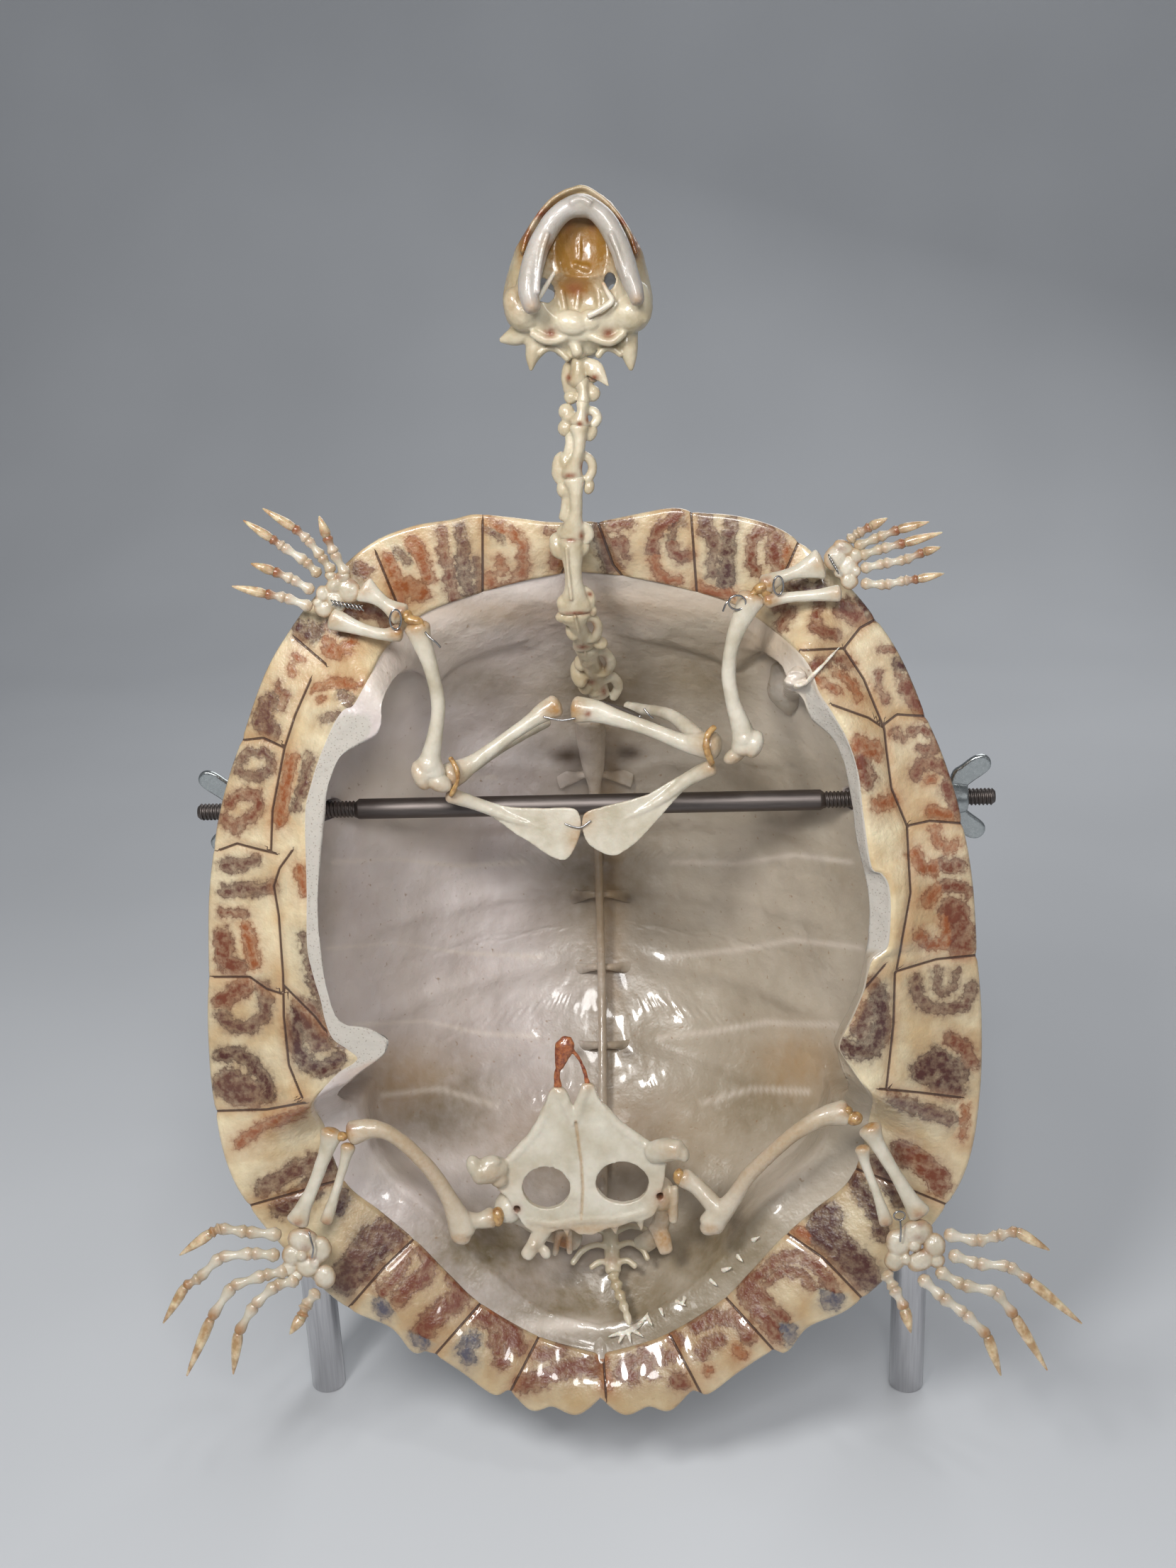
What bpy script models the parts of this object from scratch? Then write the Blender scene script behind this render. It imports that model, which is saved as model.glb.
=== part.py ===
# Skeleton of a freshwater slider turtle, hung by its shell on a steel rod between two posts.
# Metres, +Z up. The origin is on the floor, midway between the feet of the two posts.
# +X is to the viewer's right, +Y goes away from the viewer, who sees the inside of the shell.

import math

import bmesh
import bpy
from mathutils import Matrix, Vector

MM = 0.001

# Driving dimensions, in metres
SHELL_DEPTH = 0.080            # height of the dome above the plane of the rim
SHELL_LEAN = math.radians(12.5)  # the head end leans away from the viewer
RIM_CENTRE = Vector((-0.001, -0.0289, 0.164))
BONE_WALL = 0.0030             # thickness of the shell bone in the dome
RIM_WALL = 0.0020              # thickness at the sharp outer edge
SAWN_FRONT = 0.0115            # how far the sawn bridges stand in front of the rim plane

ROD_HEIGHT = 0.204             # axis of the cross rod above the floor
ROD_HALF_LENGTH = 0.1157
ROD_RADIUS = 0.0030            # smooth middle part
THREAD_RADIUS = 0.0025         # M5 threaded ends
SMOOTH_LEFT, SMOOTH_RIGHT = -0.0700, 0.0650
POST_SPACING = 0.191
POST_RADIUS = 0.0055
POST_HEIGHT = 0.2125
WING_NUT_SPAN = 0.028          # tip to tip, for an M5 wing nut
WING_NUT_HUB = 0.0052          # radius of its hub at the wide end
WING_NUT_HUB_LENGTH = 0.0065
WING_NUT_HEIGHT = 0.0125       # seat to the outer end of the wings
WING_THICKNESS = 0.0018
WING_NUT_TURN = math.radians(12)
CLEARANCE = 0.0003             # gap between neighbouring pieces
WORN_HOLE = 0.0008             # gap round the rod where it passes through the shell

SIDES = 8                      # facets round a limb bone
DIGIT_SIDES = 5
FLAT_ANGLE = math.radians(8.0)     # faces nearer flat than this are joined
CREASE_ANGLE = math.radians(60)    # edges sharper than this are shaded as creases
SLIVER = 0.00002                   # points nearer than this are joined after a Boolean

# The viewpoint of the photograph, for places that are read off it in its own pixels
PHOTO_WIDTH, PHOTO_HEIGHT = 1659, 2212
PHOTO_FOCAL = 2350.0
PHOTO_EYE = Vector((0.027, -0.453, 0.371))
PHOTO_YAW, PHOTO_PITCH, PHOTO_ROLL = math.radians(3.5), math.radians(19.5), math.radians(-2.35)

SHELL_UP = Vector((0.0, math.sin(SHELL_LEAN), math.cos(SHELL_LEAN)))
SHELL_BACK = Vector((0.0, math.cos(SHELL_LEAN), -math.sin(SHELL_LEAN)))
EYE_TURN = (
    Matrix.Rotation(PHOTO_YAW, 3, "Z")
    @ Matrix.Rotation(math.pi / 2 - PHOTO_PITCH, 3, "X")
    @ Matrix.Rotation(PHOTO_ROLL, 3, "Z")
)


# Helpers for places

def in_shell(x, up, back):
    """A point from its millimetres across, up and behind the centre of the rim plane."""
    return RIM_CENTRE + Vector((x * MM, 0.0, 0.0)) + SHELL_UP * (up * MM) + SHELL_BACK * (back * MM)


def seen(u, v, back):
    """The point seen at pixel (u, v) of the photograph that lies back millimetres behind the rim plane."""
    sight = EYE_TURN @ Vector((u - PHOTO_WIDTH / 2, PHOTO_HEIGHT / 2 - v, -PHOTO_FOCAL))
    plane = RIM_CENTRE + SHELL_BACK * (back * MM)
    return PHOTO_EYE + sight * ((plane - PHOTO_EYE).dot(SHELL_BACK) / sight.dot(SHELL_BACK))


def smooth(values, t):
    """Catmull-Rom curve through a list of tuples, read at t from 0 to len(values) - 1."""
    i = min(int(t), len(values) - 2)
    f = t - i
    a, b = values[max(i - 1, 0)], values[i]
    c, d = values[i + 1], values[min(i + 2, len(values) - 1)]
    return tuple(
        0.5 * (2 * q + (r - p) * f + (2 * p - 5 * q + 4 * r - s) * f * f + (3 * q - p - 3 * r + s) * f ** 3)
        for p, q, r, s in zip(a, b, c, d)
    )


def ease(edge0, edge1, value):
    """0 at edge0, 1 at edge1, smooth between them."""
    f = min(max((value - edge0) / (edge1 - edge0), 0.0), 1.0)
    return f * f * (3 - 2 * f)


# Scene, collections and materials

def clear_scene():
    for obj in list(bpy.data.objects):
        bpy.data.objects.remove(obj)


def collection(name):
    made = bpy.data.collections.new(name)
    bpy.context.scene.collection.children.link(made)
    return made


def linear(hex_colour):
    parts = [int(hex_colour[i:i + 2], 16) / 255 for i in (0, 2, 4)]
    return [p / 12.92 if p <= 0.04045 else ((p + 0.055) / 1.055) ** 2.4 for p in parts] + [1.0]


def material(name, hex_colour, roughness, metallic=0.0):
    made = bpy.data.materials.new(name)
    made.use_nodes = True
    shader = made.node_tree.nodes["Principled BSDF"]
    shader.inputs["Base Color"].default_value = linear(hex_colour)
    shader.inputs["Roughness"].default_value = roughness
    shader.inputs["Metallic"].default_value = metallic
    return made


clear_scene()
PARTS = collection("turtle_skeleton")
CUTTERS = collection("cutters")
BONE = material("varnished bone", "E2DCC9", 0.3)
SKULL_BONE = material("skull bone", "E0D3B4", 0.35)
SHELL_BONE = material("shell bone and scutes", "CDB794", 0.3)
DRIED_TISSUE = material("dried red-brown tissue", "8A4A2A", 0.4)
ROD_STEEL = material("dull steel rod", "7C7672", 0.4, 1.0)
POST_STEEL = material("polished steel tube", "C4C4C8", 0.15, 1.0)
ZINC = material("zinc-plated steel", "B9BCC0", 0.3, 1.0)


# Helpers for solids

def new_object(name, mesh, surface):
    mesh.materials.append(surface)
    obj = bpy.data.objects.new(name, mesh)
    PARTS.objects.link(obj)
    return obj


def from_rings(rings, start=None, end=None):
    """A closed mesh lofted through rings of points, with an optional pole at each end."""
    build = bmesh.new()
    loops = [[build.verts.new(point) for point in ring] for ring in rings]
    for one, two in zip(loops, loops[1:]):
        for i in range(len(one)):
            j = (i + 1) % len(one)
            build.faces.new((one[i], one[j], two[j], two[i]))
    for loop, pole in ((loops[0], start), (loops[-1], end)):
        if pole is None:
            build.faces.new(loop)
            continue
        tip = build.verts.new(pole)
        for i in range(len(loop)):
            build.faces.new((loop[i], loop[(i + 1) % len(loop)], tip))
    bmesh.ops.recalc_face_normals(build, faces=build.faces)
    mesh = bpy.data.meshes.new("loft")
    build.to_mesh(mesh)
    build.free()
    return mesh


def tube(centres, widths, depths, sides=SIDES, tips=0.5):
    """A bone-like loft: half-widths across the view, half-depths along it, and rounded ends."""
    rings = []
    for i, centre in enumerate(centres):
        along = (centres[min(i + 1, len(centres) - 1)] - centres[max(i - 1, 0)]).normalized()
        view = SHELL_BACK if abs(along.dot(SHELL_BACK)) < 0.9 else SHELL_UP
        across = along.cross(view).normalized()
        through = across.cross(along).normalized()
        ring = []
        for k in range(sides):
            angle = 2 * math.pi * (k + 0.5) / sides
            offset = across * (widths[i] * math.cos(angle)) + through * (depths[i] * math.sin(angle))
            ring.append(centre + offset)
        rings.append(ring)
    first = centres[0] + (centres[0] - centres[1]).normalized() * min(widths[0], depths[0]) * tips
    last = centres[-1] + (centres[-1] - centres[-2]).normalized() * min(widths[-1], depths[-1]) * tips
    return from_rings(rings, first, last)


def seen_tube(stations, sides=SIDES, tips=0.5):
    """A loft through stations (u, v, back, half-width, half-depth): pixels, then millimetres."""
    centres = [seen(u, v, back) for u, v, back, _, _ in stations]
    widths = [s[3] * MM for s in stations]
    depths = [s[4] * MM for s in stations]
    return tube(centres, widths, depths, sides, tips)


def knob(u, v, back, wide, high, deep, turn=0.0, rings=4, sides=6):
    """An ellipsoid lump: half-sizes in millimetres across, up and along the view, turned in the view."""
    build = bmesh.new()
    bmesh.ops.create_uvsphere(build, u_segments=sides, v_segments=rings, radius=1.0)
    shape = Matrix.Diagonal((wide * MM, high * MM, deep * MM, 1.0))
    across = Vector((1.0, 0.0, 0.0))
    frame = Matrix((across, SHELL_UP, across.cross(SHELL_UP))).transposed().to_4x4()
    place = Matrix.Translation(seen(u, v, back))
    build.transform(place @ frame @ Matrix.Rotation(math.radians(turn), 4, "Z") @ shape)
    mesh = bpy.data.meshes.new("knob")
    build.to_mesh(mesh)
    build.free()
    return mesh


def volume(mesh):
    build = bmesh.new()
    build.from_mesh(mesh)
    size = build.calc_volume(signed=True)
    build.free()
    return size


def boolean(base, helper, operation, solver):
    """The mesh that one Boolean gives, with the object itself left as it was."""
    step = base.modifiers.new("step", "BOOLEAN")
    step.operation = operation
    step.solver = solver
    step.object = helper
    bpy.context.view_layer.update()
    graph = bpy.context.evaluated_depsgraph_get()
    result = bpy.data.meshes.new_from_object(base.evaluated_get(graph))
    base.modifiers.clear()
    return result


def combine(base, others, operation):
    """Unions meshes with an object, or cuts them from it. A lump that one solver loses, the other keeps."""
    for mesh in others:
        helper = bpy.data.objects.new("helper", mesh)
        CUTTERS.objects.link(helper)
        helper.hide_render = True
        helper.display_type = "WIRE"
        before, other = volume(base.data), volume(mesh)
        least = max(before, other) if operation == "UNION" else before - other
        most = before + other if operation == "UNION" else before
        result = boolean(base, helper, operation, "EXACT")
        if not least * 0.999 <= volume(result) <= most * 1.001:
            result = boolean(base, helper, operation, "MANIFOLD")
        base.data = result
        bpy.data.objects.remove(helper)


def dissolve_flat(mesh):
    """Joins the flat slivers that Booleans leave, and makes triangles of what is left."""
    build = bmesh.new()
    build.from_mesh(mesh)
    bmesh.ops.remove_doubles(build, verts=build.verts, dist=SLIVER)
    bmesh.ops.dissolve_limit(build, angle_limit=FLAT_ANGLE, verts=build.verts, edges=build.edges)
    bmesh.ops.triangulate(build, faces=build.faces)
    build.to_mesh(mesh)
    build.free()


def bone(name, meshes, surface=BONE, cuts=()):
    """One named solid from lofts and lumps that overlap."""
    obj = new_object(name, meshes[0], surface)
    combine(obj, meshes[1:], "UNION")
    combine(obj, cuts, "DIFFERENCE")
    dissolve_flat(obj.data)
    obj.data.shade_smooth()
    obj.data.set_sharp_from_angle(angle=CREASE_ANGLE)


# The upper shell. Half outlines run from the head end down the viewer's right side to the tail end,
# in millimetres across and up from the centre of the rim plane.
# The rim has a point at each corner of its plates; the hind ones step in and out like saw teeth.
RIM = [
    (0, 125.2), (8, 125.3), (18, 126.8), (27, 128), (34, 126.6), (45, 125), (57, 120.5), (69, 110),
    (79, 98.8), (86.5, 87), (93, 72), (98.5, 58), (103, 43), (106, 25), (107.5, 4), (108.6, -14),
    (108.3, -35), (105.5, -54), (100, -67), (90, -80), (80.5, -91), (71, -99), (60, -104), (54, -111.5),
    (49.5, -111.5), (40, -117.5), (31, -124.5), (26.5, -123.5), (20, -129.3), (14, -128), (7, -130.6),
    (0, -125.5),
]
# Outer edge of the bare bone: the end of the horny plates, and along the bridges the sawn face's outer edge
BARE_EDGE = [
    (0, 112), (14, 110), (30, 106), (48, 105), (62, 95), (68, 79), (73, 64), (76, 49), (78, 32), (79, 16),
    (77.5, 0), (74, -13), (76, -23), (80, -34), (78, -48), (73, -63), (63, -72), (53, -81), (44, -91),
    (35, -100), (18, -110.5), (0, -116),
]
# Inner edge of that bare lip, where the wall drops into the bowl
LIP_EDGE = [
    (0, 107), (14, 105), (28, 101), (43, 98), (54, 88), (60, 74), (67, 62), (71, 48), (73.5, 31),
    (74.5, 15),
    (73.5, -4), (66, -13), (62, -21), (68, -32), (71, -45), (67, -58), (58, -68), (48, -77), (40, -86),
    (32, -94), (17, -105), (0, -110),
]
BRIDGE_TOP, BRIDGE_BOTTOM = 66, -12    # where the sawn bridges are full height, by millimetres up
DOME_RINGS = (0.93, 0.85, 0.73, 0.56, 0.32)
BOWL_RINGS = (0.69, 0.54, 0.31)


def polar(half):
    """Angle and radius of every point of a half outline, sampled finely."""
    fine = [smooth(half, t * (len(half) - 1) / 240) for t in range(241)]
    return [(math.atan2(p[1], p[0]), math.hypot(*p)) for p in fine]


def radius_at(table, angle):
    """Radius of an outline at an angle from +90 degrees, the head end, to -90 degrees."""
    for (a0, r0), (a1, r1) in zip(table, table[1:]):
        if a1 <= angle <= a0:
            return r0 + (r1 - r0) * (a0 - angle) / max(a0 - a1, 1e-9)
    return table[-1][1] if angle < 0 else table[0][1]


def dome(r):
    """Height of the outer surface behind the rim plane, at a fraction r of the way out, in millimetres."""
    return SHELL_DEPTH / MM * (1 - min(r, 1.0) ** 2.2) ** 1.5


def bowl(r):
    """Height of the inner surface, the wall's thickness inside the dome."""
    slope = 2.4 * r * SHELL_DEPTH / MM / 105
    return dome(r) - BONE_WALL / MM * math.sqrt(1 + slope * slope) * 0.9


def shell_section(x, up, bare, lip):
    """The points (x, up, back) of one section, from the outer rim over the dome and back through the bowl."""
    radius = math.hypot(x, up)
    bridge = ease(86, BRIDGE_TOP, up) * ease(-34, BRIDGE_BOTTOM, up) if abs(x) > 40 else 0.0
    outer = [(1.0, RIM_WALL / MM * 0.6)] + [(r, dome(r) + 0.5) for r in DOME_RINGS]
    b, p = bare / radius, lip / radius
    front = -SAWN_FRONT / MM
    inner = [(1.0, -RIM_WALL / MM * 0.4 - 0.5 * bridge)]
    inner.append(((1 + b) / 2 + 0.01, (1 - bridge) * 0.6 + bridge * -5.0))
    inner.append((b, (1 - bridge) * 7.0 + bridge * front))
    inner.append((p, (1 - bridge) * 10.0 + bridge * front))
    foot = p * (1 + 0.03 * bridge) - 0.03 * (1 - bridge)
    inner.append((foot, (1 - bridge) * 14.0 + bridge * 7.0))
    for r in BOWL_RINGS:
        r = min(r, foot - 0.02) if r > 0.65 else min(r, foot - 0.08)
        inner.append((r, bowl(r)))
    return [(x * r, up * r, d) for r, d in outer], [(x * r, up * r, d) for r, d in inner]


def shell_mesh():
    tables = [polar(half) for half in (RIM, BARE_EDGE, LIP_EDGE)]
    outer_rings, inner_rings = [], []
    for side in (1, -1):
        half = RIM[:-1] if side == 1 else RIM[:0:-1]
        for x, up in half:
            angle = math.atan2(up, x)
            outer, inner = shell_section(x, up, radius_at(tables[1], angle), radius_at(tables[2], angle))
            outer_rings.append([in_shell(side * px, pu, pd) for px, pu, pd in outer])
            inner_rings.append([in_shell(side * px, pu, pd) for px, pu, pd in inner])
    rings = [list(ring) for ring in zip(*outer_rings)][::-1] + [list(ring) for ring in zip(*inner_rings)]
    return from_rings(rings, in_shell(0, 0, dome(0) + 0.5), in_shell(0, 0, bowl(0)))


# The back vertebrae grown into the shell: a thin keel that stands off the bowl on rib heads.
SPINE = [   # up, half-width, half-depth, height above the bowl, all in millimetres
    (68, 4.6, 3.0, 9.5), (62, 4.8, 3.2, 8.0), (52, 3.6, 2.8, 7.5), (44, 2.0, 2.2, 7.5), (24, 1.5, 2.0, 7.5),
    (1, 1.5, 2.0, 7.5), (-24, 1.5, 2.0, 7.0), (-48, 1.6, 2.0, 6.5), (-68, 1.8, 1.8, 5.0),
    (-84, 2.0, 1.6, 4.0),
]
RIB_HEADS = (50, 32, 9, -15, -39, -62)     # millimetres up
RIB_HEAD_REACH = 9.5                       # millimetres from the midline
FRONT_RADIUS, HIND_RADIUS = 125, 126.5     # of the rim on the midline, in millimetres
STRUTS = (56, 20, -28, -76)                # where the keel stands on a strut of its own


def bowl_depth(up):
    """Height of the bowl on the midline."""
    return bowl(abs(up) / (FRONT_RADIUS if up > 0 else HIND_RADIUS))


def spine_meshes():
    centres = [in_shell(0, up, bowl_depth(up) - off) for up, _, _, off in SPINE]
    widths, depths = [s[1] * MM for s in SPINE], [s[2] * MM for s in SPINE]
    meshes = [tube(centres, widths, depths, 6)]
    for up in RIB_HEADS:
        height = bowl_depth(up)
        meshes.append(tube(
            [in_shell(-RIB_HEAD_REACH, up, height + 0.5), in_shell(-4, up, height - 5),
             in_shell(4, up, height - 5), in_shell(RIB_HEAD_REACH, up, height + 0.5)],
            [1.6 * MM, 0.9 * MM, 0.9 * MM, 1.6 * MM], [1.6 * MM, 1.2 * MM, 1.2 * MM, 1.6 * MM], 6))
    for up in STRUTS:
        height = bowl_depth(up)
        meshes.append(tube(
            [in_shell(0, up, height - 6), in_shell(0, up, height + 0.3)],
            [1.2 * MM, 1.6 * MM], [3 * MM, 3 * MM], 4))
    return meshes


def cylinder(radius, start, end, sides=16):
    """A plain cylinder between two points."""
    build = bmesh.new()
    length = (end - start).length
    bmesh.ops.create_cone(build, cap_ends=True, segments=sides, radius1=radius, radius2=radius, depth=length)
    turn = (end - start).to_track_quat("Z", "Y").to_matrix().to_4x4()
    build.transform(Matrix.Translation((start + end) / 2) @ turn)
    mesh = bpy.data.meshes.new("cylinder")
    build.to_mesh(mesh)
    build.free()
    return mesh


def rod_point(x):
    return Vector((x, 0.0, ROD_HEIGHT))


def make_shell():
    holes = [
        cylinder(THREAD_RADIUS + WORN_HOLE, rod_point(side * 0.060), rod_point(side * 0.112), 12)
        for side in (-1, 1)
    ]
    bone("carapace", [shell_mesh()] + spine_meshes(), SHELL_BONE, holes)


# The stand: a rod with a smooth middle and threaded ends, two wing nuts and two posts

def make_rod():
    ends = ROD_HALF_LENGTH
    chamfer = 0.0008
    profile = [
        (-ends, 0.0), (-ends, THREAD_RADIUS - chamfer), (-ends + chamfer, THREAD_RADIUS),
        (SMOOTH_LEFT - chamfer, THREAD_RADIUS), (SMOOTH_LEFT + chamfer, ROD_RADIUS),
        (SMOOTH_RIGHT - chamfer, ROD_RADIUS), (SMOOTH_RIGHT + chamfer, THREAD_RADIUS),
        (ends - chamfer, THREAD_RADIUS), (ends, THREAD_RADIUS - chamfer), (ends, 0.0),
    ]
    mesh = bpy.data.meshes.new("rod profile")
    mesh.from_pydata([(r, 0.0, -x) for x, r in profile], [(i, i + 1) for i in range(len(profile) - 1)], [])
    obj = new_object("cross_rod", mesh, ROD_STEEL)
    obj.location = rod_point(0.0)
    obj.rotation_euler = (0.0, -math.pi / 2, 0.0)
    turn = obj.modifiers.new("turn", "SCREW")
    turn.axis = "Z"
    turn.steps = turn.render_steps = 12
    turn.use_merge_vertices = True
    turn.merge_threshold = 0.00005


def wing_nut_meshes(side):
    """Hub and two wings of one nut, on the rod outside its post."""
    seat = POST_SPACING / 2 + POST_RADIUS + CLEARANCE
    hub = cylinder(WING_NUT_HUB, rod_point(side * seat), rod_point(side * (seat + WING_NUT_HUB_LENGTH)), 12)
    wings = []
    for up in (1, -1):
        turned = Matrix.Rotation(WING_NUT_TURN, 3, "X")
        tip = WING_NUT_SPAN / 2
        outline = [(0.0012, 0.0030), (0.0048, 0.0030), (0.0116, tip * 0.62), (WING_NUT_HEIGHT, tip * 0.76),
                   (0.0098, tip), (0.0078, tip * 0.99), (0.0018, tip * 0.6)]
        layers = []
        for thick in (-WING_THICKNESS / 2, WING_THICKNESS / 2):
            layer = [rod_point(side * seat) + turned @ Vector((side * a, thick, up * b)) for a, b in outline]
            layers.append(layer)
        wings.append(from_rings(layers))
    return [hub] + wings


def make_stand():
    make_rod()
    for side, name in ((-1, "left"), (1, "right")):
        x = side * POST_SPACING / 2
        seat = POST_SPACING / 2 + POST_RADIUS
        bore = cylinder(THREAD_RADIUS + CLEARANCE, rod_point(x - 0.008), rod_point(x + 0.008), 12)
        post = cylinder(POST_RADIUS, Vector((x, 0.0, 0.0)), Vector((x, 0.0, POST_HEIGHT)), 16)
        bone("post_" + name, [post], POST_STEEL, [bore])
        through = rod_point(side * (seat - 0.002)), rod_point(side * (seat + 0.016))
        hole = cylinder(THREAD_RADIUS + CLEARANCE, *through, 16)
        bone("wing_nut_" + name, wing_nut_meshes(side), ZINC, [hole])


# Skull, seen from below, with the snout up, and the lower jaw in front of the palate

SKULL = [   # u, v, back, half-width, half-depth
    (822, 272, -19, 3.0, 3.0), (822, 284, -18, 7.5, 6.0), (820, 312, -16, 12.0, 8.5),
    (818, 350, -14.5, 16.2, 10.5),
    (816, 392, -13.5, 19.0, 11.5), (815, 428, -13, 20.2, 11.5), (815, 460, -12.5, 18.0, 10.0),
    (815, 484, -12, 12.0, 8.0),
    (815, 495, -12, 6.5, 5.0),
]
MANDIBLE_ARM = [    # left arm, from the chin out and down to the jaw joint
    (819, 288, -27, 2.6, 3.4), (790, 306, -26.5, 2.7, 3.2), (764, 336, -26, 2.6, 3.2),
    (744, 374, -26.5, 2.6, 3.4),
    (735, 408, -27.5, 2.4, 3.0), (733, 432, -28, 2.6, 2.6),
]
MANDIBLE_AXIS, CHIN = 819, 288     # pixel column of the jaw's midline, and the chin's row
MANDIBLE_SLANT = -0.02             # columns that the midline moves over for each row down


def mirrored(stations):
    """The other arm of the jaw: stations mirrored about its midline."""
    return [
        (2 * (MANDIBLE_AXIS + MANDIBLE_SLANT * (v - CHIN)) - u, v, back, wide, deep)
        for u, v, back, wide, deep in stations
    ]


def make_skull():
    lumps = [seen_tube(SKULL, 10, 0.4)]
    lumps.append(seen_tube([(760, 430, -18, 4, 4), (740, 442, -19, 5.0, 5), (734, 430, -18, 4.5, 5)]))
    lumps.append(seen_tube([(870, 436, -18, 4, 4), (890, 442, -19, 5.0, 5), (895, 428, -18, 4.5, 5)]))
    lumps.append(seen_tube([(748, 462, -15, 3.4, 3), (726, 474, -14, 2.8, 2.6),
                            (708, 479, -14, 1.0, 1.2)], 6))
    lumps.append(seen_tube([(765, 470, -15, 3.6, 3), (753, 500, -15, 2.4, 2.2),
                            (749, 522, -15, 0.8, 0.9)], 6))
    lumps.append(seen_tube([(880, 468, -15, 3.6, 3), (888, 500, -15, 2.4, 2.2),
                            (890, 522, -15, 0.8, 0.9)], 6))
    lumps.append(seen_tube([(814, 470, -4, 2.4, 3), (816, 505, -2, 1.6, 2.6), (817, 545, -2, 1.0, 1.8)], 6))
    palate = knob(819, 345, -30, 8.5, 14, 9, 0, 5, SIDES)
    throat = knob(816, 412, -29, 12, 9, 9, 0, 5, SIDES)
    eyes = [knob(u, 318, -10, 5, 5.5, 5.5, 0, 4, SIDES) for u in (757, 884)]
    nostril = knob(822, 262, -14, 2.2, 2.2, 2.4)
    temples = [knob(u, v, -4, 8, 9, 8, 0, 4, SIDES) for u, v in ((738, 478), (893, 476))]
    bone("skull", lumps, SKULL_BONE, [palate, throat, nostril] + eyes + temples)
    bone("mandible", [seen_tube(MANDIBLE_ARM[::-1] + mirrored(MANDIBLE_ARM)[1:], SIDES)])


# Neck: eight hourglass vertebrae, from the skull down and back into the shell

NECK = [    # name, top and bottom as (u, v, back), half-widths of the waist and ends, spread of the processes
    ("atlas", (815, 507, -13.5), (817, 529, -13.5), 2.4, 3.4, 4.0),
    ("axis", (817, 533, -13.5), (816, 566, -14), 1.8, 2.9, 5.0),
    ("cervical_3", (816, 570, -14), (815, 606, -14), 1.7, 2.8, 5.8),
    ("cervical_4", (815, 610, -14), (811, 675, -12), 1.7, 3.0, 5.6),
    ("cervical_5", (811, 679, -12), (813, 762, -9), 1.9, 3.2, 5.2),
    ("cervical_6", (813, 767, -9), (835, 862, -3.5), 2.2, 3.4, 5.4),
    ("cervical_7", (838, 869, -2), (849, 911, 12.5), 2.4, 3.6, 5.0),
    ("cervical_8", (851, 916, 14), (854, 982, 34), 2.4, 4.0, 5.2),
]

LONG_VERTEBRA = 0.009      # from this length on, a vertebra's arch rises to its full height


def make_vertebra(name, top, bottom, waist, end, spread):
    a, b = seen(*top), seen(*bottom)
    along = (b - a).normalized()
    across = along.cross(SHELL_BACK).normalized()
    behind = across.cross(along).normalized()
    if behind.dot(SHELL_BACK) < 0:
        behind = -behind
    centres = [a.lerp(b, f) for f in (0.0, 0.12, 0.5, 0.88, 1.0)]
    widths = [end * 0.75 * MM, end * MM, waist * MM, end * MM, end * 0.75 * MM]
    meshes = [tube(centres, widths, [w * 0.85 for w in widths], 6, 0.1)]
    rise = min(1.0, (b - a).length / LONG_VERTEBRA)
    arch = [a.lerp(b, f) + behind * (h * rise * MM) for f, h in ((0.12, 2.4), (0.5, 3.4), (0.88, 2.6))]
    meshes.append(tube(arch, [1.9 * MM, 1.2 * MM, 1.9 * MM], [1.6 * MM, 2.1 * MM, 1.6 * MM], 4, 0.1))
    ends = [(b, a)] if rise < 0.6 else [(a, b), (b, a)]
    for where, other in ends:
        for side in (-1, 1):
            root = where.lerp(other, 0.36) + behind * (1.6 * MM)
            tip = where.lerp(other, 0.08) + across * (side * spread * MM) + behind * (1.2 * MM)
            meshes.append(tube([root, tip], [1.4 * MM, 1.1 * MM], [1.6 * MM, 1.2 * MM], 4, 0.5))
    bone(name, meshes, SKULL_BONE)


def make_neck():
    for entry in NECK:
        make_vertebra(*entry)


# Shoulder girdle: on each side a scapula with its two bars, and the fan of the coracoid

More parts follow.
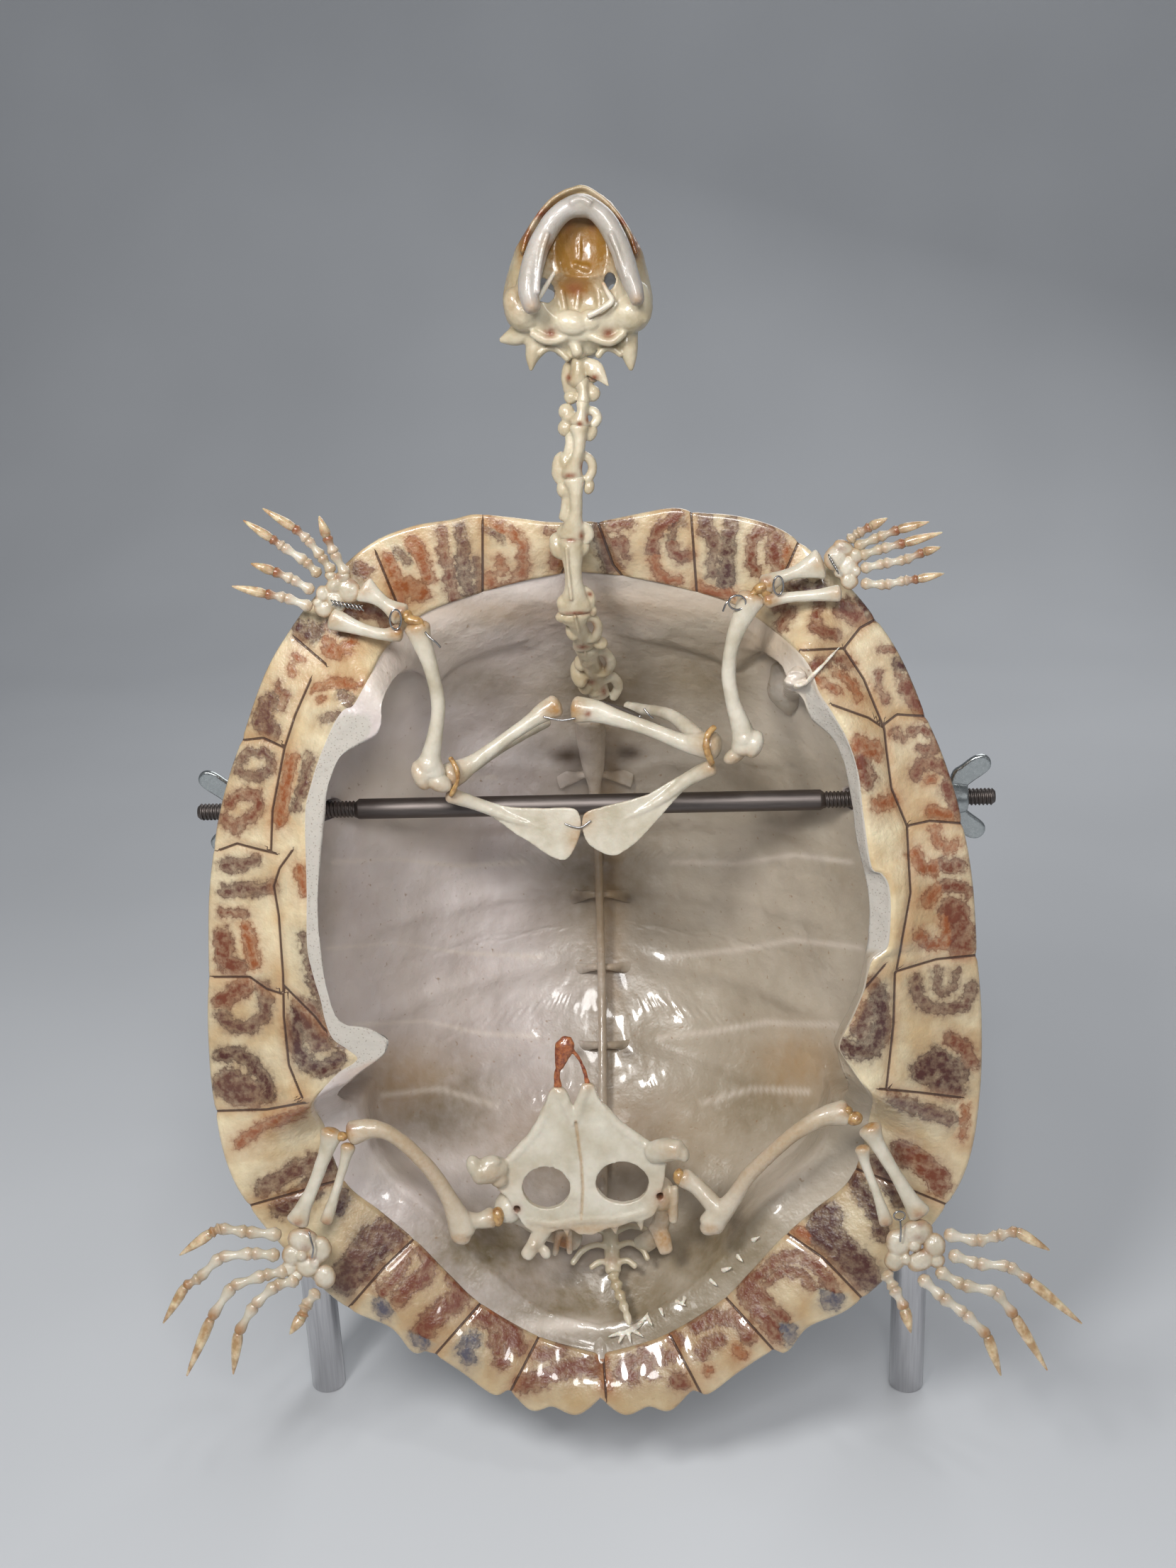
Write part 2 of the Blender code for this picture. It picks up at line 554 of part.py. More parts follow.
def make_girdle():
    bone("scapula_left", [
        seen_tube([(636, 1094, 2, 4.0, 4.0), (650, 1087, 3, 3.4, 3.4), (672, 1073, 4, 2.4, 2.4),
                   (710, 1045, 5, 1.9, 2.0),
                   (745, 1020, 6, 2.1, 2.0), (768, 1004, 7, 2.9, 2.2),
                   (782, 995, 7, 3.4, 2.3)], SIDES, 0.15),
        seen_tube([(655, 1086, 4, 2.6, 2.6), (710, 1052, 20, 1.7, 1.7), (770, 1020, 38, 1.5, 1.8)], 6),
    ])
    bone("scapula_right", [
        seen_tube([(1004, 1052, 2, 4.2, 4.2), (985, 1050, 3, 3.6, 3.6), (960, 1046, 4, 2.5, 2.4),
                   (915, 1028, 5, 2.1, 2.0),
                   (870, 1013, 6, 2.6, 2.1), (838, 1003, 7, 3.4, 2.3),
                   (812, 1000, 7, 3.9, 2.4)], SIDES, 0.15),
        seen_tube([(985, 1042, 4, 2.6, 2.6), (948, 1010, 16, 1.9, 1.9), (905, 1000, 32, 1.6, 1.6),
                   (886, 996, 37, 1.4, 1.6)], 6),
    ])
    bone("coracoid_left", [seen_tube([
        (636, 1120, 1, 2.0, 2.2), (655, 1125, 2.5, 2.2, 2.2), (678, 1132, 4, 2.2, 2.0),
        (707, 1150, 4.5, 2.7, 1.5),
        (742, 1162, 5, 4.2, 1.2), (778, 1172, 5, 6.6, 1.0), (798, 1176, 5, 7.2, 0.9),
        (809, 1178, 5, 5.6, 0.8)], SIDES, 0.2)])
    bone("coracoid_right", [seen_tube([
        (1003, 1085, 2, 2.4, 2.6), (988, 1091, 3, 2.6, 2.4), (958, 1109, 4, 2.4, 2.0),
        (925, 1133, 4.5, 3.2, 1.5),
        (893, 1155, 5, 4.9, 1.2), (862, 1168, 5, 6.9, 1.0), (842, 1170, 5, 6.4, 0.9),
        (829, 1166, 5, 4.4, 0.8)], SIDES, 0.2)])


# Arms, from the shoulder up over the rim of the shell and out to the fingers

HUMERUS_LEFT = [
    (607, 1088, -2, 4.4, 3.4), (608, 1066, -3, 2.8, 2.8), (615, 1030, -4, 2.1, 2.1),
    (618, 990, -5, 2.0, 2.0),
    (607, 940, -7, 2.1, 2.1), (594, 902, -8, 2.9, 2.5), (589, 886, -8.5, 3.7, 2.8),
]
HUMERUS_RIGHT = [
    (1052, 1054, -2, 4.2, 3.4), (1047, 1030, -3, 3.0, 2.8), (1034, 990, -4, 2.1, 2.1),
    (1028, 950, -5, 2.0, 2.0),
    (1034, 905, -7, 2.1, 2.1), (1050, 864, -8, 3.0, 2.5), (1060, 845, -8.5, 3.8, 2.8),
]
FOREARM_LEFT = {
    "radius_left": [(564, 866, -9, 3.3, 2.4), (545, 853, -9, 1.9, 1.7), (530, 842, -9.5, 2.3, 1.6),
                    (514, 832, -10, 3.7, 1.7)],
    "ulna_left": [(561, 893, -9, 2.5, 2.2), (540, 895, -9, 1.7, 1.7), (505, 886, -9.5, 1.9, 1.5),
                  (470, 873, -10, 3.2, 1.7)],
}
FOREARM_RIGHT = {
    "radius_right": [(1081, 824, -9, 2.8, 2.4), (1108, 812, -9, 1.7, 1.7), (1130, 805, -9.5, 2.2, 1.6),
                     (1156, 796, -10, 4.2, 1.7)],
    "ulna_right": [(1084, 847, -9, 2.1, 2.1), (1112, 843, -9, 1.5, 1.5), (1150, 840, -9.5, 1.6, 1.4),
                   (1182, 837, -10, 2.3, 1.6)],
}
FINGERS_LEFT = [    # root, knuckles and tip of each finger, in pixels
    [(488, 811), (471, 780), (461, 757), (450, 728)],
    [(468, 805), (453, 785), (434, 761), (415, 745), (370, 717)],
    [(449, 810), (431, 792), (399, 771), (383, 760), (343, 734)],
    [(440, 833), (412, 817), (386, 806), (354, 795)],
    [(438, 856), (402, 843), (375, 838), (327, 827)],
]
FINGERS_RIGHT = [
    [(1199, 761), (1211, 752), (1228, 743), (1252, 731)],
    [(1208, 771), (1239, 758), (1268, 747), (1311, 736)],
    [(1214, 784), (1244, 774), (1276, 766), (1330, 751)],
    [(1217, 802), (1247, 795), (1276, 790), (1303, 779), (1327, 772)],
    [(1217, 823), (1249, 825), (1276, 819), (1295, 817), (1332, 809)],
]
TOES_LEFT = [
    [(394, 1742), (348, 1738), (311, 1733), (298, 1739), (253, 1771)],
    [(391, 1771), (356, 1768), (311, 1773), (281, 1803), (262, 1814), (230, 1867)],
    [(403, 1793), (373, 1799), (328, 1814), (298, 1859), (263, 1942)],
    [(418, 1806), (389, 1813), (359, 1841), (336, 1880), (329, 1939)],
    [(446, 1823), (431, 1842), (426, 1857), (409, 1882)],
]
TOES_RIGHT = [
    [(1335, 1741), (1379, 1751), (1408, 1743), (1434, 1737), (1481, 1764)],
    [(1342, 1770), (1379, 1783), (1423, 1786), (1452, 1806), (1527, 1868)],
    [(1324, 1793), (1358, 1813), (1405, 1822), (1431, 1856), (1478, 1934)],
    [(1300, 1803), (1329, 1830), (1361, 1853), (1393, 1884), (1412, 1941)],
    [(1250, 1797), (1261, 1817), (1276, 1846), (1285, 1880)],
]


def digit(name, knuckles, back, front, half_width, surface=BONE):
    """A toe or finger: bones that swell at each knuckle and end in a tapering claw."""
    last = len(knuckles) - 1
    stations = []
    for i, (u, v) in enumerate(knuckles):
        depth = back + (front - back) * i / last
        if i == last:
            stations.append((u, v, depth, half_width * 0.3, half_width * 0.3))
            continue
        stations.append((u, v, depth, half_width * (1.05 - 0.06 * i), half_width * 0.9))
        nu, nv = knuckles[i + 1]
        ahead = back + (front - back) * (i + 0.5) / last
        waist = half_width * (0.62 if i < last - 1 else 0.85)
        stations.append(((u + nu) / 2, (v + nv) / 2, ahead, waist, waist))
    bone(name, [seen_tube(stations, DIGIT_SIDES, 0.5)], surface)


def make_arms():
    bone("humerus_left", [
        seen_tube(HUMERUS_LEFT), knob(596, 1093, -3, 2.6, 4.2, 3.0, 20, 4, 6),
        knob(617, 1100, -2, 4.4, 2.8, 2.8, -30, 4, 6),
    ])
    bone("humerus_right", [
        seen_tube(HUMERUS_RIGHT), knob(1064, 1050, -3, 2.6, 4.0, 3.0, -20, 4, 6),
        knob(1036, 1064, -1, 3.6, 2.2, 2.6, 30, 4, 6),
    ])
    for name, stations in {**FOREARM_LEFT, **FOREARM_RIGHT}.items():
        bone(name, [seen_tube(stations)])
    bone("carpus_left", [
        knob(489, 833, -10, 3.6, 4.2, 2.0, 40, 4, 6), knob(470, 843, -10, 3.8, 3.6, 2.0, 40, 4, 6),
        knob(456, 858, -10, 3.0, 3.2, 1.8, 0, 4, 6), knob(471, 829, -10.5, 3.4, 3.0, 1.8, 40, 4, 6),
    ])
    bone("carpus_right", [
        knob(1180, 786, -10, 3.4, 4.4, 2.0, -30, 4, 6), knob(1197, 796, -10, 3.2, 4.2, 2.0, -30, 4, 6),
        knob(1199, 817, -10, 2.8, 3.0, 1.8, 0, 4, 6), knob(1189, 776, -10.5, 3.4, 2.6, 1.8, -30, 4, 6),
    ])
    for i, knuckles in enumerate(FINGERS_LEFT):
        digit("finger_left_%d" % (i + 1), knuckles, -10.5, -14, 1.55)
    for i, knuckles in enumerate(FINGERS_RIGHT):
        digit("finger_right_%d" % (i + 1), knuckles, -10.5, -14, 1.45)


# Pelvis, with the pubic plates up, the two oval windows and the sit bones below

def flat_plate(points, back, thick):
    """A flat plate seen face on: its outline in pixels, extruded along the depth in millimetres."""
    layers = [[seen(u, v, back + d) for u, v in points] for d in (-thick, thick)]
    return from_rings(layers)


def ellipse(u, v, half_u, half_v, count=12):
    """Outline of an oval window, in pixels."""
    turns = [2 * math.pi * i / count for i in range(count)]
    return [(u + half_u * math.cos(t), v + half_v * math.sin(t)) for t in turns]


PUBIS_LEFT = [(814, 1566), (788, 1535), (778, 1536), (764, 1568), (748, 1597), (728, 1620),
              (706, 1634), (690, 1652),
              (706, 1672), (728, 1690), (740, 1728), (778, 1736), (822, 1726)]
PUBIS_RIGHT = [(810, 1566), (826, 1531), (838, 1529), (850, 1557), (875, 1583), (899, 1603),
               (926, 1612), (944, 1628),
               (936, 1660), (926, 1690), (924, 1716), (896, 1724), (848, 1725), (816, 1730)]


def make_pelvis():
    pieces = [
        flat_plate(PUBIS_RIGHT, 1.0, 1.2), flat_plate(PUBIS_LEFT, 1.0, 1.2),
        seen_tube([(700, 1645, 0, 3.4, 3.0), (682, 1652, -3, 3.6, 3.4), (671, 1652, -5, 3.0, 3.0)], 6),
        seen_tube([(924, 1625, 0, 3.4, 3.0), (948, 1622, -3, 3.6, 3.4), (960, 1622, -5, 3.0, 3.0)], 6),
        knob(718, 1702, 5, 4.6, 5.0, 5.0, 0, 5, SIDES), knob(932, 1684, 5, 4.4, 5.0, 5.0, 0, 5, SIDES),
        seen_tube([(750, 1722, 2, 2.6, 2.0), (757, 1752, 1, 2.2, 1.8), (755, 1768, 0, 1.8, 1.6)], 6),
        seen_tube([(724, 1708, 6, 3.2, 3.0), (768, 1735, 12, 2.6, 2.4), (812, 1752, 18, 3.2, 2.0)], 6),
        seen_tube([(936, 1694, 6, 3.2, 3.0), (930, 1735, 12, 2.6, 2.4), (906, 1756, 18, 3.2, 2.0)], 6),
        seen_tube([(783, 1540, 1, 1.5, 1.2), (786, 1516, 1, 1.2, 1.1)], 6, 0.2),
        seen_tube([(831, 1535, 1, 1.5, 1.2), (829, 1514, 1, 1.2, 1.1)], 6, 0.2),
    ]
    ovals = ellipse(773, 1674, 35, 31), ellipse(877, 1667, 38, 30)
    windows = [flat_plate(oval, 1.0, 8.0) for oval in ovals]
    bone("pelvis", pieces, BONE, windows)
    bone("epipubic_tip", [seen_tube([
        (787, 1509, 1, 0.9, 0.9), (791, 1494, 1, 1.6, 1.4), (796, 1478, 1, 2.6, 1.8),
        (797, 1466, 1, 1.8, 1.3)], 6)],
        DRIED_TISSUE)


SACRUM = [(860, 1737, 21, 2.6, 2.2), (863, 1762, 19.5, 2.4, 2.2), (865, 1792, 15.5, 2.4, 2.0)]
TAIL = [(866, 1803, 13.6, 2.2, 1.9), (870, 1814, 11.6, 1.5, 1.4), (874, 1826, 9.6, 2.0, 1.7),
        (878, 1838, 7.4, 1.3, 1.2),
        (882, 1850, 5.2, 1.6, 1.4), (885, 1862, 3.4, 1.0, 1.0), (887, 1872, 2.4, 0.8, 0.8)]


def make_sacrum():
    ribs = []
    for v, reach, depth in ((1746, 30, 20.5), (1766, 30, 18.5), (1784, 24, 16)):
        for side in (-1, 1):
            ribs.append(seen_tube([(863, v, depth, 1.2, 1.2),
                                   (863 + side * reach, v - 3, depth, 1.5, 1.2)], 5))
    bone("sacrum", [seen_tube(SACRUM, 6)] + ribs, SKULL_BONE)
    bone("tail", [seen_tube(TAIL, 6)], SKULL_BONE)


# Legs, from the hip out over the bridge of the shell, then down to the toes

FEMUR_LEFT = [
    (499, 1598, -11, 3.6, 3.0), (525, 1592, -11, 2.7, 2.5), (553, 1601, -10, 2.1, 2.1),
    (583, 1625, -8, 2.1, 2.1),
    (613, 1658, -5, 2.2, 2.2), (634, 1692, -3, 2.5, 2.4), (648, 1722, -2, 3.6, 3.0),
    (653, 1738, -2, 3.8, 3.0),
]
FEMUR_RIGHT = [
    (1190, 1570, -11, 3.6, 3.0), (1160, 1576, -11, 2.7, 2.5), (1120, 1600, -10, 2.1, 2.1),
    (1087, 1628, -8, 2.1, 2.1),
    (1055, 1660, -5, 2.2, 2.2), (1033, 1693, -3, 2.5, 2.4), (1012, 1716, -2, 3.6, 3.0),
    (1003, 1727, -2, 3.8, 3.0),
]
SHINS = {
    "tibia_left": [(468, 1600, -12, 3.4, 2.6), (461, 1622, -12, 2.2, 2.0), (444, 1668, -13, 1.8, 1.7),
                   (429, 1702, -13.5, 2.3, 1.9), (420, 1722, -14, 3.3, 2.2)],
    "fibula_left": [(491, 1619, -12, 2.2, 2.0), (486, 1640, -12, 1.4, 1.4), (473, 1684, -13, 1.3, 1.3),
                    (461, 1722, -14, 2.0, 1.7)],
    "tibia_right": [(1228, 1594, -12, 3.4, 2.6), (1238, 1614, -12, 2.2, 2.0), (1263, 1656, -13, 1.8, 1.7),
                    (1283, 1690, -13.5, 2.3, 1.9), (1296, 1711, -14, 3.3, 2.2)],
    "fibula_right": [(1217, 1622, -12, 2.2, 2.0), (1221, 1642, -12, 1.4, 1.4), (1237, 1684, -13, 1.3, 1.3),
                     (1250, 1724, -14, 2.0, 1.7)],
}


def make_legs():
    bone("femur_left", [
        seen_tube(FEMUR_LEFT), seen_tube([(642, 1716, -2, 2.6, 2.6), (672, 1722, 0, 2.4, 2.4),
                                          (692, 1718, 1, 2.9, 2.9)], 6),
    ])
    bone("femur_right", [
        seen_tube(FEMUR_RIGHT), seen_tube([(1012, 1706, -2, 2.8, 2.6), (985, 1676, 0, 2.5, 2.4),
                                           (966, 1662, 1, 2.8, 2.8)], 6),
    ])
    for name, stations in SHINS.items():
        bone(name, [seen_tube(stations)])
    bone("tarsus_left", [
        knob(428, 1752, -14, 5.2, 4.2, 2.8, -20, 4, 6), knob(450, 1765, -14, 4.2, 4.6, 2.6, -20, 4, 6),
        knob(414, 1770, -14.5, 3.4, 4.0, 2.4, 0, 4, 6), knob(434, 1788, -14.5, 4.4, 3.6, 2.4, -30, 4, 6),
        knob(458, 1801, -14, 3.4, 3.8, 2.4, 0, 4, 6),
    ])
    bone("tarsus_right", [
        knob(1292, 1741, -14, 5.4, 4.2, 2.8, 20, 4, 6), knob(1268, 1756, -14, 4.2, 4.6, 2.6, 20, 4, 6),
        knob(1318, 1757, -14.5, 3.6, 4.0, 2.4, 0, 4, 6), knob(1298, 1778, -14.5, 4.6, 3.6, 2.4, 30, 4, 6),
        knob(1262, 1778, -14, 3.2, 3.4, 2.4, 0, 4, 6),
    ])
    for i, knuckles in enumerate(TOES_LEFT):
        digit("toe_left_%d" % (i + 1), knuckles, -15.5, -20, 1.9)
    for i, knuckles in enumerate(TOES_RIGHT):
        digit("toe_right_%d" % (i + 1), knuckles, -15.5, -20, 1.9)


make_shell()
make_stand()
make_skull()
make_neck()
make_girdle()
make_arms()
make_pelvis()
make_sacrum()
make_legs()
print("Made", len(PARTS.objects), "pieces")
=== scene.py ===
# %% [markdown]
# # A slider turtle's skeleton on its stand
#
# The upper shell hangs on a steel rod, its hollow side towards us. The bones of the head, neck, limbs and
# hips are wired and glued inside it, and everything is varnished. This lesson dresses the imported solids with
# finer bones, horny plates, blotches, threads and wires. Every cell can be run alone after the ones above.

import math

import bpy
import numpy as np
from mathutils import Matrix, Vector, noise


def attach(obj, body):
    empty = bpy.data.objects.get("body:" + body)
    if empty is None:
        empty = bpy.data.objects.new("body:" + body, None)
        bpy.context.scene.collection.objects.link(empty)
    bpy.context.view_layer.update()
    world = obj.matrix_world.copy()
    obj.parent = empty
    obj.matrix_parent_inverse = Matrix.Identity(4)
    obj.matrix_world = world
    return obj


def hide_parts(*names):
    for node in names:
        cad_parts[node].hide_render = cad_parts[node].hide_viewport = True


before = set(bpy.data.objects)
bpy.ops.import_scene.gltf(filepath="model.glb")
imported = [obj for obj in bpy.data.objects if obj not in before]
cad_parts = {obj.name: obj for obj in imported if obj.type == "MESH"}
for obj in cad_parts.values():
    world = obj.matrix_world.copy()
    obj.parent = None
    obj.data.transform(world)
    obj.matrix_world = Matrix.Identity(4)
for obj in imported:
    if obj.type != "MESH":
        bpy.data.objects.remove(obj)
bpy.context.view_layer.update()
print("solids loaded:", len(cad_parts))

# %% [markdown]
# ## Where things are
#
# The shell has a frame of its own: millimetres to the right, up along the shell, and back behind the plane
# of its rim. Many small places are easier to point at in the photograph, so a second function turns a pixel
# of it, and a depth behind the rim plane, into a point. The third one goes the other way, for painting.

# %% Shell frame and the photograph's viewpoint
MM = 0.001
RIM_CENTRE = Vector((-0.001, -0.0289, 0.164))
SHELL_LEAN = math.radians(12.5)
SHELL_UP = Vector((0.0, math.sin(SHELL_LEAN), math.cos(SHELL_LEAN)))
SHELL_BACK = Vector((0.0, math.cos(SHELL_LEAN), -math.sin(SHELL_LEAN)))
RIGHT = Vector((1.0, 0.0, 0.0))

PHOTO_WIDTH, PHOTO_HEIGHT, PHOTO_FOCAL = 1659, 2212, 2350.0
PHOTO_EYE = Vector((0.027, -0.453, 0.371))
EYE_PAN, EYE_TILT, EYE_ROLL = 3.5, 19.5, -2.35      # degrees to the left, down and about the line of sight
EYE_TURN = (
    Matrix.Rotation(math.radians(EYE_PAN), 3, "Z")
    @ Matrix.Rotation(math.radians(90 - EYE_TILT), 3, "X")
    @ Matrix.Rotation(math.radians(EYE_ROLL), 3, "Z")
)


def in_shell(x, up, back):
    """The point at these millimetres across, up and behind the centre of the rim plane."""
    return RIM_CENTRE + RIGHT * (x * MM) + SHELL_UP * (up * MM) + SHELL_BACK * (back * MM)


def seen(u, v, back):
    """The point seen at pixel (u, v) that lies back millimetres behind the rim plane."""
    sight = EYE_TURN @ Vector((u - PHOTO_WIDTH / 2, PHOTO_HEIGHT / 2 - v, -PHOTO_FOCAL))
    plane = RIM_CENTRE + SHELL_BACK * (back * MM)
    return PHOTO_EYE + sight * ((plane - PHOTO_EYE).dot(SHELL_BACK) / sight.dot(SHELL_BACK))


def shell_place(u, v, back):
    """Millimetres across and up of the point seen at pixel (u, v)."""
    offset = (seen(u, v, back) - RIM_CENTRE) / MM
    return offset.x, offset.dot(SHELL_UP)


def pixels(points):
    """The pixels at which an array of points is seen."""
    x, y, z = ((points - np.array(PHOTO_EYE)) @ np.array(EYE_TURN)).T
    return np.stack([PHOTO_WIDTH / 2 - PHOTO_FOCAL * x / z, PHOTO_HEIGHT / 2 + PHOTO_FOCAL * y / z], axis=1)


print("chin at", [round(c, 3) for c in seen(819, 290, -27)])

# %% [markdown]
# ## Camera and lights
#
# The camera stands at the height of the head and looks down at the shell, as the photograph does. A key
# light above it on the left and a second one beside it shine into the hollow. Weak lights from the ceiling,
# the right and the back and a pale room lift the shadows, and a small far one makes glints in the varnish.

# %% Camera and studio
SENSOR_HEIGHT = 36.0      # millimetres


def deselect():
    bpy.ops.object.select_all(action="DESELECT")


deselect()
bpy.ops.object.camera_add(location=PHOTO_EYE, rotation=EYE_TURN.to_euler())
camera = bpy.context.object
camera.name = "camera"
camera.data.sensor_fit = "VERTICAL"
camera.data.sensor_height = SENSOR_HEIGHT
camera.data.lens = SENSOR_HEIGHT * PHOTO_FOCAL / PHOTO_HEIGHT
camera.data.clip_start = 0.01
bpy.context.scene.camera = camera


def soft_light(name, place, aim, size, watts, colour=(1.0, 1.0, 1.0)):
    """A round lamp at a place in metres, turned towards a point."""
    bpy.ops.object.light_add(type="AREA", location=place)
    light = bpy.context.object
    light.name = name
    light.rotation_euler = (Vector(place) - Vector(aim)).to_track_quat("Z", "Y").to_euler()
    light.data.shape = "DISK"
    light.data.size = size
    light.data.energy = watts
    light.data.color = colour


soft_light("key light", (-0.20, -0.42, 0.58), (0, 0, 0.25), 0.14, 2.2, (1.0, 0.985, 0.96))
soft_light("camera-side light", (0.05, -0.54, 0.56), (0, 0, 0.27), 0.18, 1.5, (1.0, 0.99, 0.98))
soft_light("ceiling light", (0.25, -0.55, 1.10), (0, 0, 0.17), 0.08, 0.7, (1.0, 0.99, 0.97))
soft_light("fill light", (0.9, -0.8, 0.60), (0, 0, 0.2), 0.7, 0.6, (0.97, 0.98, 1.0))
soft_light("back light", (0.3, 0.9, 0.9), (0, 0, 0.2), 0.8, 3.5)
soft_light("glint light", (-0.12, -0.95, 1.0), (0, 0, 0.17), 0.05, 0.45)

world = bpy.data.worlds.new("pale room")
world.use_nodes = True
room = world.node_tree.nodes["Background"]
room.inputs["Color"].default_value = (0.86, 0.88, 0.92, 1.0)
room.inputs["Strength"].default_value = 0.24
bpy.context.scene.world = world
bpy.context.scene.view_settings.view_transform = "Standard"

# %% [markdown]
# ## Materials
#
# A material is a few nodes in a row: a pattern in real millimetres, a ramp of colours taken from the thing
# itself, and a Principled shader. One function adds a node of any kind with its settings and links. The
# varnish over everything is the shader's coat: a thin clear layer with its own, sharper gloss.

# %% Colour and node helpers
def linear(hex_colour):
    """An sRGB hex value as the linear colour that a socket takes."""
    parts = [int(hex_colour[i:i + 2], 16) / 255 for i in (0, 2, 4)]
    return [p / 12.92 if p <= 0.04045 else ((p + 0.055) / 1.055) ** 2.4 for p in parts] + [1.0]


def plug(node, inputs):
    """Gives each named or numbered socket of a node its value, or a link from another node's output."""
    for socket, value in inputs.items():
        if isinstance(value, bpy.types.NodeSocket):
            node.id_data.links.new(value, node.inputs[socket])
        else:
            node.inputs[socket].default_value = value


def add(tree, kind, inputs, out=0, stops=(), **settings):
    """Adds a node with its settings, links and ramp colours, and gives back one of its outputs."""
    node = tree.nodes.new("ShaderNode" + kind)
    for name, value in settings.items():
        setattr(node, name, value)
    for i, (place, hex_colour) in enumerate(stops):
        stop = node.color_ramp.elements[i] if i < 2 else node.color_ramp.elements.new(place)
        stop.position, stop.color = place, linear(hex_colour)
    plug(node, inputs)
    return node.outputs[out]


def new_material(name, finish):
    """A material, its node tree, and its Principled shader with the values of its finish."""
    made = bpy.data.materials.new(name)
    made.use_nodes = True
    shader = made.node_tree.nodes["Principled BSDF"]
    plug(shader, finish)
    return made, made.node_tree, shader


print("one function for all nodes:", add.__name__)

# %% [markdown]
# ### Varnished bone
#
# Cleaned bone is cream white, a little see-through, and stained brown by dried gristle at its joints. Two
# painted attributes say how much: tan for old glue and gristle, rust for blood-brown spots. The varnish lies
# unevenly, so a low bump breaks up its highlights.

# %% Bone materials
def varnished_bone(name, clean, shade, gristle, gristle_share=1.0):
    made, tree, shader = new_material(name, {
        "Roughness": 0.42, "Subsurface Weight": 0.12, "Subsurface Scale": 0.002,
        "Coat Weight": 0.55, "Coat Roughness": 0.12,
    })
    place = add(tree, "TexCoord", {}, "Object")
    patches, fine, lumps, pits = [
        add(tree, "TexNoise", {"Vector": place, "Scale": 1000 / size_mm, "Detail": detail, "Roughness": 0.55})
        for size_mm, detail in ((9.0, 4), (1.1, 2), (2.4, 4), (0.6, 4))
    ]
    colour = add(tree, "ValToRGB", {0: patches}, stops=[(0.3, shade), (0.62, clean)])
    for paint, share, least, hex_colour in (("tan", gristle_share, 0.55, gristle),
        ("rust", 1.0, 0.5, "7E4022")):
        painted = add(tree, "Attribute", {}, "Fac", attribute_name=paint)
        strong = add(tree, "Math", {0: painted, 1: share}, operation="MULTIPLY")
        uneven = add(tree, "Math", {0: fine, 1: least}, operation="ADD")
        cover = add(tree, "Math", {0: strong, 1: uneven}, operation="MULTIPLY", use_clamp=True)
        colour = add(tree, "Mix", {0: cover, 6: colour, 7: linear(hex_colour)}, 2, data_type="RGBA")
    height = add(tree, "Math", {0: pits, 1: 0.25, 2: lumps}, operation="MULTIPLY_ADD")
    normal = add(tree, "Bump", {"Height": height, "Strength": 1.0, "Distance": 0.16 * MM})
    plug(shader, {"Base Color": colour, "Normal": normal})
    return made


LIMB_BONE = varnished_bone("varnished limb bone", "D1CABA", "B4AA94", "A67E4C")
HEAD_BONE = varnished_bone("varnished neck bone", "D0C6AF", "B0A184", "937B4C")
SKULL_BONE = varnished_bone("amber-stained skull bone", "CBC1A9", "A8997A", "8A6328", 1.5)
# The jaw's copy of the bone is greyer and darker: painted shade, for the jaw lies in shade
SHADED_JAW_BONE = varnished_bone("varnished jaw bone", "B4AEA8", "9F978B", "9A7A4E")
print("bone materials:", [bone.name for bone in (LIMB_BONE, HEAD_BONE, SKULL_BONE, SHADED_JAW_BONE)])
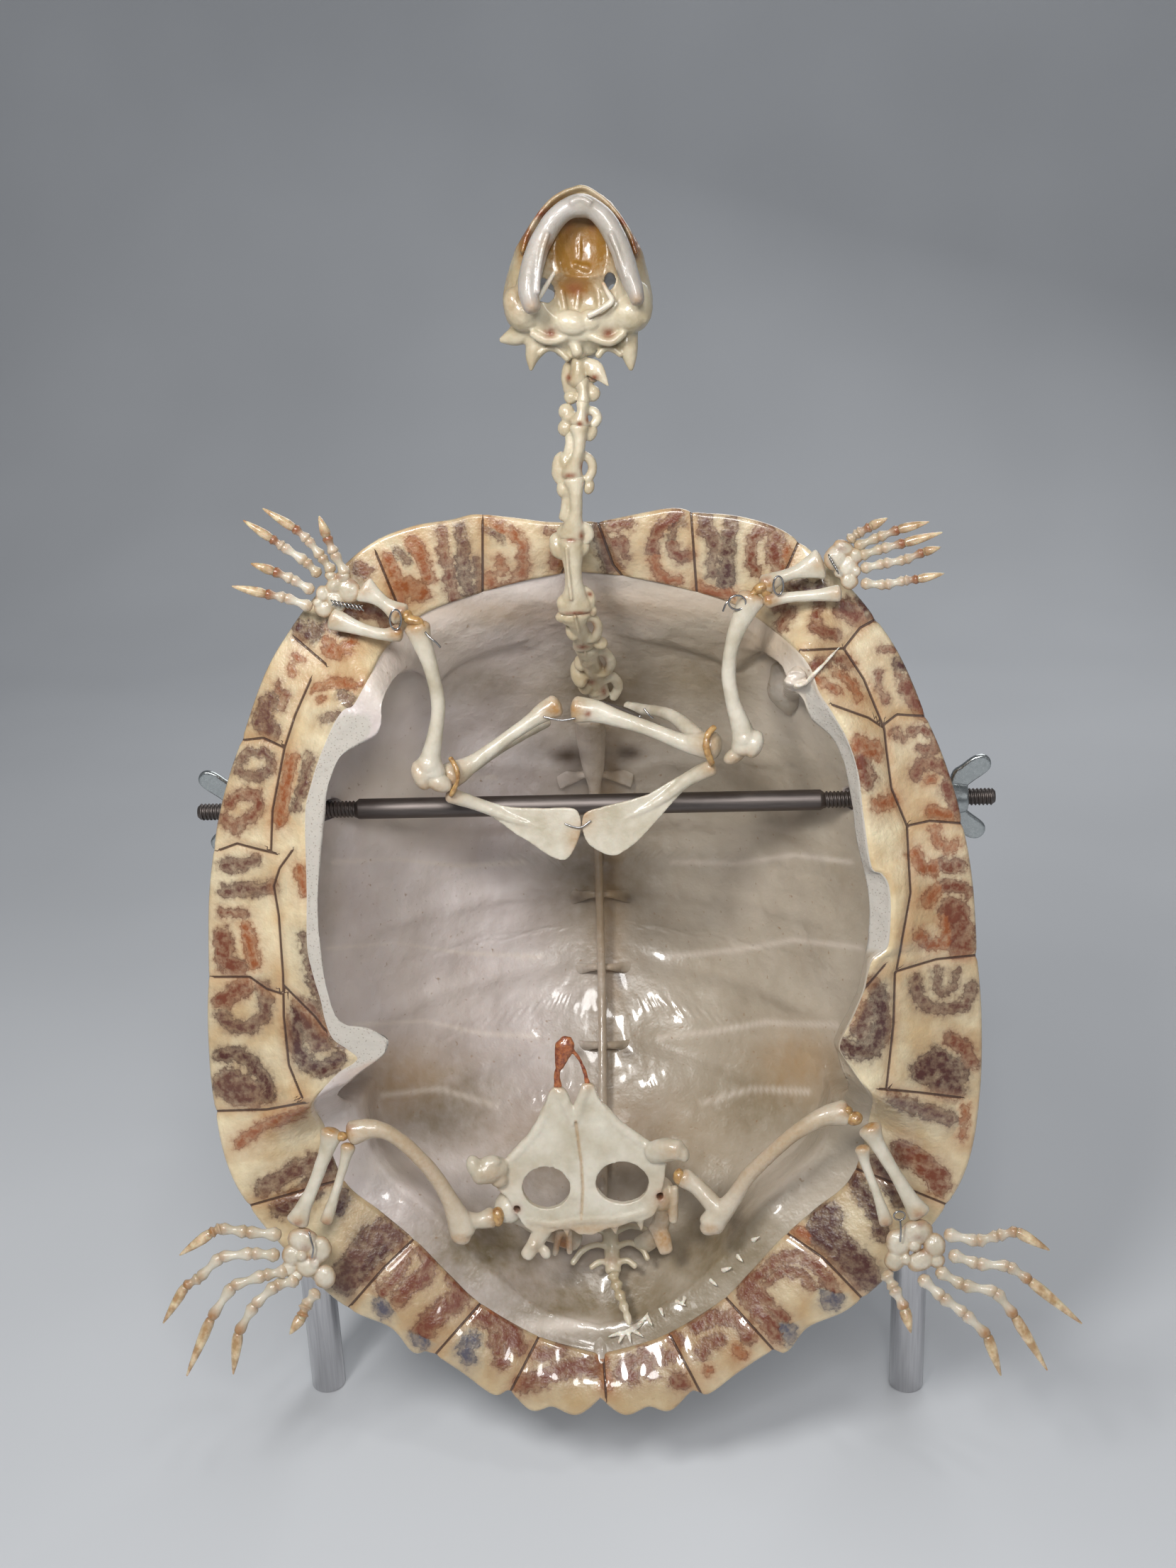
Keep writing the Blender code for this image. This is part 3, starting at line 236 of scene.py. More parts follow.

# %% [markdown]
# ### Inside of the shell and sawn bone
#
# The inside of the shell is greyer than the limbs: lavender on the left, and darker and warmer on the right
# half, which is painted shade. It is olive where old fat has soaked in along the back, and the same olive
# paints shade under the front rim and towards the tail. The sawn bridges are matt spongy bone with open
# pores and no varnish shine.

# %% Shell bone material
def shell_bone_material():
    made, tree, shader = new_material("varnished shell bone", {
        "Subsurface Weight": 0.05, "Subsurface Scale": 0.002, "Coat Roughness": 0.1,
    })
    place = add(tree, "TexCoord", {}, "Object")
    patches, mottle, specks, lumps, pits = [
        add(tree, "TexNoise", {"Vector": place, "Scale": 1000 / size_mm, "Detail": detail, "Roughness": 0.55})
        for size_mm, detail in ((26.0, 3), (4.0, 4), (1.6, 1), (3.2, 2), (0.9, 4))
    ]
    right_half_shade, olive, tan, pale, dark, sawn = [
        add(tree, "Attribute", {}, "Fac", attribute_name=name)
        for name in ("right", "olive", "tan", "pale", "dark", "sawn")
    ]
    # The right half's ramp is darker and warmer: painted shade, for the half of the bowl that lies in shade
    colour, warm = [
        add(tree, "ValToRGB", {0: patches}, stops=stops)
        for stops in ([(0.34, "BCB0AD"), (0.62, "D3C9C6")], [(0.34, "AA9E8D"), (0.62, "BFB4A4")])
    ]
    mottle = add(tree, "Math", {0: mottle, 1: 0.5}, operation="ADD")
    olive, tan = [
        add(tree, "Math", {0: share, 1: mottle}, operation="MULTIPLY", use_clamp=True)
        for share in (olive, tan)
    ]
    specks = add(tree, "Math", {0: specks, 1: 5.0, 2: -3.5}, operation="MULTIPLY_ADD", use_clamp=True)
    pores = add(tree, "TexVoronoi", {"Vector": place, "Scale": 1000 / 0.8}, "Distance", feature="F1")
    spongy = add(tree, "ValToRGB", {0: pores}, stops=[(0.08, "91887E"), (0.3, "B8B2A9")])
    # Layers: right-half painted shade, olive fat stain and shade, tan, pale painted light, dark painted shade,
    # specks
    for share, over in ((right_half_shade, warm), (olive, linear("7A6B4F")), (tan, linear("A88860")),
                        (pale, linear("DDD1C4")), (dark, linear("4A3A2A")), (specks, linear("8A6A48")),
                        (sawn, spongy)):
        colour = add(tree, "Mix", {0: share, 6: colour, 7: over}, 2, data_type="RGBA")
    height = add(tree, "Math", {0: pits, 1: 0.3, 2: lumps}, operation="MULTIPLY_ADD")
    plug(shader, {
        "Base Color": colour,
        "Roughness": add(tree, "Math", {0: sawn, 1: 0.49, 2: 0.36}, operation="MULTIPLY_ADD"),
        "Coat Weight": add(tree, "Math", {0: sawn, 1: -0.7, 2: 0.7}, operation="MULTIPLY_ADD"),
        "Normal": add(tree, "Bump", {"Height": height, "Strength": 1.0, "Distance": 0.34 * MM}),
    })
    return made


SHELL_BONE = shell_bone_material()
print("shell material:", SHELL_BONE.name)

# %% [markdown]
# ### Horn plates
#
# The plates are keratin, like a fingernail: cream yellow at the rim, with red-brown blotches that grew in
# rings, and dark olive on the back. Blotches and seams are painted as distances, so that the material can set
# how soft their edges are, and noise can make them ragged. A blotch is a patchy middle, a darker line along
# its edge and a wide faint tint.

# %% Horn materials
def seam_lines(tree):
    """The share of a dark seam, and of the brown beside it, from the painted distances in millimetres."""
    side, away = [add(tree, "Attribute", {}, "Fac", attribute_name=name) for name in ("seam_side", "seam")]
    line = add(tree, "Math", {0: side}, operation="ABSOLUTE")
    line = add(tree, "Math", {0: line, 1: -4.5, 2: 1.89}, operation="MULTIPLY_ADD", use_clamp=True)
    near = add(tree, "Math", {0: away, 1: -3.0, 2: 4.5}, operation="MULTIPLY_ADD", use_clamp=True)
    beside = add(tree, "Math", {0: away, 1: -0.16, 2: 0.416}, operation="MULTIPLY_ADD", use_clamp=True)
    return add(tree, "Math", {0: line, 1: near}, operation="MULTIPLY"), beside


def horn_material(name, pale, warm, marks, gloss):
    """Horn with soft ragged blotches in the tones of a ramp, and dark seams."""
    made, tree, shader = new_material(name, {
        "Roughness": 0.34, "Subsurface Weight": 0.06, "Subsurface Scale": 0.0015,
        "Coat Weight": gloss, "Coat Roughness": 0.07,
    })
    place = add(tree, "TexCoord", {}, "Object")
    patches, ragged, worn, lumps, pits = [
        add(
            tree, "TexNoise",
            {"Vector": place, "Scale": 1000 / size_mm, "Detail": detail, "Roughness": roughness},
        )
        for size_mm, detail, roughness in (
            (14.0, 3, 0.55), (2.4, 4, 0.65), (2.2, 3, 0.6), (2.2, 2, 0.55), (0.7, 4, 0.55),
        )
    ]
    plate_shade, blotch, tone = [
        add(tree, "Attribute", {}, "Fac", attribute_name=name)
        for name in ("plate_shade", "blotch", "tone")
    ]
    colour = add(tree, "ValToRGB", {0: patches}, stops=[(0.34, warm), (0.6, pale)])
    tone = add(tree, "ValToRGB", {0: tone}, stops=marks)
    darker = add(tree, "HueSaturation", {"Color": tone, "Value": 0.62})
    blotch = add(tree, "Math", {0: blotch, 1: 13.0}, operation="SUBTRACT")
    edge = add(tree, "Math", {0: ragged, 1: 26.0, 2: blotch}, operation="MULTIPLY_ADD")
    halo = add(tree, "Math", {0: edge, 1: 0.012, 2: 0.36}, operation="MULTIPLY_ADD", use_clamp=True)
    mask = add(tree, "Math", {0: edge, 1: 0.07, 2: 0.49}, operation="MULTIPLY_ADD", use_clamp=True)
    patchy = add(tree, "Math", {0: worn, 1: 2.05, 2: -0.164}, operation="MULTIPLY_ADD", use_clamp=True)
    middle = add(tree, "Math", {0: mask, 1: patchy}, operation="MULTIPLY", use_clamp=True)
    off_line = add(tree, "Math", {0: edge, 1: 0.5}, operation="SUBTRACT")
    off_line = add(tree, "Math", {0: off_line}, operation="ABSOLUTE")
    rim = add(tree, "Math", {0: off_line, 1: -0.4, 2: 1.0}, operation="MULTIPLY_ADD", use_clamp=True)
    weak = add(tree, "Math", {0: patchy, 1: 0.75}, operation="MULTIPLY")
    rim = add(tree, "Math", {0: rim, 1: weak}, operation="MULTIPLY")
    line, beside = seam_lines(tree)
    seam = add(tree, "Math", {0: line, 1: 0.9}, operation="MULTIPLY")
    height = add(tree, "Math", {0: pits, 1: 0.35, 2: lumps}, operation="MULTIPLY_ADD")
    height = add(tree, "Math", {0: line, 1: -0.7, 2: height}, operation="MULTIPLY_ADD")
    # plate_shade darkens the horn as painted shade
    for share, over in ((plate_shade, linear("9C8058")), (halo, tone), (middle, tone), (rim, darker),
                        (beside, linear("A9764A")), (seam, linear("40251A"))):
        colour = add(tree, "Mix", {0: share, 6: colour, 7: over}, 2, data_type="RGBA")
    plug(shader, {
        "Base Color": colour,
        "Normal": add(tree, "Bump", {"Height": height, "Strength": 1.0, "Distance": 0.38 * MM}),
    })
    return made


RIM_MARKS = [(0.0, "8E4E26"), (0.25, "6E3822"), (0.5, "4A241C"), (0.75, "5E3A2E"), (1.0, "54505A")]
BACK_MARKS = [(0.0, "8A7A3A"), (0.5, "6E6530"), (0.6, "7A6E38")]
RIM_HORN = horn_material("varnished rim horn", "E4D5B2", "C9AE84", RIM_MARKS, 0.85)
BACK_HORN = horn_material("olive back horn", "4A3E22", "33301D", BACK_MARKS, 0.6)
print("horn materials:", RIM_HORN.name, BACK_HORN.name)

# %% [markdown]
# ### Metals, glue and gristle
#
# The rod is plain drawn steel gone dull, the posts are polished stainless tube, and the wing nuts are zinc
# plated. Metals need little colour of their own: what they show is mostly the room, broken by the fine lines
# that drawing or polishing leaves. Glue and gristle have dried glossy and a little see-through.

# %% Metal, glue and gristle materials
def metal(name, colour, roughness, streak_mm, streak_depth_mm, stretch):
    made, tree, shader = new_material(name, {"Metallic": 1.0})
    place = add(tree, "Mapping", {"Vector": add(tree, "TexCoord", {}, "Object"), "Scale": stretch})
    streaks = add(tree, "TexNoise", {"Vector": place, "Scale": 1000 / streak_mm, "Detail": 3.0})
    light = add(tree, "Math", {0: streaks, 1: 0.5, 2: 0.72}, operation="MULTIPLY_ADD")
    plug(shader, {
        "Base Color": add(tree, "HueSaturation", {"Color": linear(colour), "Value": light}),
        "Roughness": add(tree, "Math", {0: streaks, 1: 0.14, 2: roughness - 0.07}, operation="MULTIPLY_ADD"),
        "Normal": add(tree, "Bump", {"Height": streaks, "Strength": 1.0, "Distance": streak_depth_mm * MM}),
    })
    return made


ROD_STEEL = metal("dull drawn steel", "6F6865", 0.50, 0.5, 0.02, (0.08, 1.0, 1.0))
POST_STEEL = metal("polished stainless tube", "C9C8CA", 0.14, 0.6, 0.008, (1.0, 1.0, 0.04))
ZINC = metal("zinc-plated steel", "B4B9B9", 0.26, 0.9, 0.03, (1.0, 1.0, 1.0))
WIRE_STEEL = metal("bright binding wire", "A9A7A6", 0.24, 0.3, 0.01, (1.0, 1.0, 1.0))


def plain_gristle(name, light, dark, lump_mm, coat, depth_mm):
    made, tree, shader = new_material(name, {
        "Roughness": 0.4, "Subsurface Weight": 0.25, "Subsurface Scale": 0.0015,
        "Coat Weight": coat, "Coat Roughness": 0.08,
    })
    place = add(tree, "TexCoord", {}, "Object")
    patches, lumps = [
        add(tree, "TexNoise", {"Vector": place, "Scale": 1000 / size_mm, "Detail": detail, "Roughness": 0.55})
        for size_mm, detail in ((lump_mm, 4), (lump_mm * 0.7, 3))
    ]
    plug(shader, {
        "Base Color": add(tree, "ValToRGB", {0: patches}, stops=[(0.34, dark), (0.64, light)]),
        "Normal": add(tree, "Bump", {"Height": lumps, "Strength": 1.0, "Distance": depth_mm * MM}),
    })
    return made


AMBER_GLUE = plain_gristle("dried amber glue", "BE9A62", "8A6236", 1.6, 0.9, 0.25)
RED_GRISTLE = plain_gristle("dried red-brown gristle", "B06A3C", "6E2F1C", 1.3, 0.8, 0.4)
WHITE_GRISTLE = plain_gristle("dried white tissue", "EFE8DC", "D8CCB8", 1.5, 0.5, 0.3)
print("metals and glues ready")

# %% [markdown]
# ## The shell's surface
#
# The shell is one section that turns round the middle: from the top of the dome out to the sharp rim, back
# over the horny edge and the sawn bone, and down into the bowl. Its outlines are lists of millimetres, read
# as smooth curves. One function gives the surface for any angle and any place along the section, so that
# bone, plates and grooves all agree.

# %% Outlines and the section of the shell
SHELL_DEPTH, BONE_WALL, MEAN_RADIUS = 80.0, 2.2, 105.0      # millimetres
# How far the sawn bone stands before the rim plane, and less on the right
SAWN_FRONT, RIGHT_TILT = 11.5, 4.5
RIM = [
    (0, 125.2), (8, 125.3), (18, 126.8), (27, 128), (34, 126.6), (45, 125), (57, 120.5), (69, 110),
    (79, 98.8), (86.5, 87), (93, 72), (98.5, 58), (103, 43), (106, 25), (107.5, 4), (108.6, -14),
    (108.3, -35), (105.5, -54), (100, -67), (90, -80), (80.5, -91), (71, -99), (60, -104), (54, -111.5),
    (49.5, -111.5), (40, -117.5), (31, -124.5), (26.5, -123.5), (20, -129.3), (14, -128), (7, -130.6),
    (0, -125.5),
]
# Angles round the shell between which the bridges were sawn, in degrees
BRIDGE_TOP, BRIDGE_END = 55.0, -21.0
# The end of the horny plates, and along the bridges the outer edge of the sawn bone
FRONT_BARE = [(0, 112), (14, 110), (30, 106), (44, 101)]
REAR_BARE = [
    (78, -35), (78, -48), (73, -63), (63, -72), (53, -81), (44, -91), (35, -100), (18, -110.5), (0, -116),
]
BARE_LEFT = FRONT_BARE + [
    (53, 93), (56.5, 85), (60.9, 77.6), (63.5, 76.5), (66.4, 72.9), (69.8, 66.1), (72, 61.1), (73.8, 55.9),
    (75.3, 50.6), (75.8, 44.4), (76, 34.9), (76.3, 25), (76.8, 11.8), (75.6, 3.6), (73.7, -3.9), (72.6, -9.8),
    (70.5, -14.9), (66.6, -18), (64, -21), (70, -25),
] + REAR_BARE
BARE_RIGHT = FRONT_BARE + [
    (56, 92), (62, 85), (64.4, 78.2), (68.1, 72.1), (72, 64.9), (74.6, 56.1), (75.8, 44.9), (77.8, 31.1),
    (80.5, 29), (82.4, 26), (82.9, 19.8), (82.3, 10), (80.6, 7.3), (77.8, 5.1), (76.5, 1.2), (75.3, -3.7),
    (72.2, -11), (69.6, -16), (68.8, -19.2), (70.1, -22), (74, -28),
] + REAR_BARE
# The inner edge of the bone, where it drops into the bowl
FRONT_LIP = [(0, 107), (14, 105), (28, 101), (42, 96.5)]
REAR_LIP = [
    (72, -34), (71.5, -45), (67, -58), (58, -68), (48, -77), (40, -86), (32, -94), (17, -105), (0, -110),
]
LIP_LEFT = FRONT_LIP + [
    (50, 88), (53, 80), (53.3, 74.5), (53.5, 72.6), (55.6, 69.5), (60.4, 67.1), (64, 65), (66.3, 62.6),
    (68, 58.9), (69.8, 53.7), (70.7, 48), (71.5, 42.1), (72.5, 34.8), (73.3, 25), (73.5, 14.4), (72.9, 4.3),
    (71.5, -3.7), (69.8, -8.6), (66.5, -11.3), (61, -12.2), (56.1, -14.4), (55.4, -16.9), (58, -20.5),
    (66, -26),
] + REAR_LIP
LIP_RIGHT = FRONT_LIP + [
    (53, 89), (56, 82), (56.3, 79), (59.5, 77), (62.8, 71.3), (68.3, 65.6), (71.4, 58.3), (73, 50.6),
    (74.5, 39.3), (76.7, 28.1), (77.7, 19.8), (77.7, 10), (77.2, 5), (75.9, 1.2), (74.7, -3.7), (71.6, -11),
    (69, -16), (68, -19.1), (68.8, -22.4), (70, -27),
] + REAR_LIP


def between(a, b, c, d, f):
    """The smooth curve that goes from b to c, coming from a and going on to d, at the share f of the way."""
    return 0.5 * (
        2 * b + (c - a) * f + (2 * a - 5 * b + 4 * c - d) * f ** 2 + (3 * b - a - 3 * c + d) * f ** 3
    )


def curve(values, count):
    """A smooth curve through rows of numbers, read at count places."""
    values = np.array(values, float)
    t = np.linspace(0, len(values) - 1, count)
    i = np.minimum(t.astype(int), len(values) - 2)
    f = (t - i)[:, None]
    a, b = values[np.maximum(i - 1, 0)], values[i]
    c, d = values[i + 1], values[np.minimum(i + 2, len(values) - 1)]
    return between(a, b, c, d, f)


def ease(edge0, edge1, value):
    """A soft step from 0 at the first edge to 1 at the second."""
    f = np.clip((value - edge0) / (edge1 - edge0), 0.0, 1.0)
    return f * f * (3 - 2 * f)


def fold(angle):
    """An angle round the shell folded onto its right half, from -90 degrees, the tail, to +90, the head."""
    return np.arctan2(np.sin(angle), np.abs(np.cos(angle)))


def outline_radius(half, angle):
    """Radius of a half outline at angles from +90 degrees, the head end, to -90 degrees."""
    fine = curve(half, 1441)
    angles = np.arctan2(fine[:, 1], fine[:, 0])
    order = np.argsort(angles)
    return np.interp(angle, angles[order], np.hypot(fine[order, 0], fine[order, 1]))


def side_radius(left, right, angle):
    """Radius of an outline that differs between the two sides, at any angle."""
    return np.where(np.cos(angle) < 0, outline_radius(left, fold(angle)), outline_radius(right, fold(angle)))


TURN = 2 * math.pi * np.arange(1440) / 1440
WAVES = np.fft.rfft(outline_radius(RIM, fold(TURN)))
WAVES *= np.exp(-(np.arange(len(WAVES)) / 9.0) ** 2)
TURN_RADIUS = np.fft.irfft(WAVES, len(TURN))


def smooth_radius(angle):
    """The rim's radius without its teeth, which the dome and the bowl don't have: its long waves alone."""
    return np.interp(angle, TURN, TURN_RADIUS, period=2 * math.pi)


def dome(r):
    """Depth of the outside, at a share of the smooth radius."""
    return SHELL_DEPTH * (1 - np.clip(r, 0.0, 1.0) ** 2.2) ** 1.5


def bowl(r):
    """Depth of the inside: the dome less its wall, which is deeper along the view where it is steep."""
    slope = 2.4 * r * SHELL_DEPTH / MEAN_RADIUS
    return dome(r) - BONE_WALL * np.sqrt(1 + slope * slope) * 0.9


def section(angle):
    """The section's control points (out, depth) at each angle, the smooth radius and the bridge's share."""
    half = np.degrees(fold(angle))
    rim = outline_radius(RIM, fold(angle))
    smooth = smooth_radius(angle)
    b = side_radius(BARE_LEFT, BARE_RIGHT, angle)
    p = side_radius(LIP_LEFT, LIP_RIGHT, angle)
    bridge = ease(BRIDGE_TOP + 8, BRIDGE_TOP, half) * ease(BRIDGE_END - 10, BRIDGE_END, half)
    tilt = RIGHT_TILT * (np.cos(angle) > 0)
    roll = ease(20, 45, half) * (1 - bridge)      # the front lip rolls over towards the neck
    foot = (p - 3 - 7 * roll) * (1 - bridge) + 0.86 * smooth * bridge
    one = np.ones_like(angle)
    outer = [(smooth * r, one * (dome(r) + 0.5)) for r in (0, 0.16, 0.32, 0.44, 0.56, 0.65, 0.73)]
    outer += [
        ((smooth * (1 - k) + rim * k) * r, one * (dome(r) + 0.5))
        for r, k in ((0.79, 0.2), (0.85, 0.5), (0.93, 0.9))
    ]
    outer.append((rim, one * 1.2))
    inner = [
        (rim, -0.8 - 0.5 * bridge), ((rim + b) / 2 + 1, (1 - bridge) * 0.6 - 5 * bridge),
        (b, (1 - bridge) * 7 - SAWN_FRONT * bridge),
        (p - 2 * roll, (1 - bridge) * (10 + 2 * roll) - (SAWN_FRONT - tilt) * bridge),
        (foot, (1 - bridge) * (14 + 8 * roll) + bridge * bowl(foot / smooth)),
    ]
    for r, gap in ((0.69, 0.02), (0.54, 0.08), (0.43, 0.12), (0.31, 0.2), (0.2, 0.3), (0.1, 0.4), (0.0, 0.5)):
        r = np.minimum(r, foot / smooth - gap)
        inner.append((r * smooth, bowl(r)))
    return np.array(outer + inner).transpose(2, 0, 1), smooth, bridge


FULL_RIM, BARE, LIP, FOOT, LAST = 10, 13, 14, 15, 22      # places along the section


def shell_surface(angles, places):
    """Points (angle, place, 3) of the shell in metres, and x, up and back in millimetres."""
    control, smooth, bridge = section(angles)
    i = np.minimum(places.astype(int), control.shape[1] - 2)
    f = (places - i)[None, :, None]
    a, b = control[:, np.maximum(i - 1, 0)], control[:, i]
    c, d = control[:, i + 1], control[:, np.minimum(i + 2, control.shape[1] - 1)]
    bridge = bridge[:, None]
    sharp = (i == FULL_RIM) | (i == FULL_RIM - 1)
    sawn = (i == BARE) | (i == LIP) | (i == FOOT)
    straight = np.maximum(sharp[None, :], sawn[None, :] * bridge)
    soft = between(a, b, c, d, f)
    value = soft + (b + (c - b) * f - soft) * straight[..., None]
    in_bowl = np.maximum(ease(FOOT, FOOT + 1, places)[None, :], bridge * (places > FOOT)[None, :])
    depth = value[..., 1] * (1 - in_bowl) + bowl(value[..., 0] / smooth[:, None]) * in_bowl
    out = value[..., 0]
    local = np.stack([out * np.cos(angles)[:, None], out * np.sin(angles)[:, None], depth], axis=-1)
    return to_world(local), local


def to_world(local):
    """An array of millimetres across, up and behind the rim plane, as points in metres."""
    return (np.array(RIM_CENTRE) + local[..., :1] * MM * np.array(RIGHT)
            + local[..., 1:2] * MM * np.array(SHELL_UP) + local[..., 2:3] * MM * np.array(SHELL_BACK))


def normals(grid):
    """Unit normals of a grid of points (round, along, 3) that closes round its first axis."""
    around = np.roll(grid, -1, axis=0) - np.roll(grid, 1, axis=0)
    along = np.gradient(grid, axis=1)
    normal = np.cross(along, around)
    length = np.linalg.norm(normal, axis=-1, keepdims=True)
    return normal / np.maximum(length, 1e-12)


print("rim radius at the head: %.1f mm" % outline_radius(RIM, np.array([math.pi / 2]))[0])

# %% [markdown]
# ## Working on many vertices at once
#
# A sphere or a ring from the Add menu is the start of every piece. Its vertices already lie on a neat net, so
# each one's place on the net says where it goes on the real shape. Arrays move them all in one step, which is
# what sculpting does by hand. Painting works the same way: each vertex gets a number by how near it is, in
# the photograph, to a stroke or a spot.

# %% Vertex and painting helpers
FAR = 1e9      # a distance beyond everything


def coords(obj):
    """The places of all vertices as an array."""
    flat = np.empty(len(obj.data.vertices) * 3)
    obj.data.vertices.foreach_get("co", flat)
    return flat.reshape(-1, 3)


def set_coords(obj, points):
    obj.data.vertices.foreach_set("co", np.ascontiguousarray(points, np.float32).ravel())
    obj.data.update()


def net_sphere(segments, rings):
    """A unit sphere, with each vertex's column and row on its net."""
    deselect()
    bpy.ops.mesh.primitive_uv_sphere_add(segments=segments, ring_count=rings, radius=1.0)
    obj = bpy.context.object
    place = coords(obj)
    column = np.rint(np.arctan2(place[:, 1], place[:, 0]) / (2 * math.pi) * segments).astype(int) % segments
    row = np.rint((0.5 - np.arcsin(np.clip(place[:, 2], -1, 1)) / math.pi) * rings).astype(int)
    return obj, column, row


def net_ring(segments, rings):
    """A flat grid to be rolled into a ring, with each vertex's column round it and row round its tube."""
    deselect()
    bpy.ops.mesh.primitive_grid_add(x_subdivisions=segments, y_subdivisions=rings, size=2.0)
    obj = bpy.context.object
    place = (coords(obj)[:, :2] + 1) / 2
    column = np.rint(place[:, 0] * segments).astype(int) % segments
    row = np.rint(place[:, 1] * rings).astype(int) % rings
    return obj, column, row


def face_out(obj):
    """Joins points that meet, as where a grid was rolled up, and turns every face outwards."""
    deselect()
    bpy.context.view_layer.objects.active = obj
    obj.select_set(True)
    bpy.ops.object.mode_set(mode="EDIT")
    bpy.ops.mesh.select_all(action="SELECT")
    bpy.ops.mesh.remove_doubles(threshold=1e-7)
    bpy.ops.mesh.normals_make_consistent(inside=False)
    bpy.ops.object.mode_set(mode="OBJECT")
    bpy.ops.object.shade_smooth()


def stroke_side(where, stroke):
    """Distance to a stroke, positive on one side of it and negative on the other."""
    nearest = np.full(len(where), FAR)
    for one, two in zip(np.array(stroke[:-1], float), np.array(stroke[1:], float)):
        side, off = two - one, where - one
        f = np.clip(off @ side / max(side @ side, 1e-9), 0, 1)
        away = np.hypot(*(off - f[:, None] * side).T)
        turn = np.where(side[0] * off[:, 1] - side[1] * off[:, 0] < 0, -1.0, 1.0)
        nearest = np.where(away < np.abs(nearest), away * turn, nearest)
    return nearest


def stroke_distance(where, stroke):
    return np.abs(stroke_side(where, stroke))


def nearest_of(distances):
    """Of several arrays of signed distances, the one nearest to zero at each place."""
    nearest = distances[0]
    for distance in distances[1:]:
        nearest = np.where(np.abs(distance) < np.abs(nearest), distance, nearest)
    return nearest


def set_paint(obj, name, values):
    layer = obj.data.attributes.get(name) or obj.data.attributes.new(name, "FLOAT", "POINT")
    layer.data.foreach_set("value", np.ascontiguousarray(values, np.float32))


def get_paint(obj, name):
    values = np.zeros(len(obj.data.vertices), np.float32)
    if name in obj.data.attributes:
        obj.data.attributes[name].data.foreach_get("value", values)
    return values


def spots(where, marks):
    """Soft oval spots (u, v, half-width, half-height, strength) in pixels, the strongest one winning."""
    value = np.zeros(len(where))
    for u, v, wide, high, strength in marks:
        off = ((where[:, 0] - u) / wide) ** 2 + ((where[:, 1] - v) / high) ** 2
        value = np.maximum(value, strength * np.exp(-off))
    return value


def modify(obj, kind, **settings):
    """Adds a modifier and applies it."""
    deselect()
    bpy.context.view_layer.objects.active = obj
    obj.select_set(True)
    step = obj.modifiers.new(kind.lower(), kind)
    for name, value in settings.items():
        setattr(step, name, value)
    bpy.ops.object.modifier_apply(modifier=step.name)


def piece(obj, name, material, slot, *nodes):
    """Names a finished piece, gives it its material and ties it to the frame."""
    obj.name = obj.data.name = name
    if material is not None:
        obj.data.materials.clear()
        obj.data.materials.append(material)
    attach(obj, "root")
    if nodes:
        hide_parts(*nodes)
    return obj


print("painting helpers ready")

# %% [markdown]
# ## The shell bone
#
# The sphere's net is pressed into the section: its upper half becomes the outside of the dome, its lower half
# the rim and the bowl. Low ribs run out from the backbone, with fine wavy sutures between them, and the bone
# is slightly lumpy, as the inside of a real shell is.

# %% Shell bone
AROUND, OUTSIDE_ROWS = 560, 22              # faces round the shell, and rows on its hidden outside
RIB_HEADS = (50, 32, 9, -15, -39, -62)      # millimetres up the midline


def section_rows():
    """Places along the section: few on the hidden outside, many where the bone shows."""
    inside = [
        (FULL_RIM, 11, 4), (11, 12, 6), (12, BARE, 10), (BARE, LIP, 12), (LIP, FOOT, 14), (FOOT, 16, 22),
        (16, 17, 16), (17, 18, 12), (18, 19, 12), (19, 20, 8), (20, 21, 5), (21, LAST, 3),
    ]
    rows = list(np.linspace(0, FULL_RIM, OUTSIDE_ROWS, endpoint=False))
    for start, end, count in inside:
        rows += list(np.linspace(start, end, count, endpoint=False))
    return np.array(rows + [LAST])


def suture_wave(x, up):
    """A fine zigzag added to the places of the bone sutures, in millimetres."""
    return 0.8 * np.sin(x * 1.9) + 0.5 * np.sin(x * 4.3 + up * 0.4)


def inner_relief(local):
    """Ridges of the ribs and grooves of the sutures on the inside, in millimetres towards the viewer."""
    x, up = local[..., 0], local[..., 1]
    reach = np.abs(x)
    relief = np.zeros_like(x)
    for i, head in enumerate(RIB_HEADS):
        line = head + (reach - 9) * (0.10 - 0.075 * i) + 1.5 * np.sin(reach / 22)
        relief += 1.1 * np.exp(-((up - line) / 3.4) ** 2) * ease(6, 16, reach) * ease(84, 58, reach)
        if i + 1 < len(RIB_HEADS):
            halfway = (line + RIB_HEADS[i + 1] + (reach - 9) * (0.10 - 0.075 * (i + 1))) / 2
            away = up - halfway - suture_wave(reach, up)
            relief -= 0.35 * np.exp(-(away / 0.55) ** 2) * ease(8, 14, reach) * ease(82, 70, reach)
    return relief


rows = section_rows()
shell, column, row = net_sphere(AROUND, len(rows) - 1)
angles = 2 * math.pi * np.arange(AROUND) / AROUND
grid, local = shell_surface(angles, rows)
facing = normals(grid)
if (facing[0, len(rows) - 12] @ np.array(SHELL_BACK)) > 0:      # in the bowl, normals point to the viewer
    facing = -facing
inside = ease(FOOT, 16.5, rows)[None, :] * ease(21.6, 20.6, rows)[None, :]
depth = inner_relief(local) * inside
wander, fine = [
    np.array([noise.noise(Vector(p) * per_mm) for p in local.reshape(-1, 3)]).reshape(depth.shape)
    for per_mm in (0.09, 0.35)
]
visible = ease(12.9, 13.3, rows)[None, :] * ease(21.4, 20.4, rows)[None, :]
# Under the horny plates
sunk = 0.35 * ease(7.4, 7.7, rows)[None, :] * ease(BARE, BARE - 0.2, rows)[None, :]
grid = grid + facing * ((depth - sunk + (0.9 * wander + 0.22 * fine) * visible) * MM)[..., None]
set_coords(shell, grid[column, row])
face_out(shell)
print("shell bone: %d vertices" % len(shell.data.vertices))
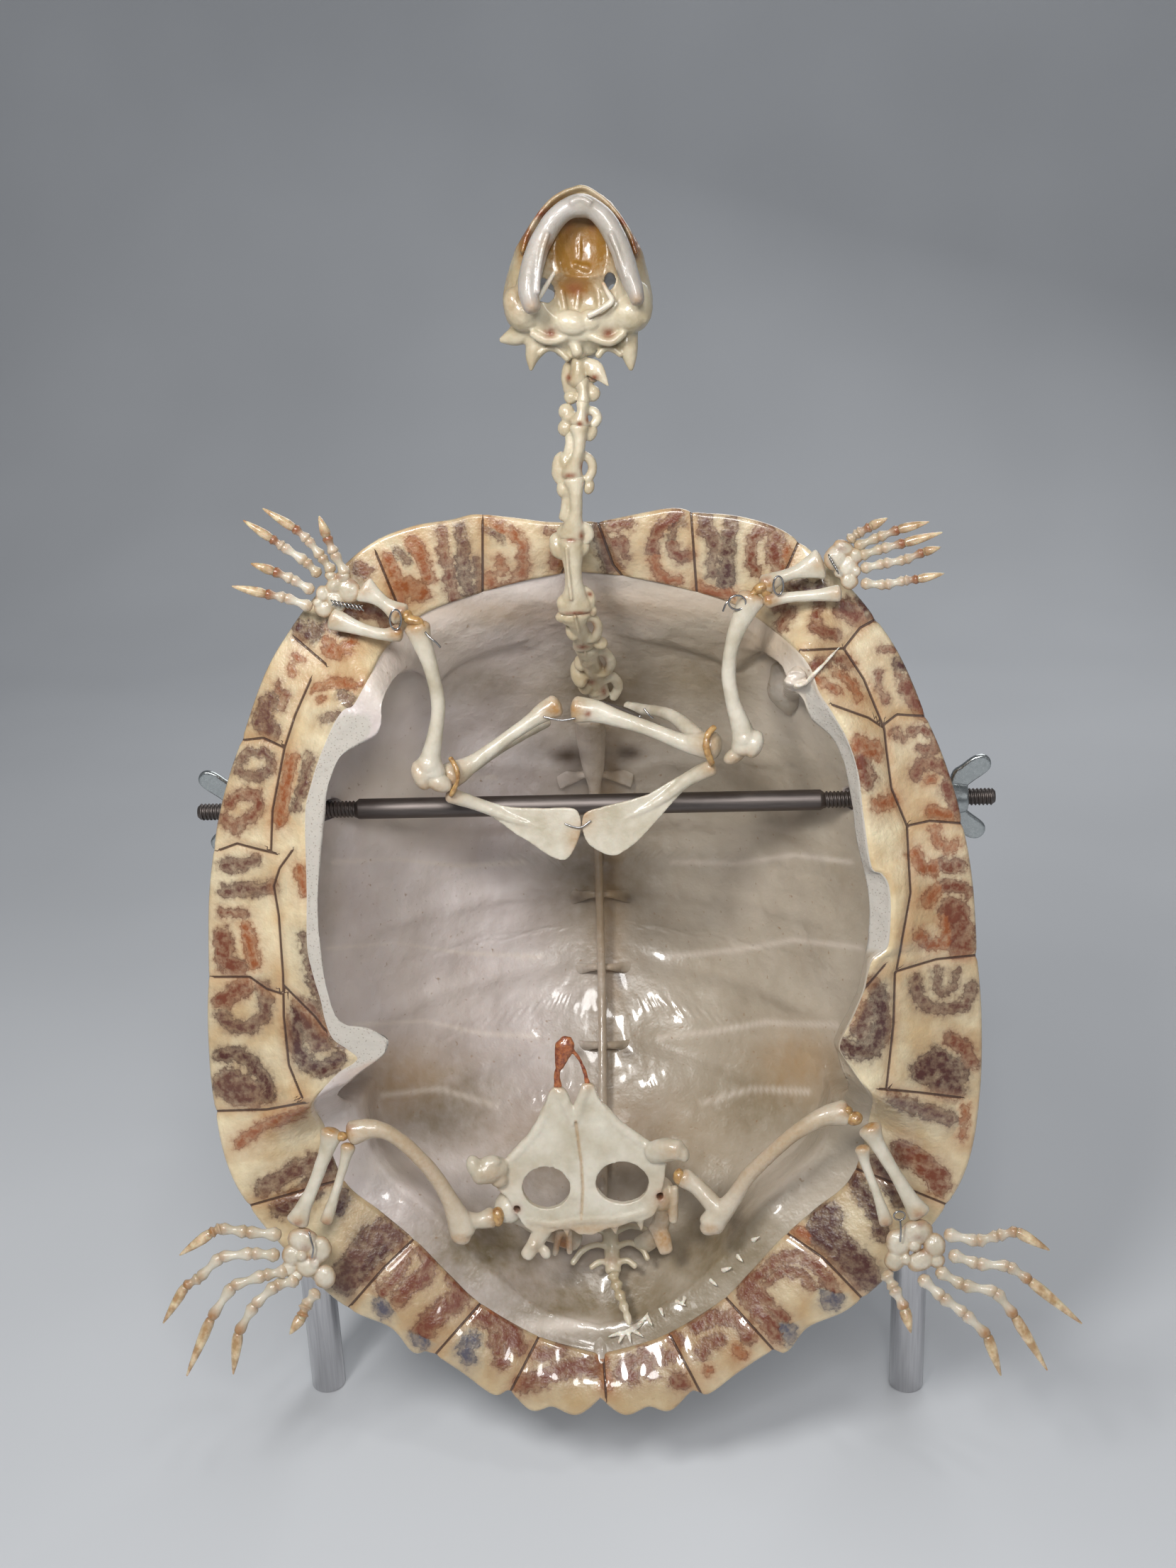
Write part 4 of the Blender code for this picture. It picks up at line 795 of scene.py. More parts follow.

# %% [markdown]
# ### The sawn bridges and the stains
#
# Where the lower shell was cut away, the saw left flat faces of spongy bone, between the bare edge and the
# lip along the bridges. The rest of the inside is painted: olive along the neck and the backbone, partly fat
# stain and partly painted shade under the front rim and towards the tail; tan at the head end; pale painted
# highlights along the ribs and the lips, and pale painted light where the bowl lies in shade; and dark painted
# shade in the hollows beside the first back vertebra and between the rib heads.

# %% Shell bone materials and paint
# Painted highlights along the rib ridges, in photograph pixels
RIB_HIGHLIGHT_LINES = [
    [(470, 1216), (560, 1212), (650, 1222), (740, 1216)],
    [(462, 1338), (560, 1330), (650, 1344), (760, 1350)],
    [(500, 1446), (600, 1440), (680, 1458), (760, 1462)], [(540, 1545), (620, 1536), (700, 1560)],
    [(500, 1084), (600, 1100), (700, 1096)], [(1200, 1216), (1120, 1206), (1040, 1218), (950, 1216)],
    [(1215, 1337), (1120, 1326), (1040, 1340), (940, 1350)],
    [(1180, 1446), (1080, 1442), (1000, 1456), (930, 1464)], [(1140, 1540), (1060, 1536), (990, 1556)],
]


def paint_shell(obj):
    where = pixels(coords(obj))
    # Olive: old fat soaked in along the backbone, and painted shade under the front rim and towards the tail
    set_paint(
        obj, "olive",
        spots(
            where,
            [
                (840, 980, 120, 80, 0.85), (850, 1230, 95, 200, 0.75), (1060, 1110, 170, 60, 0.4),
                (870, 1480, 90, 160, 0.6), (690, 965, 100, 34, 0.6), (980, 960, 120, 44, 0.6),
                (690, 870, 60, 24, 0.5), (830, 1800, 150, 50, 0.6), (950, 1760, 100, 60, 0.55),
                (460, 1250, 24, 120, 0.4), (1080, 1420, 120, 80, 0.3), (1190, 1230, 60, 160, 0.3),
                (620, 1560, 120, 90, 0.75), (1080, 1560, 130, 90, 0.7), (850, 1640, 260, 90, 0.6),
                (720, 1780, 130, 60, 0.5), (1010, 1700, 90, 60, 0.5), (850, 1850, 250, 90, 0.85),
                (690, 1760, 130, 80, 0.9), (1010, 1760, 130, 80, 0.85),
            ],
        ),
    )
    set_paint(
        obj, "tan",
        spots(
            where,
            [
                (700, 860, 150, 26, 0.5), (930, 850, 160, 24, 0.5), (600, 900, 60, 40, 0.5),
                (1080, 890, 60, 40, 0.5), (850, 1600, 150, 60, 0.3), (560, 1520, 60, 50, 0.6),
                (1130, 1500, 60, 50, 0.6), (860, 1230, 20, 240, 0.4),
            ],
        ),
    )
    # Pale: painted highlights along the rib ridges and the rounded lips, and painted light where the bowl lies
    # in shade
    ribs = np.zeros(len(where))
    for line in RIB_HIGHLIGHT_LINES:
        ribs = np.maximum(ribs, 0.5 * np.exp(-(stroke_distance(where, line) / 4.0) ** 2))
    set_paint(
        obj, "pale",
        np.maximum(
            ribs,
            spots(
                where,
                [
                    (560, 1340, 90, 130, 0.3), (565, 1120, 90, 70, 0.9), (760, 1010, 60, 50, 0.3),
                    (796, 1870, 62, 12, 0.9), (548, 1650, 50, 20, 0.6), (548, 1660, 40, 26, 0.4),
                    (620, 1400, 120, 60, 0.3), (600, 905, 90, 60, 0.75), (720, 835, 100, 24, 0.4),
                    (960, 840, 110, 24, 0.4), (540, 960, 40, 50, 0.8), (1118, 960, 40, 40, 0.8),
                    (1090, 880, 50, 40, 0.4), (1110, 1660, 50, 50, 0.3),
                ],
            ),
        ),
    )
    # Painted shade: the right half of the bowl lies in shade, so it takes the darker, warmer ramp
    set_paint(obj, "right", ease(700, 1000, where[:, 0]))
    # Dark: painted shade in the hollows beside the first back vertebra and between the rib heads
    set_paint(obj, "dark", spots(where, [
        (800, 1066, 26, 12, 1.0), (889, 1062, 22, 12, 1.0), (876, 1380, 9, 9, 1.0), (815, 1268, 10, 8, 0.6),
        (886, 1268, 10, 8, 0.6), (816, 1485, 10, 8, 0.6), (885, 1485, 10, 8, 0.6),
    ]))


def sawn_share(angles, places):
    """1 on the sawn faces, between the bare edge and the lip along each bridge, and 0 elsewhere."""
    half = np.degrees(fold(angles))
    end = np.where(np.cos(angles) < 0, -19.0, 5.5)
    across_face = (2 * places - BARE - LIP) / (LIP - BARE)
    # The sawn face ends in a round lobe at the top
    top = (52.6 - 3.4 * across_face ** 2)[None, :]
    round_it = ease(top + 0.5, top - 0.5, half[:, None]) * ease(end - 0.8, end, half)[:, None]
    across = ease(BARE - 0.12, BARE - 0.04, places) * ease(LIP + 0.03, LIP + 0.01, places)
    return round_it * across[None, :]


paint_shell(shell)
set_paint(shell, "sawn", sawn_share(angles, rows)[column, row])
piece(shell, "shell_bone", SHELL_BONE, "bone", "carapace")
print("shell bone painted")

# %% [markdown]
# ## The horny plates of the rim
#
# Twelve marginal plates on each side and a small one over the neck wrap the rim. A ring from the Add menu is
# laid over the bone, half a millimetre proud. Each seam is a stroke in the photograph: near it the ring dips
# to a dark groove, and faint growth rings follow it. Blotches are strokes too, each with a half-width and a
# tone from orange-brown to slate.

# %% Seams of the plates, outside to inside, in photograph pixels
SEAMS = [
    [(681, 735), (681, 850)], [(531, 781), (560, 851)], [(418, 901), (460, 937)],
    [(346, 1044), (372, 1041), (402, 1055)], [(311, 1199), (335, 1190), (369, 1199), (390, 1204)],
    [(303, 1378), (353, 1378), (377, 1395), (396, 1401)], [(308, 1567), (377, 1565), (430, 1555)],
    [(350, 1701), (481, 1664), (503, 1654)], [(496, 1840), (542, 1788), (588, 1744)],
    [(612, 1913), (682, 1834)], [(719, 1965), (760, 1886)], [(855, 1971), (851, 1908)],
    [(990, 1967), (947, 1886)], [(1095, 1908), (1022, 1828)], [(1218, 1833), (1161, 1774), (1108, 1738)],
    [(1338, 1700), (1260, 1668), (1189, 1642)], [(1354, 1548), (1296, 1541), (1241, 1536)],
    [(1380, 1347), (1321, 1353), (1264, 1370)], [(1364, 1162), (1311, 1158), (1279, 1165)],
    [(1312, 1011), (1265, 1008), (1247, 1022)], [(1244, 869), (1213, 886), (1190, 915)],
    [(1132, 752), (1111, 800)], [(975, 724), (984, 847)], [(844, 738), (865, 796), (884, 819)],
    [(803, 738), (798, 796), (786, 822)],
]
LONG_SEAMS = [
    [(439, 959), (417, 1009), (402, 1055), (391, 1112), (385, 1144), (383, 1200)],
    [(413, 1200), (395, 1225), (387, 1250), (394, 1292), (400, 1376), (401, 1434), (408, 1502), (426, 1546)],
    [(401, 1390), (445, 1434), (459, 1453)],
    [
        (1190, 915), (1218, 958), (1247, 1028), (1250, 1058), (1257, 1112), (1279, 1165), (1284, 1260),
        (1264, 1370),
    ],
    [(1132, 918), (1189, 915)], [(1175, 995), (1225, 1013), (1245, 1026)],
    [(1262, 1371), (1260, 1444), (1250, 1536)], [(1248, 1361), (1219, 1395), (1199, 1439)],
]
print("seams:", len(SEAMS) + len(LONG_SEAMS))

# %% [markdown]
# ### Blotches
#
# A blotch is written as its half-width, its tone and its line. Tones run from 0, orange-brown, over red-brown
# and maroon to grey-brown and, at 1, slate. The viewer's left comes first, from the neck down.

# %% Blotches of the plates
ORANGE, RED, MAROON, GREY, SLATE = 0.0, 0.25, 0.5, 0.75, 1.0
BLOTCHES = [
    (
        8, ORANGE,
        [(695, 740), (726, 755), (738, 770), (738, 801), (729, 822), (714, 832), (698, 829), (689, 816)],
    ),
    (7, ORANGE, [(705, 790), (708, 805)]), (6, GREY, [(690, 748), (706, 758)]),
    (8, GREY, [(650, 746), (653, 780), (656, 816), (664, 838)]), (4, GREY, [(673, 790), (676, 838)]),
    (8, RED, [(622, 749), (631, 792), (637, 832), (641, 856)]),
    (10, ORANGE, [(548, 790), (556, 815), (566, 848)]),
    (10, ORANGE, [(583, 768), (592, 778), (602, 804), (604, 816)]), (14, ORANGE, [(572, 826), (594, 836)]),
    (5, GREY, [(560, 778), (575, 792)]), (6, RED, [(772, 749), (784, 755)]),
    (8, ORANGE, [(782, 792), (786, 798)]), (10, MAROON, [(843, 748), (852, 770), (859, 802)]),
    (10, RED, [(510, 803), (516, 806)]), (9, RED, [(487, 866), (512, 860), (536, 866), (547, 884)]),
    (12, MAROON, [(424, 886), (434, 897), (444, 891)]), (8, RED, [(466, 884), (492, 891)]),
    (9, ORANGE, [(499, 895), (494, 909), (478, 920), (462, 918)]), (8, ORANGE, [(462, 904), (468, 908)]),
    (6, ORANGE, [(417, 925), (424, 931)]), (6, ORANGE, [(411, 945), (413, 949)]),
    (5, RED, [(392, 965), (393, 975)]), (7, RED, [(402, 981), (397, 996)]),
    (13, GREY, [(380, 990), (368, 1018), (381, 1032)]),
    (5, ORANGE, [(444, 973), (456, 966), (468, 960), (478, 963), (491, 966), (507, 967)]),
    (7, ORANGE, [(468, 962), (500, 967)]), (4, ORANGE, [(450, 984), (454, 986)]),
    (8, GREY, [(484, 982), (491, 990)]), (5, GREY, [(456, 1014), (478, 1006)]),
    (
        7, GREY,
        [
            (337, 1075), (351, 1061), (373, 1061), (384, 1071), (380, 1086), (366, 1095), (348, 1096),
            (337, 1086),
        ],
    ),
    (8, RED, [(324, 1134), (341, 1118), (360, 1121), (366, 1136), (355, 1154), (341, 1160)]),
    (9, RED, [(317, 1156), (332, 1169)]), (9, ORANGE, [(412, 1071), (405, 1100), (398, 1136), (394, 1158)]),
    (7, GREY, [(437, 1068), (430, 1107), (416, 1138)]), (9, GREY, [(316, 1221), (337, 1221), (359, 1214)]),
    (9, GREY, [(317, 1257), (341, 1256), (366, 1254), (382, 1250)]), (6, RED, [(312, 1287), (346, 1289)]),
    (13, RED, [(314, 1321), (318, 1357), (336, 1366)]), (9, ORANGE, [(347, 1308), (355, 1340), (359, 1360)]),
    (8, ORANGE, [(423, 1228), (430, 1257)]), (13, RED, [(314, 1412), (330, 1400), (344, 1392)]),
    (9, GREY, [(368, 1392), (376, 1411), (373, 1436), (351, 1450), (326, 1447), (312, 1432)]),
    (10, MAROON, [(312, 1489), (336, 1487), (354, 1499), (370, 1518), (380, 1545)]),
    (22, GREY, [(322, 1528), (352, 1543)]), (5, MAROON, [(426, 1318), (437, 1357)]),
    (9, MAROON, [(438, 1362), (448, 1396), (462, 1424)]),
    (11, MAROON, [(421, 1420), (414, 1450), (421, 1487), (438, 1505), (459, 1509), (478, 1494)]),
    (17, GREY, [(436, 1428), (450, 1468)]), (9, MAROON, [(466, 1440), (480, 1472)]),
    (8, ORANGE, [(338, 1611), (377, 1586), (425, 1568)]), (12, GREY, [(372, 1676), (406, 1657), (440, 1638)]),
    (15, MAROON, [(396, 1703), (440, 1676), (464, 1647)]), (9, MAROON, [(484, 1684), (477, 1708)]),
    (21, GREY, [(487, 1806), (503, 1779), (522, 1752), (543, 1738), (556, 1748)]),
    (19, MAROON, [(514, 1794), (532, 1762)]), (9, RED, [(573, 1768), (561, 1797), (541, 1822)]),
    (12, SLATE, [(536, 1842), (541, 1848)]),
    (12, RED, [(600, 1765), (608, 1779), (600, 1799), (573, 1819), (562, 1834)]),
    (16, RED, [(645, 1798), (655, 1813), (650, 1829), (628, 1845), (607, 1864), (597, 1878)]),
    (11, SLATE, [(590, 1886), (596, 1892)]), (15, RED, [(678, 1856), (701, 1863), (718, 1875), (728, 1898)]),
    (11, SLATE, [(667, 1889), (657, 1904), (662, 1915)]), (10, RED, [(700, 1890), (707, 1922)]),
    (9, ORANGE, [(690, 1848), (724, 1862)]), (9, RED, [(757, 1911), (777, 1911), (795, 1902)]),
    (13, RED, [(738, 1954), (763, 1945), (788, 1934), (816, 1928), (846, 1929)]),
    (8, ORANGE, [(847, 1919), (856, 1953)]), (7, RED, [(864, 743), (888, 739)]),
    (6, RED, [(879, 761), (882, 786)]), (6, RED, [(866, 766), (872, 800)]),
    (9, RED, [(955, 730), (935, 739), (924, 757), (921, 776)]),
    (8, ORANGE, [(922, 788), (928, 810), (942, 821), (956, 818)]),
    (6, GREY, [(962, 735), (950, 742), (947, 758)]),
    (8, RED, [(949, 768), (953, 779), (961, 787), (972, 781)]),
    (11, GREY, [(995, 733), (995, 747), (1004, 755), (1010, 768)]), (6, GREY, [(1008, 772), (1004, 812)]),
    (10, GREY, [(1032, 736), (1029, 754)]), (10, MAROON, [(1027, 766), (1025, 799), (1023, 824)]),
    (9, ORANGE, [(986, 832), (1007, 840), (1029, 836)]),
    (8, RED, [(1085, 747), (1072, 747), (1062, 760), (1059, 778), (1059, 797), (1067, 805)]),
    (12, RED, [(1096, 759), (1091, 774), (1094, 792), (1102, 804)]), (7, ORANGE, [(1110, 776), (1108, 790)]),
    (9, RED, [(1097, 857), (1113, 862), (1102, 882)]), (10, MAROON, [(1116, 828), (1158, 831)]),
    (8, RED, [(1156, 849), (1151, 867), (1151, 883), (1161, 893), (1179, 896)]),
    (17, RED, [(1195, 860), (1208, 867)]), (16, MAROON, [(1222, 853), (1232, 862)]),
    (5, RED, [(1243, 916), (1263, 914)]), (8, MAROON, [(1268, 936), (1281, 943)]),
    (4, RED, [(1268, 953), (1281, 953)]), (5, RED, [(1240, 950), (1237, 961), (1244, 977), (1250, 988)]),
    (12, RED, [(1278, 970), (1288, 981), (1299, 998), (1303, 1006)]), (6, RED, [(1261, 1032), (1275, 1043)]),
    (6, RED, [(1285, 1032), (1302, 1029), (1316, 1039), (1323, 1053), (1316, 1061), (1299, 1057)]),
    (9, RED, [(1292, 1092), (1295, 1081), (1309, 1077), (1326, 1080), (1338, 1091)]),
    (5, ORANGE, [(1308, 1102), (1317, 1098)]), (11, RED, [(1336, 1112), (1350, 1132), (1357, 1152)]),
    (8, ORANGE, [(1314, 1145), (1338, 1152)]),
    (7, ORANGE, [(1319, 1170), (1323, 1187), (1337, 1197), (1348, 1193)]),
    (10, ORANGE, [(1292, 1205), (1302, 1225), (1319, 1225)]), (11, RED, [(1332, 1222), (1354, 1222)]),
    (9, ORANGE, [(1307, 1272), (1323, 1254)]), (9, RED, [(1333, 1250), (1345, 1249), (1364, 1257)]),
    (19, RED, [(1345, 1284), (1355, 1308), (1354, 1334)]),
    (10, ORANGE, [(1335, 1296), (1338, 1330), (1310, 1332), (1299, 1321)]),
    (14, ORANGE, [(1214, 1053), (1232, 1059)]), (13, RED, [(1214, 1072), (1223, 1101)]),
    (11, ORANGE, [(1240, 1136), (1257, 1129)]), (8, RED, [(1147, 940), (1167, 933)]),
    (8, RED, [(1178, 929), (1196, 936)]), (6, ORANGE, [(1150, 959), (1168, 967), (1182, 974)]),
    (6, ORANGE, [(1178, 950), (1199, 963), (1212, 983)]),
    (8, GREY, [(1292, 1384), (1296, 1409), (1313, 1421), (1337, 1425), (1362, 1417), (1370, 1393)]),
    (6, GREY, [(1321, 1370), (1323, 1393), (1333, 1401), (1345, 1393), (1349, 1370)]),
    (10, RED, [(1341, 1466), (1362, 1478), (1370, 1499)]),
    (18, MAROON, [(1302, 1511), (1324, 1496), (1349, 1515), (1330, 1531), (1345, 1534)]),
    (13, MAROON, [(1235, 1391), (1243, 1425), (1243, 1458), (1231, 1480), (1207, 1482), (1192, 1477)]),
    (12, GREY, [(1224, 1420), (1212, 1456)]),
    (10, GREY, [(1260, 1549), (1292, 1564), (1325, 1572), (1341, 1580)]),
    (5, ORANGE, [(1362, 1564), (1358, 1605)]),
    (17, RED, [(1272, 1626), (1296, 1638), (1322, 1658), (1324, 1672)]),
    (11, MAROON, [(1235, 1638), (1256, 1674), (1268, 1691)]),
    (11, MAROON, [(1198, 1646), (1219, 1687), (1239, 1719), (1243, 1740)]),
    (23, MAROON, [(1166, 1719), (1159, 1740), (1182, 1760), (1207, 1784), (1221, 1799)]),
    (10, ORANGE, [(1128, 1738), (1142, 1746)]),
    (
        9, RED,
        [(1064, 1809), (1076, 1793), (1100, 1776), (1125, 1772), (1149, 1784), (1166, 1805), (1178, 1820)],
    ),
    (13, SLATE, [(1171, 1831), (1178, 1835)]),
    (7, RED, [(1084, 1809), (1104, 1793), (1133, 1797), (1142, 1814)]),
    (13, RED, [(1051, 1801), (1056, 1829), (1076, 1858), (1098, 1884)]),
    (13, SLATE, [(1106, 1876), (1112, 1882)]), (8, RED, [(1072, 1821), (1088, 1846), (1108, 1862)]),
    (11, RED, [(982, 1870), (1002, 1858), (1031, 1858), (1051, 1870), (1056, 1886)]),
    (9, RED, [(990, 1911), (998, 1896), (1015, 1890)]), (9, ORANGE, [(1041, 1905), (1045, 1909)]),
    (9, RED, [(951, 1889), (957, 1893)]), (6, ORANGE, [(996, 1930), (1000, 1934)]),
    (7, RED, [(880, 1922), (904, 1918), (921, 1923), (953, 1911)]), (6, RED, [(904, 1906), (940, 1909)]),
    (12, RED, [(955, 1946), (960, 1950)]), (8, RED, [(914, 1934), (920, 1938)]),
    (11, RED, [(876, 1934), (892, 1942)]),
]
print("blotches:", len(BLOTCHES))

# %% [markdown]
# ### Laying the plates over the bone
#
# The ring's net runs from the bare edge over the front, round the sharp rim and onto the back, and returns
# just under the bone's surface, so the plates are a closed skin. On the back, which the photograph doesn't
# show, each seam goes straight on from the rim.

# %% Rim plates
PLATE_AROUND = 980
PLATE_HEIGHT, PLATE_UNDER = 0.5, 0.25       # millimetres over and under the bone's surface
BACK_REACH = 7.6                             # place along the section where the rim plates end on the back
PIXELS_PER_MM, RIM_RADIUS = 4.8, 116


def paint_blotches(obj, where, marks):
    """Signed pixels to the nearest blotch, positive inside it, that blotch's tone, and painted shade towards
    the rear.
    """
    inside, tone = np.full(len(where), -60.0), np.zeros(len(where))
    for half_width, colour, line in marks:
        value = half_width - stroke_distance(where, line)
        tone = np.where(value > inside, colour, tone)
        inside = np.maximum(inside, value)
    set_paint(obj, "blotch", inside)
    # Painted shade: the plates darken towards the rear and down the right side
    set_paint(obj, "plate_shade", spots(where, [(840, 1950, 460, 330, 0.5), (1330, 1500, 90, 300, 0.2)]))
    set_paint(obj, "tone", tone)


def seam_angle(seam):
    """Angle round the shell of the outer end of a seam."""
    x, up = shell_place(*seam[0], 0.0)
    return math.atan2(up, x)


places = np.concatenate([
    np.linspace(BARE - 0.02, BARE - 0.1, 3), np.linspace(BARE - 0.16, 11.02, 50), np.linspace(10.9, 9.9, 7),
    np.linspace(9.7, BACK_REACH, 16),
])
under = np.concatenate([np.linspace(BACK_REACH, 10.0, 6), np.linspace(10.3, BARE - 0.02, 16)])
plates, column, row = net_ring(PLATE_AROUND, len(places) + len(under))
angles = 2 * math.pi * np.arange(PLATE_AROUND) / PLATE_AROUND
grid, local = shell_surface(angles, np.concatenate([places, under]))
facing = normals(grid)
outward = facing[0, 20] @ np.array(SHELL_BACK)
facing = facing if outward < 0 else -facing
facing[:, len(places):] *= -1               # the net runs backwards under the plates
where = pixels(grid.reshape(-1, 3))
seam_side = nearest_of([stroke_side(where, seam) for seam in SEAMS + LONG_SEAMS])
seam_side = seam_side.reshape(grid.shape[:2]) / PIXELS_PER_MM
round_side = nearest_of([
    ((angles - seam_angle(seam) + math.pi) % (2 * math.pi) - math.pi) * RIM_RADIUS for seam in SEAMS
])
along = np.concatenate([places, under])
on_back = (along < FULL_RIM + 0.4)[None, :]
seam_side = np.where(on_back, round_side[:, None], seam_side)
seam_gap = np.abs(seam_side)
height = PLATE_HEIGHT * (1 - 0.8 * np.exp(-(seam_gap / 0.8) ** 2)) + 0.35 * (1 - np.exp(-seam_gap / 5))
# Growth rings 1.7 mm apart
height += 0.045 * np.sin(seam_gap * 2 * math.pi / 1.7) * np.exp(-seam_gap / 9)
border = np.minimum(ease(BARE - 0.02, BARE - 0.12, along), ease(BACK_REACH, BACK_REACH + 0.2, along))[None, :]
height = height * border - PLATE_UNDER * (1 - border)
height[:, len(places):] = -PLATE_UNDER
grid = grid + facing * (height * MM)[..., None]
set_coords(plates, grid[column, row])
set_paint(plates, "seam", np.minimum(seam_gap, 3)[column, row])
set_paint(plates, "seam_side", np.clip(seam_side, -3, 3)[column, row])
paint_blotches(plates, pixels(coords(plates)), BLOTCHES)
face_out(plates)
piece(plates, "rim_plates", RIM_HORN, "shell")
print("rim plates: %d vertices" % len(plates.data.vertices))

# %% [markdown]
# ### The plates of the back
#
# Five plates lie along the middle of the back and four on each side of them. The photograph shows none of
# them, so they follow the usual pattern of a slider: dark olive horn with a few dull yellow streaks.

# %% Back plates
BACK_SEAMS = [
    [(-22, 104), (22, 104)], [(-31, 66), (31, 66)], [(-33, 22), (33, 22)], [(-32, -24), (32, -24)],
    [(-26, -66), (26, -66)],
]
SIDE_SEAMS = [
    [
        (22, 104), (36, 92), (31, 66), (38, 44), (33, 22), (38, -1), (32, -24), (36, -45), (26, -66),
        (34, -92), (20, -112),
    ],
    [(38, 44), (72, 62), (96, 70)], [(38, -1), (104, -2)], [(36, -45), (74, -56), (92, -72)],
    [(34, -92), (52, -108)], [(36, 92), (60, 104)],
]
STREAKS = [      # half-width and line of each dull yellow streak, in millimetres
    (3, [(58, 12), (92, 22)]), (3, [(60, 34), (90, 44)]), (3, [(56, -22), (94, -26)]),
    (3, [(56, -34), (86, -44)]), (3, [(54, 68), (80, 78)]), (3, [(52, -68), (70, -78)]),
    (2, [(12, 90), (14, 72)]), (2, [(12, 52), (14, 30)]), (2, [(12, 10), (14, -14)]),
]
BACK_AROUND, STREAK_TONE = 420, 0.6


def mirror_line(line):
    return [(-x, up) for x, up in line]


places = np.linspace(0, BACK_REACH + 0.25, 92)
under = np.linspace(BACK_REACH + 0.2, 0, 9)
back, column, row = net_sphere(BACK_AROUND, len(places) + len(under) - 1)
angles = 2 * math.pi * np.arange(BACK_AROUND) / BACK_AROUND
grid, local = shell_surface(angles, np.concatenate([places, under]))
facing = normals(grid)
facing = facing if facing[0, 40] @ np.array(SHELL_BACK) > 0 else -facing
facing[:, len(places):] *= -1
facing[:, 0] = facing[:, -1] = np.array(SHELL_BACK)
flat = local[..., :2].reshape(-1, 2)
lines = BACK_SEAMS + SIDE_SEAMS + [mirror_line(line) for line in SIDE_SEAMS]
side = nearest_of([stroke_side(flat, line) for line in lines]).reshape(grid.shape[:2])
gap = np.abs(side)
keel = 1.6 * np.exp(-(local[..., 0] / 6) ** 2) * ease(-95, -40, local[..., 1])
height = PLATE_HEIGHT * (1 - 0.9 * np.exp(-(gap / 0.9) ** 2)) + 0.6 * (1 - np.exp(-gap / 8)) + keel
height += 0.07 * np.sin(gap * 2 * math.pi / 2.6) * np.exp(-gap / 14)
along = np.concatenate([places, under])
height = height * ease(BACK_REACH + 0.25, BACK_REACH + 0.05, along)[None, :]
height[:, len(places):] = -PLATE_UNDER
grid = grid + facing * (height * MM)[..., None]
set_coords(back, grid[column, row])
set_paint(back, "seam", np.minimum(gap, 3)[column, row])
set_paint(back, "seam_side", np.clip(side, -3, 3)[column, row])
paint_blotches(back, local[column, row, :2] * PIXELS_PER_MM, [
    (half_width * PIXELS_PER_MM, STREAK_TONE, [(x * PIXELS_PER_MM, up * PIXELS_PER_MM) for x, up in line])
    for half_width, streak in STREAKS for line in (streak, mirror_line(streak))
])
face_out(back)
piece(back, "back_plates", BACK_HORN, "shell")
print("back plates: %d vertices" % len(back.data.vertices))

# %% [markdown]
# ## Shaping bones
#
# A limb bone is a sphere drawn out along a curve: stations give its place in the photograph, its depth, and
# its half-width and half-depth in millimetres. Lumps are stretched spheres. Where several forms grow together
# they are joined, and a fine voxel remesh melts them into one skin, which is then smoothed and slightly
# roughened, because no bone is perfectly round.

# %% Shafts, lumps and plates of bone
def draw_out(centres, sizes, segments, rings, blunt=0.8, cap_rows=5):
    """A round bar along centres with half-widths and half-depths, closed by rounded ends."""
    obj, column, row = net_sphere(segments, rings)
    fine = curve(np.hstack([centres, sizes]), 241)
    steps = np.linalg.norm(np.diff(fine[:, :3], axis=0), axis=1)
    run = np.concatenate([[0], np.cumsum(steps)])
    first, last = sizes[0].min() * blunt, sizes[-1].min() * blunt
    swing = np.pi / 2 * np.arange(cap_rows) / cap_rows
    place = np.concatenate([-first * np.cos(swing), np.linspace(0, run[-1], rings + 1 - 2 * cap_rows),
                            run[-1] + last * np.cos(swing[::-1])])
    shrink = np.concatenate([np.sin(swing), np.ones(rings + 1 - 2 * cap_rows), np.sin(swing[::-1])])
    at = np.stack([np.interp(place, run, fine[:, k]) for k in range(5)], axis=1)
    tangent = np.gradient(fine[:, :3], axis=0)
    tangent /= np.linalg.norm(tangent, axis=1, keepdims=True)
    along = np.stack([np.interp(place, run, tangent[:, k]) for k in range(3)], axis=1)
    along /= np.linalg.norm(along, axis=1, keepdims=True)
    at[:, :3] += along * (np.minimum(place, 0) + np.maximum(place - run[-1], 0))[:, None]
    view = np.array(SHELL_BACK if abs(along[len(along) // 2] @ np.array(SHELL_BACK)) < 0.9 else SHELL_UP)
    across = np.cross(along, view)
    across /= np.linalg.norm(across, axis=1, keepdims=True)
    through = np.cross(across, along)
    turn = 2 * np.pi * column / segments
    points = (at[row, :3] + across[row] * (at[row, 3] * shrink[row] * np.cos(turn))[:, None]
              + through[row] * (at[row, 4] * shrink[row] * np.sin(turn))[:, None])
    set_coords(obj, points)
    return obj


def shaft(stations, segments=20, rings=34, blunt=0.7):
    """A bone through stations (u, v, back, half-width, half-depth): pixels, then millimetres."""
    centres = np.array([seen(u, v, back) for u, v, back, _, _ in stations])
    return draw_out(centres, np.array([s[3:5] for s in stations], float) * MM, segments, rings, blunt)


def ridge(points, back, half_width, half_depth=None, segments=10, rings=22):
    """A low ridge along pixels, all at one depth or at its own depth for each point."""
    deep = half_depth or half_width
    return shaft(
        [(p[0], p[1], p[2] if len(p) > 2 else back, half_width, deep) for p in points], segments, rings,
    )


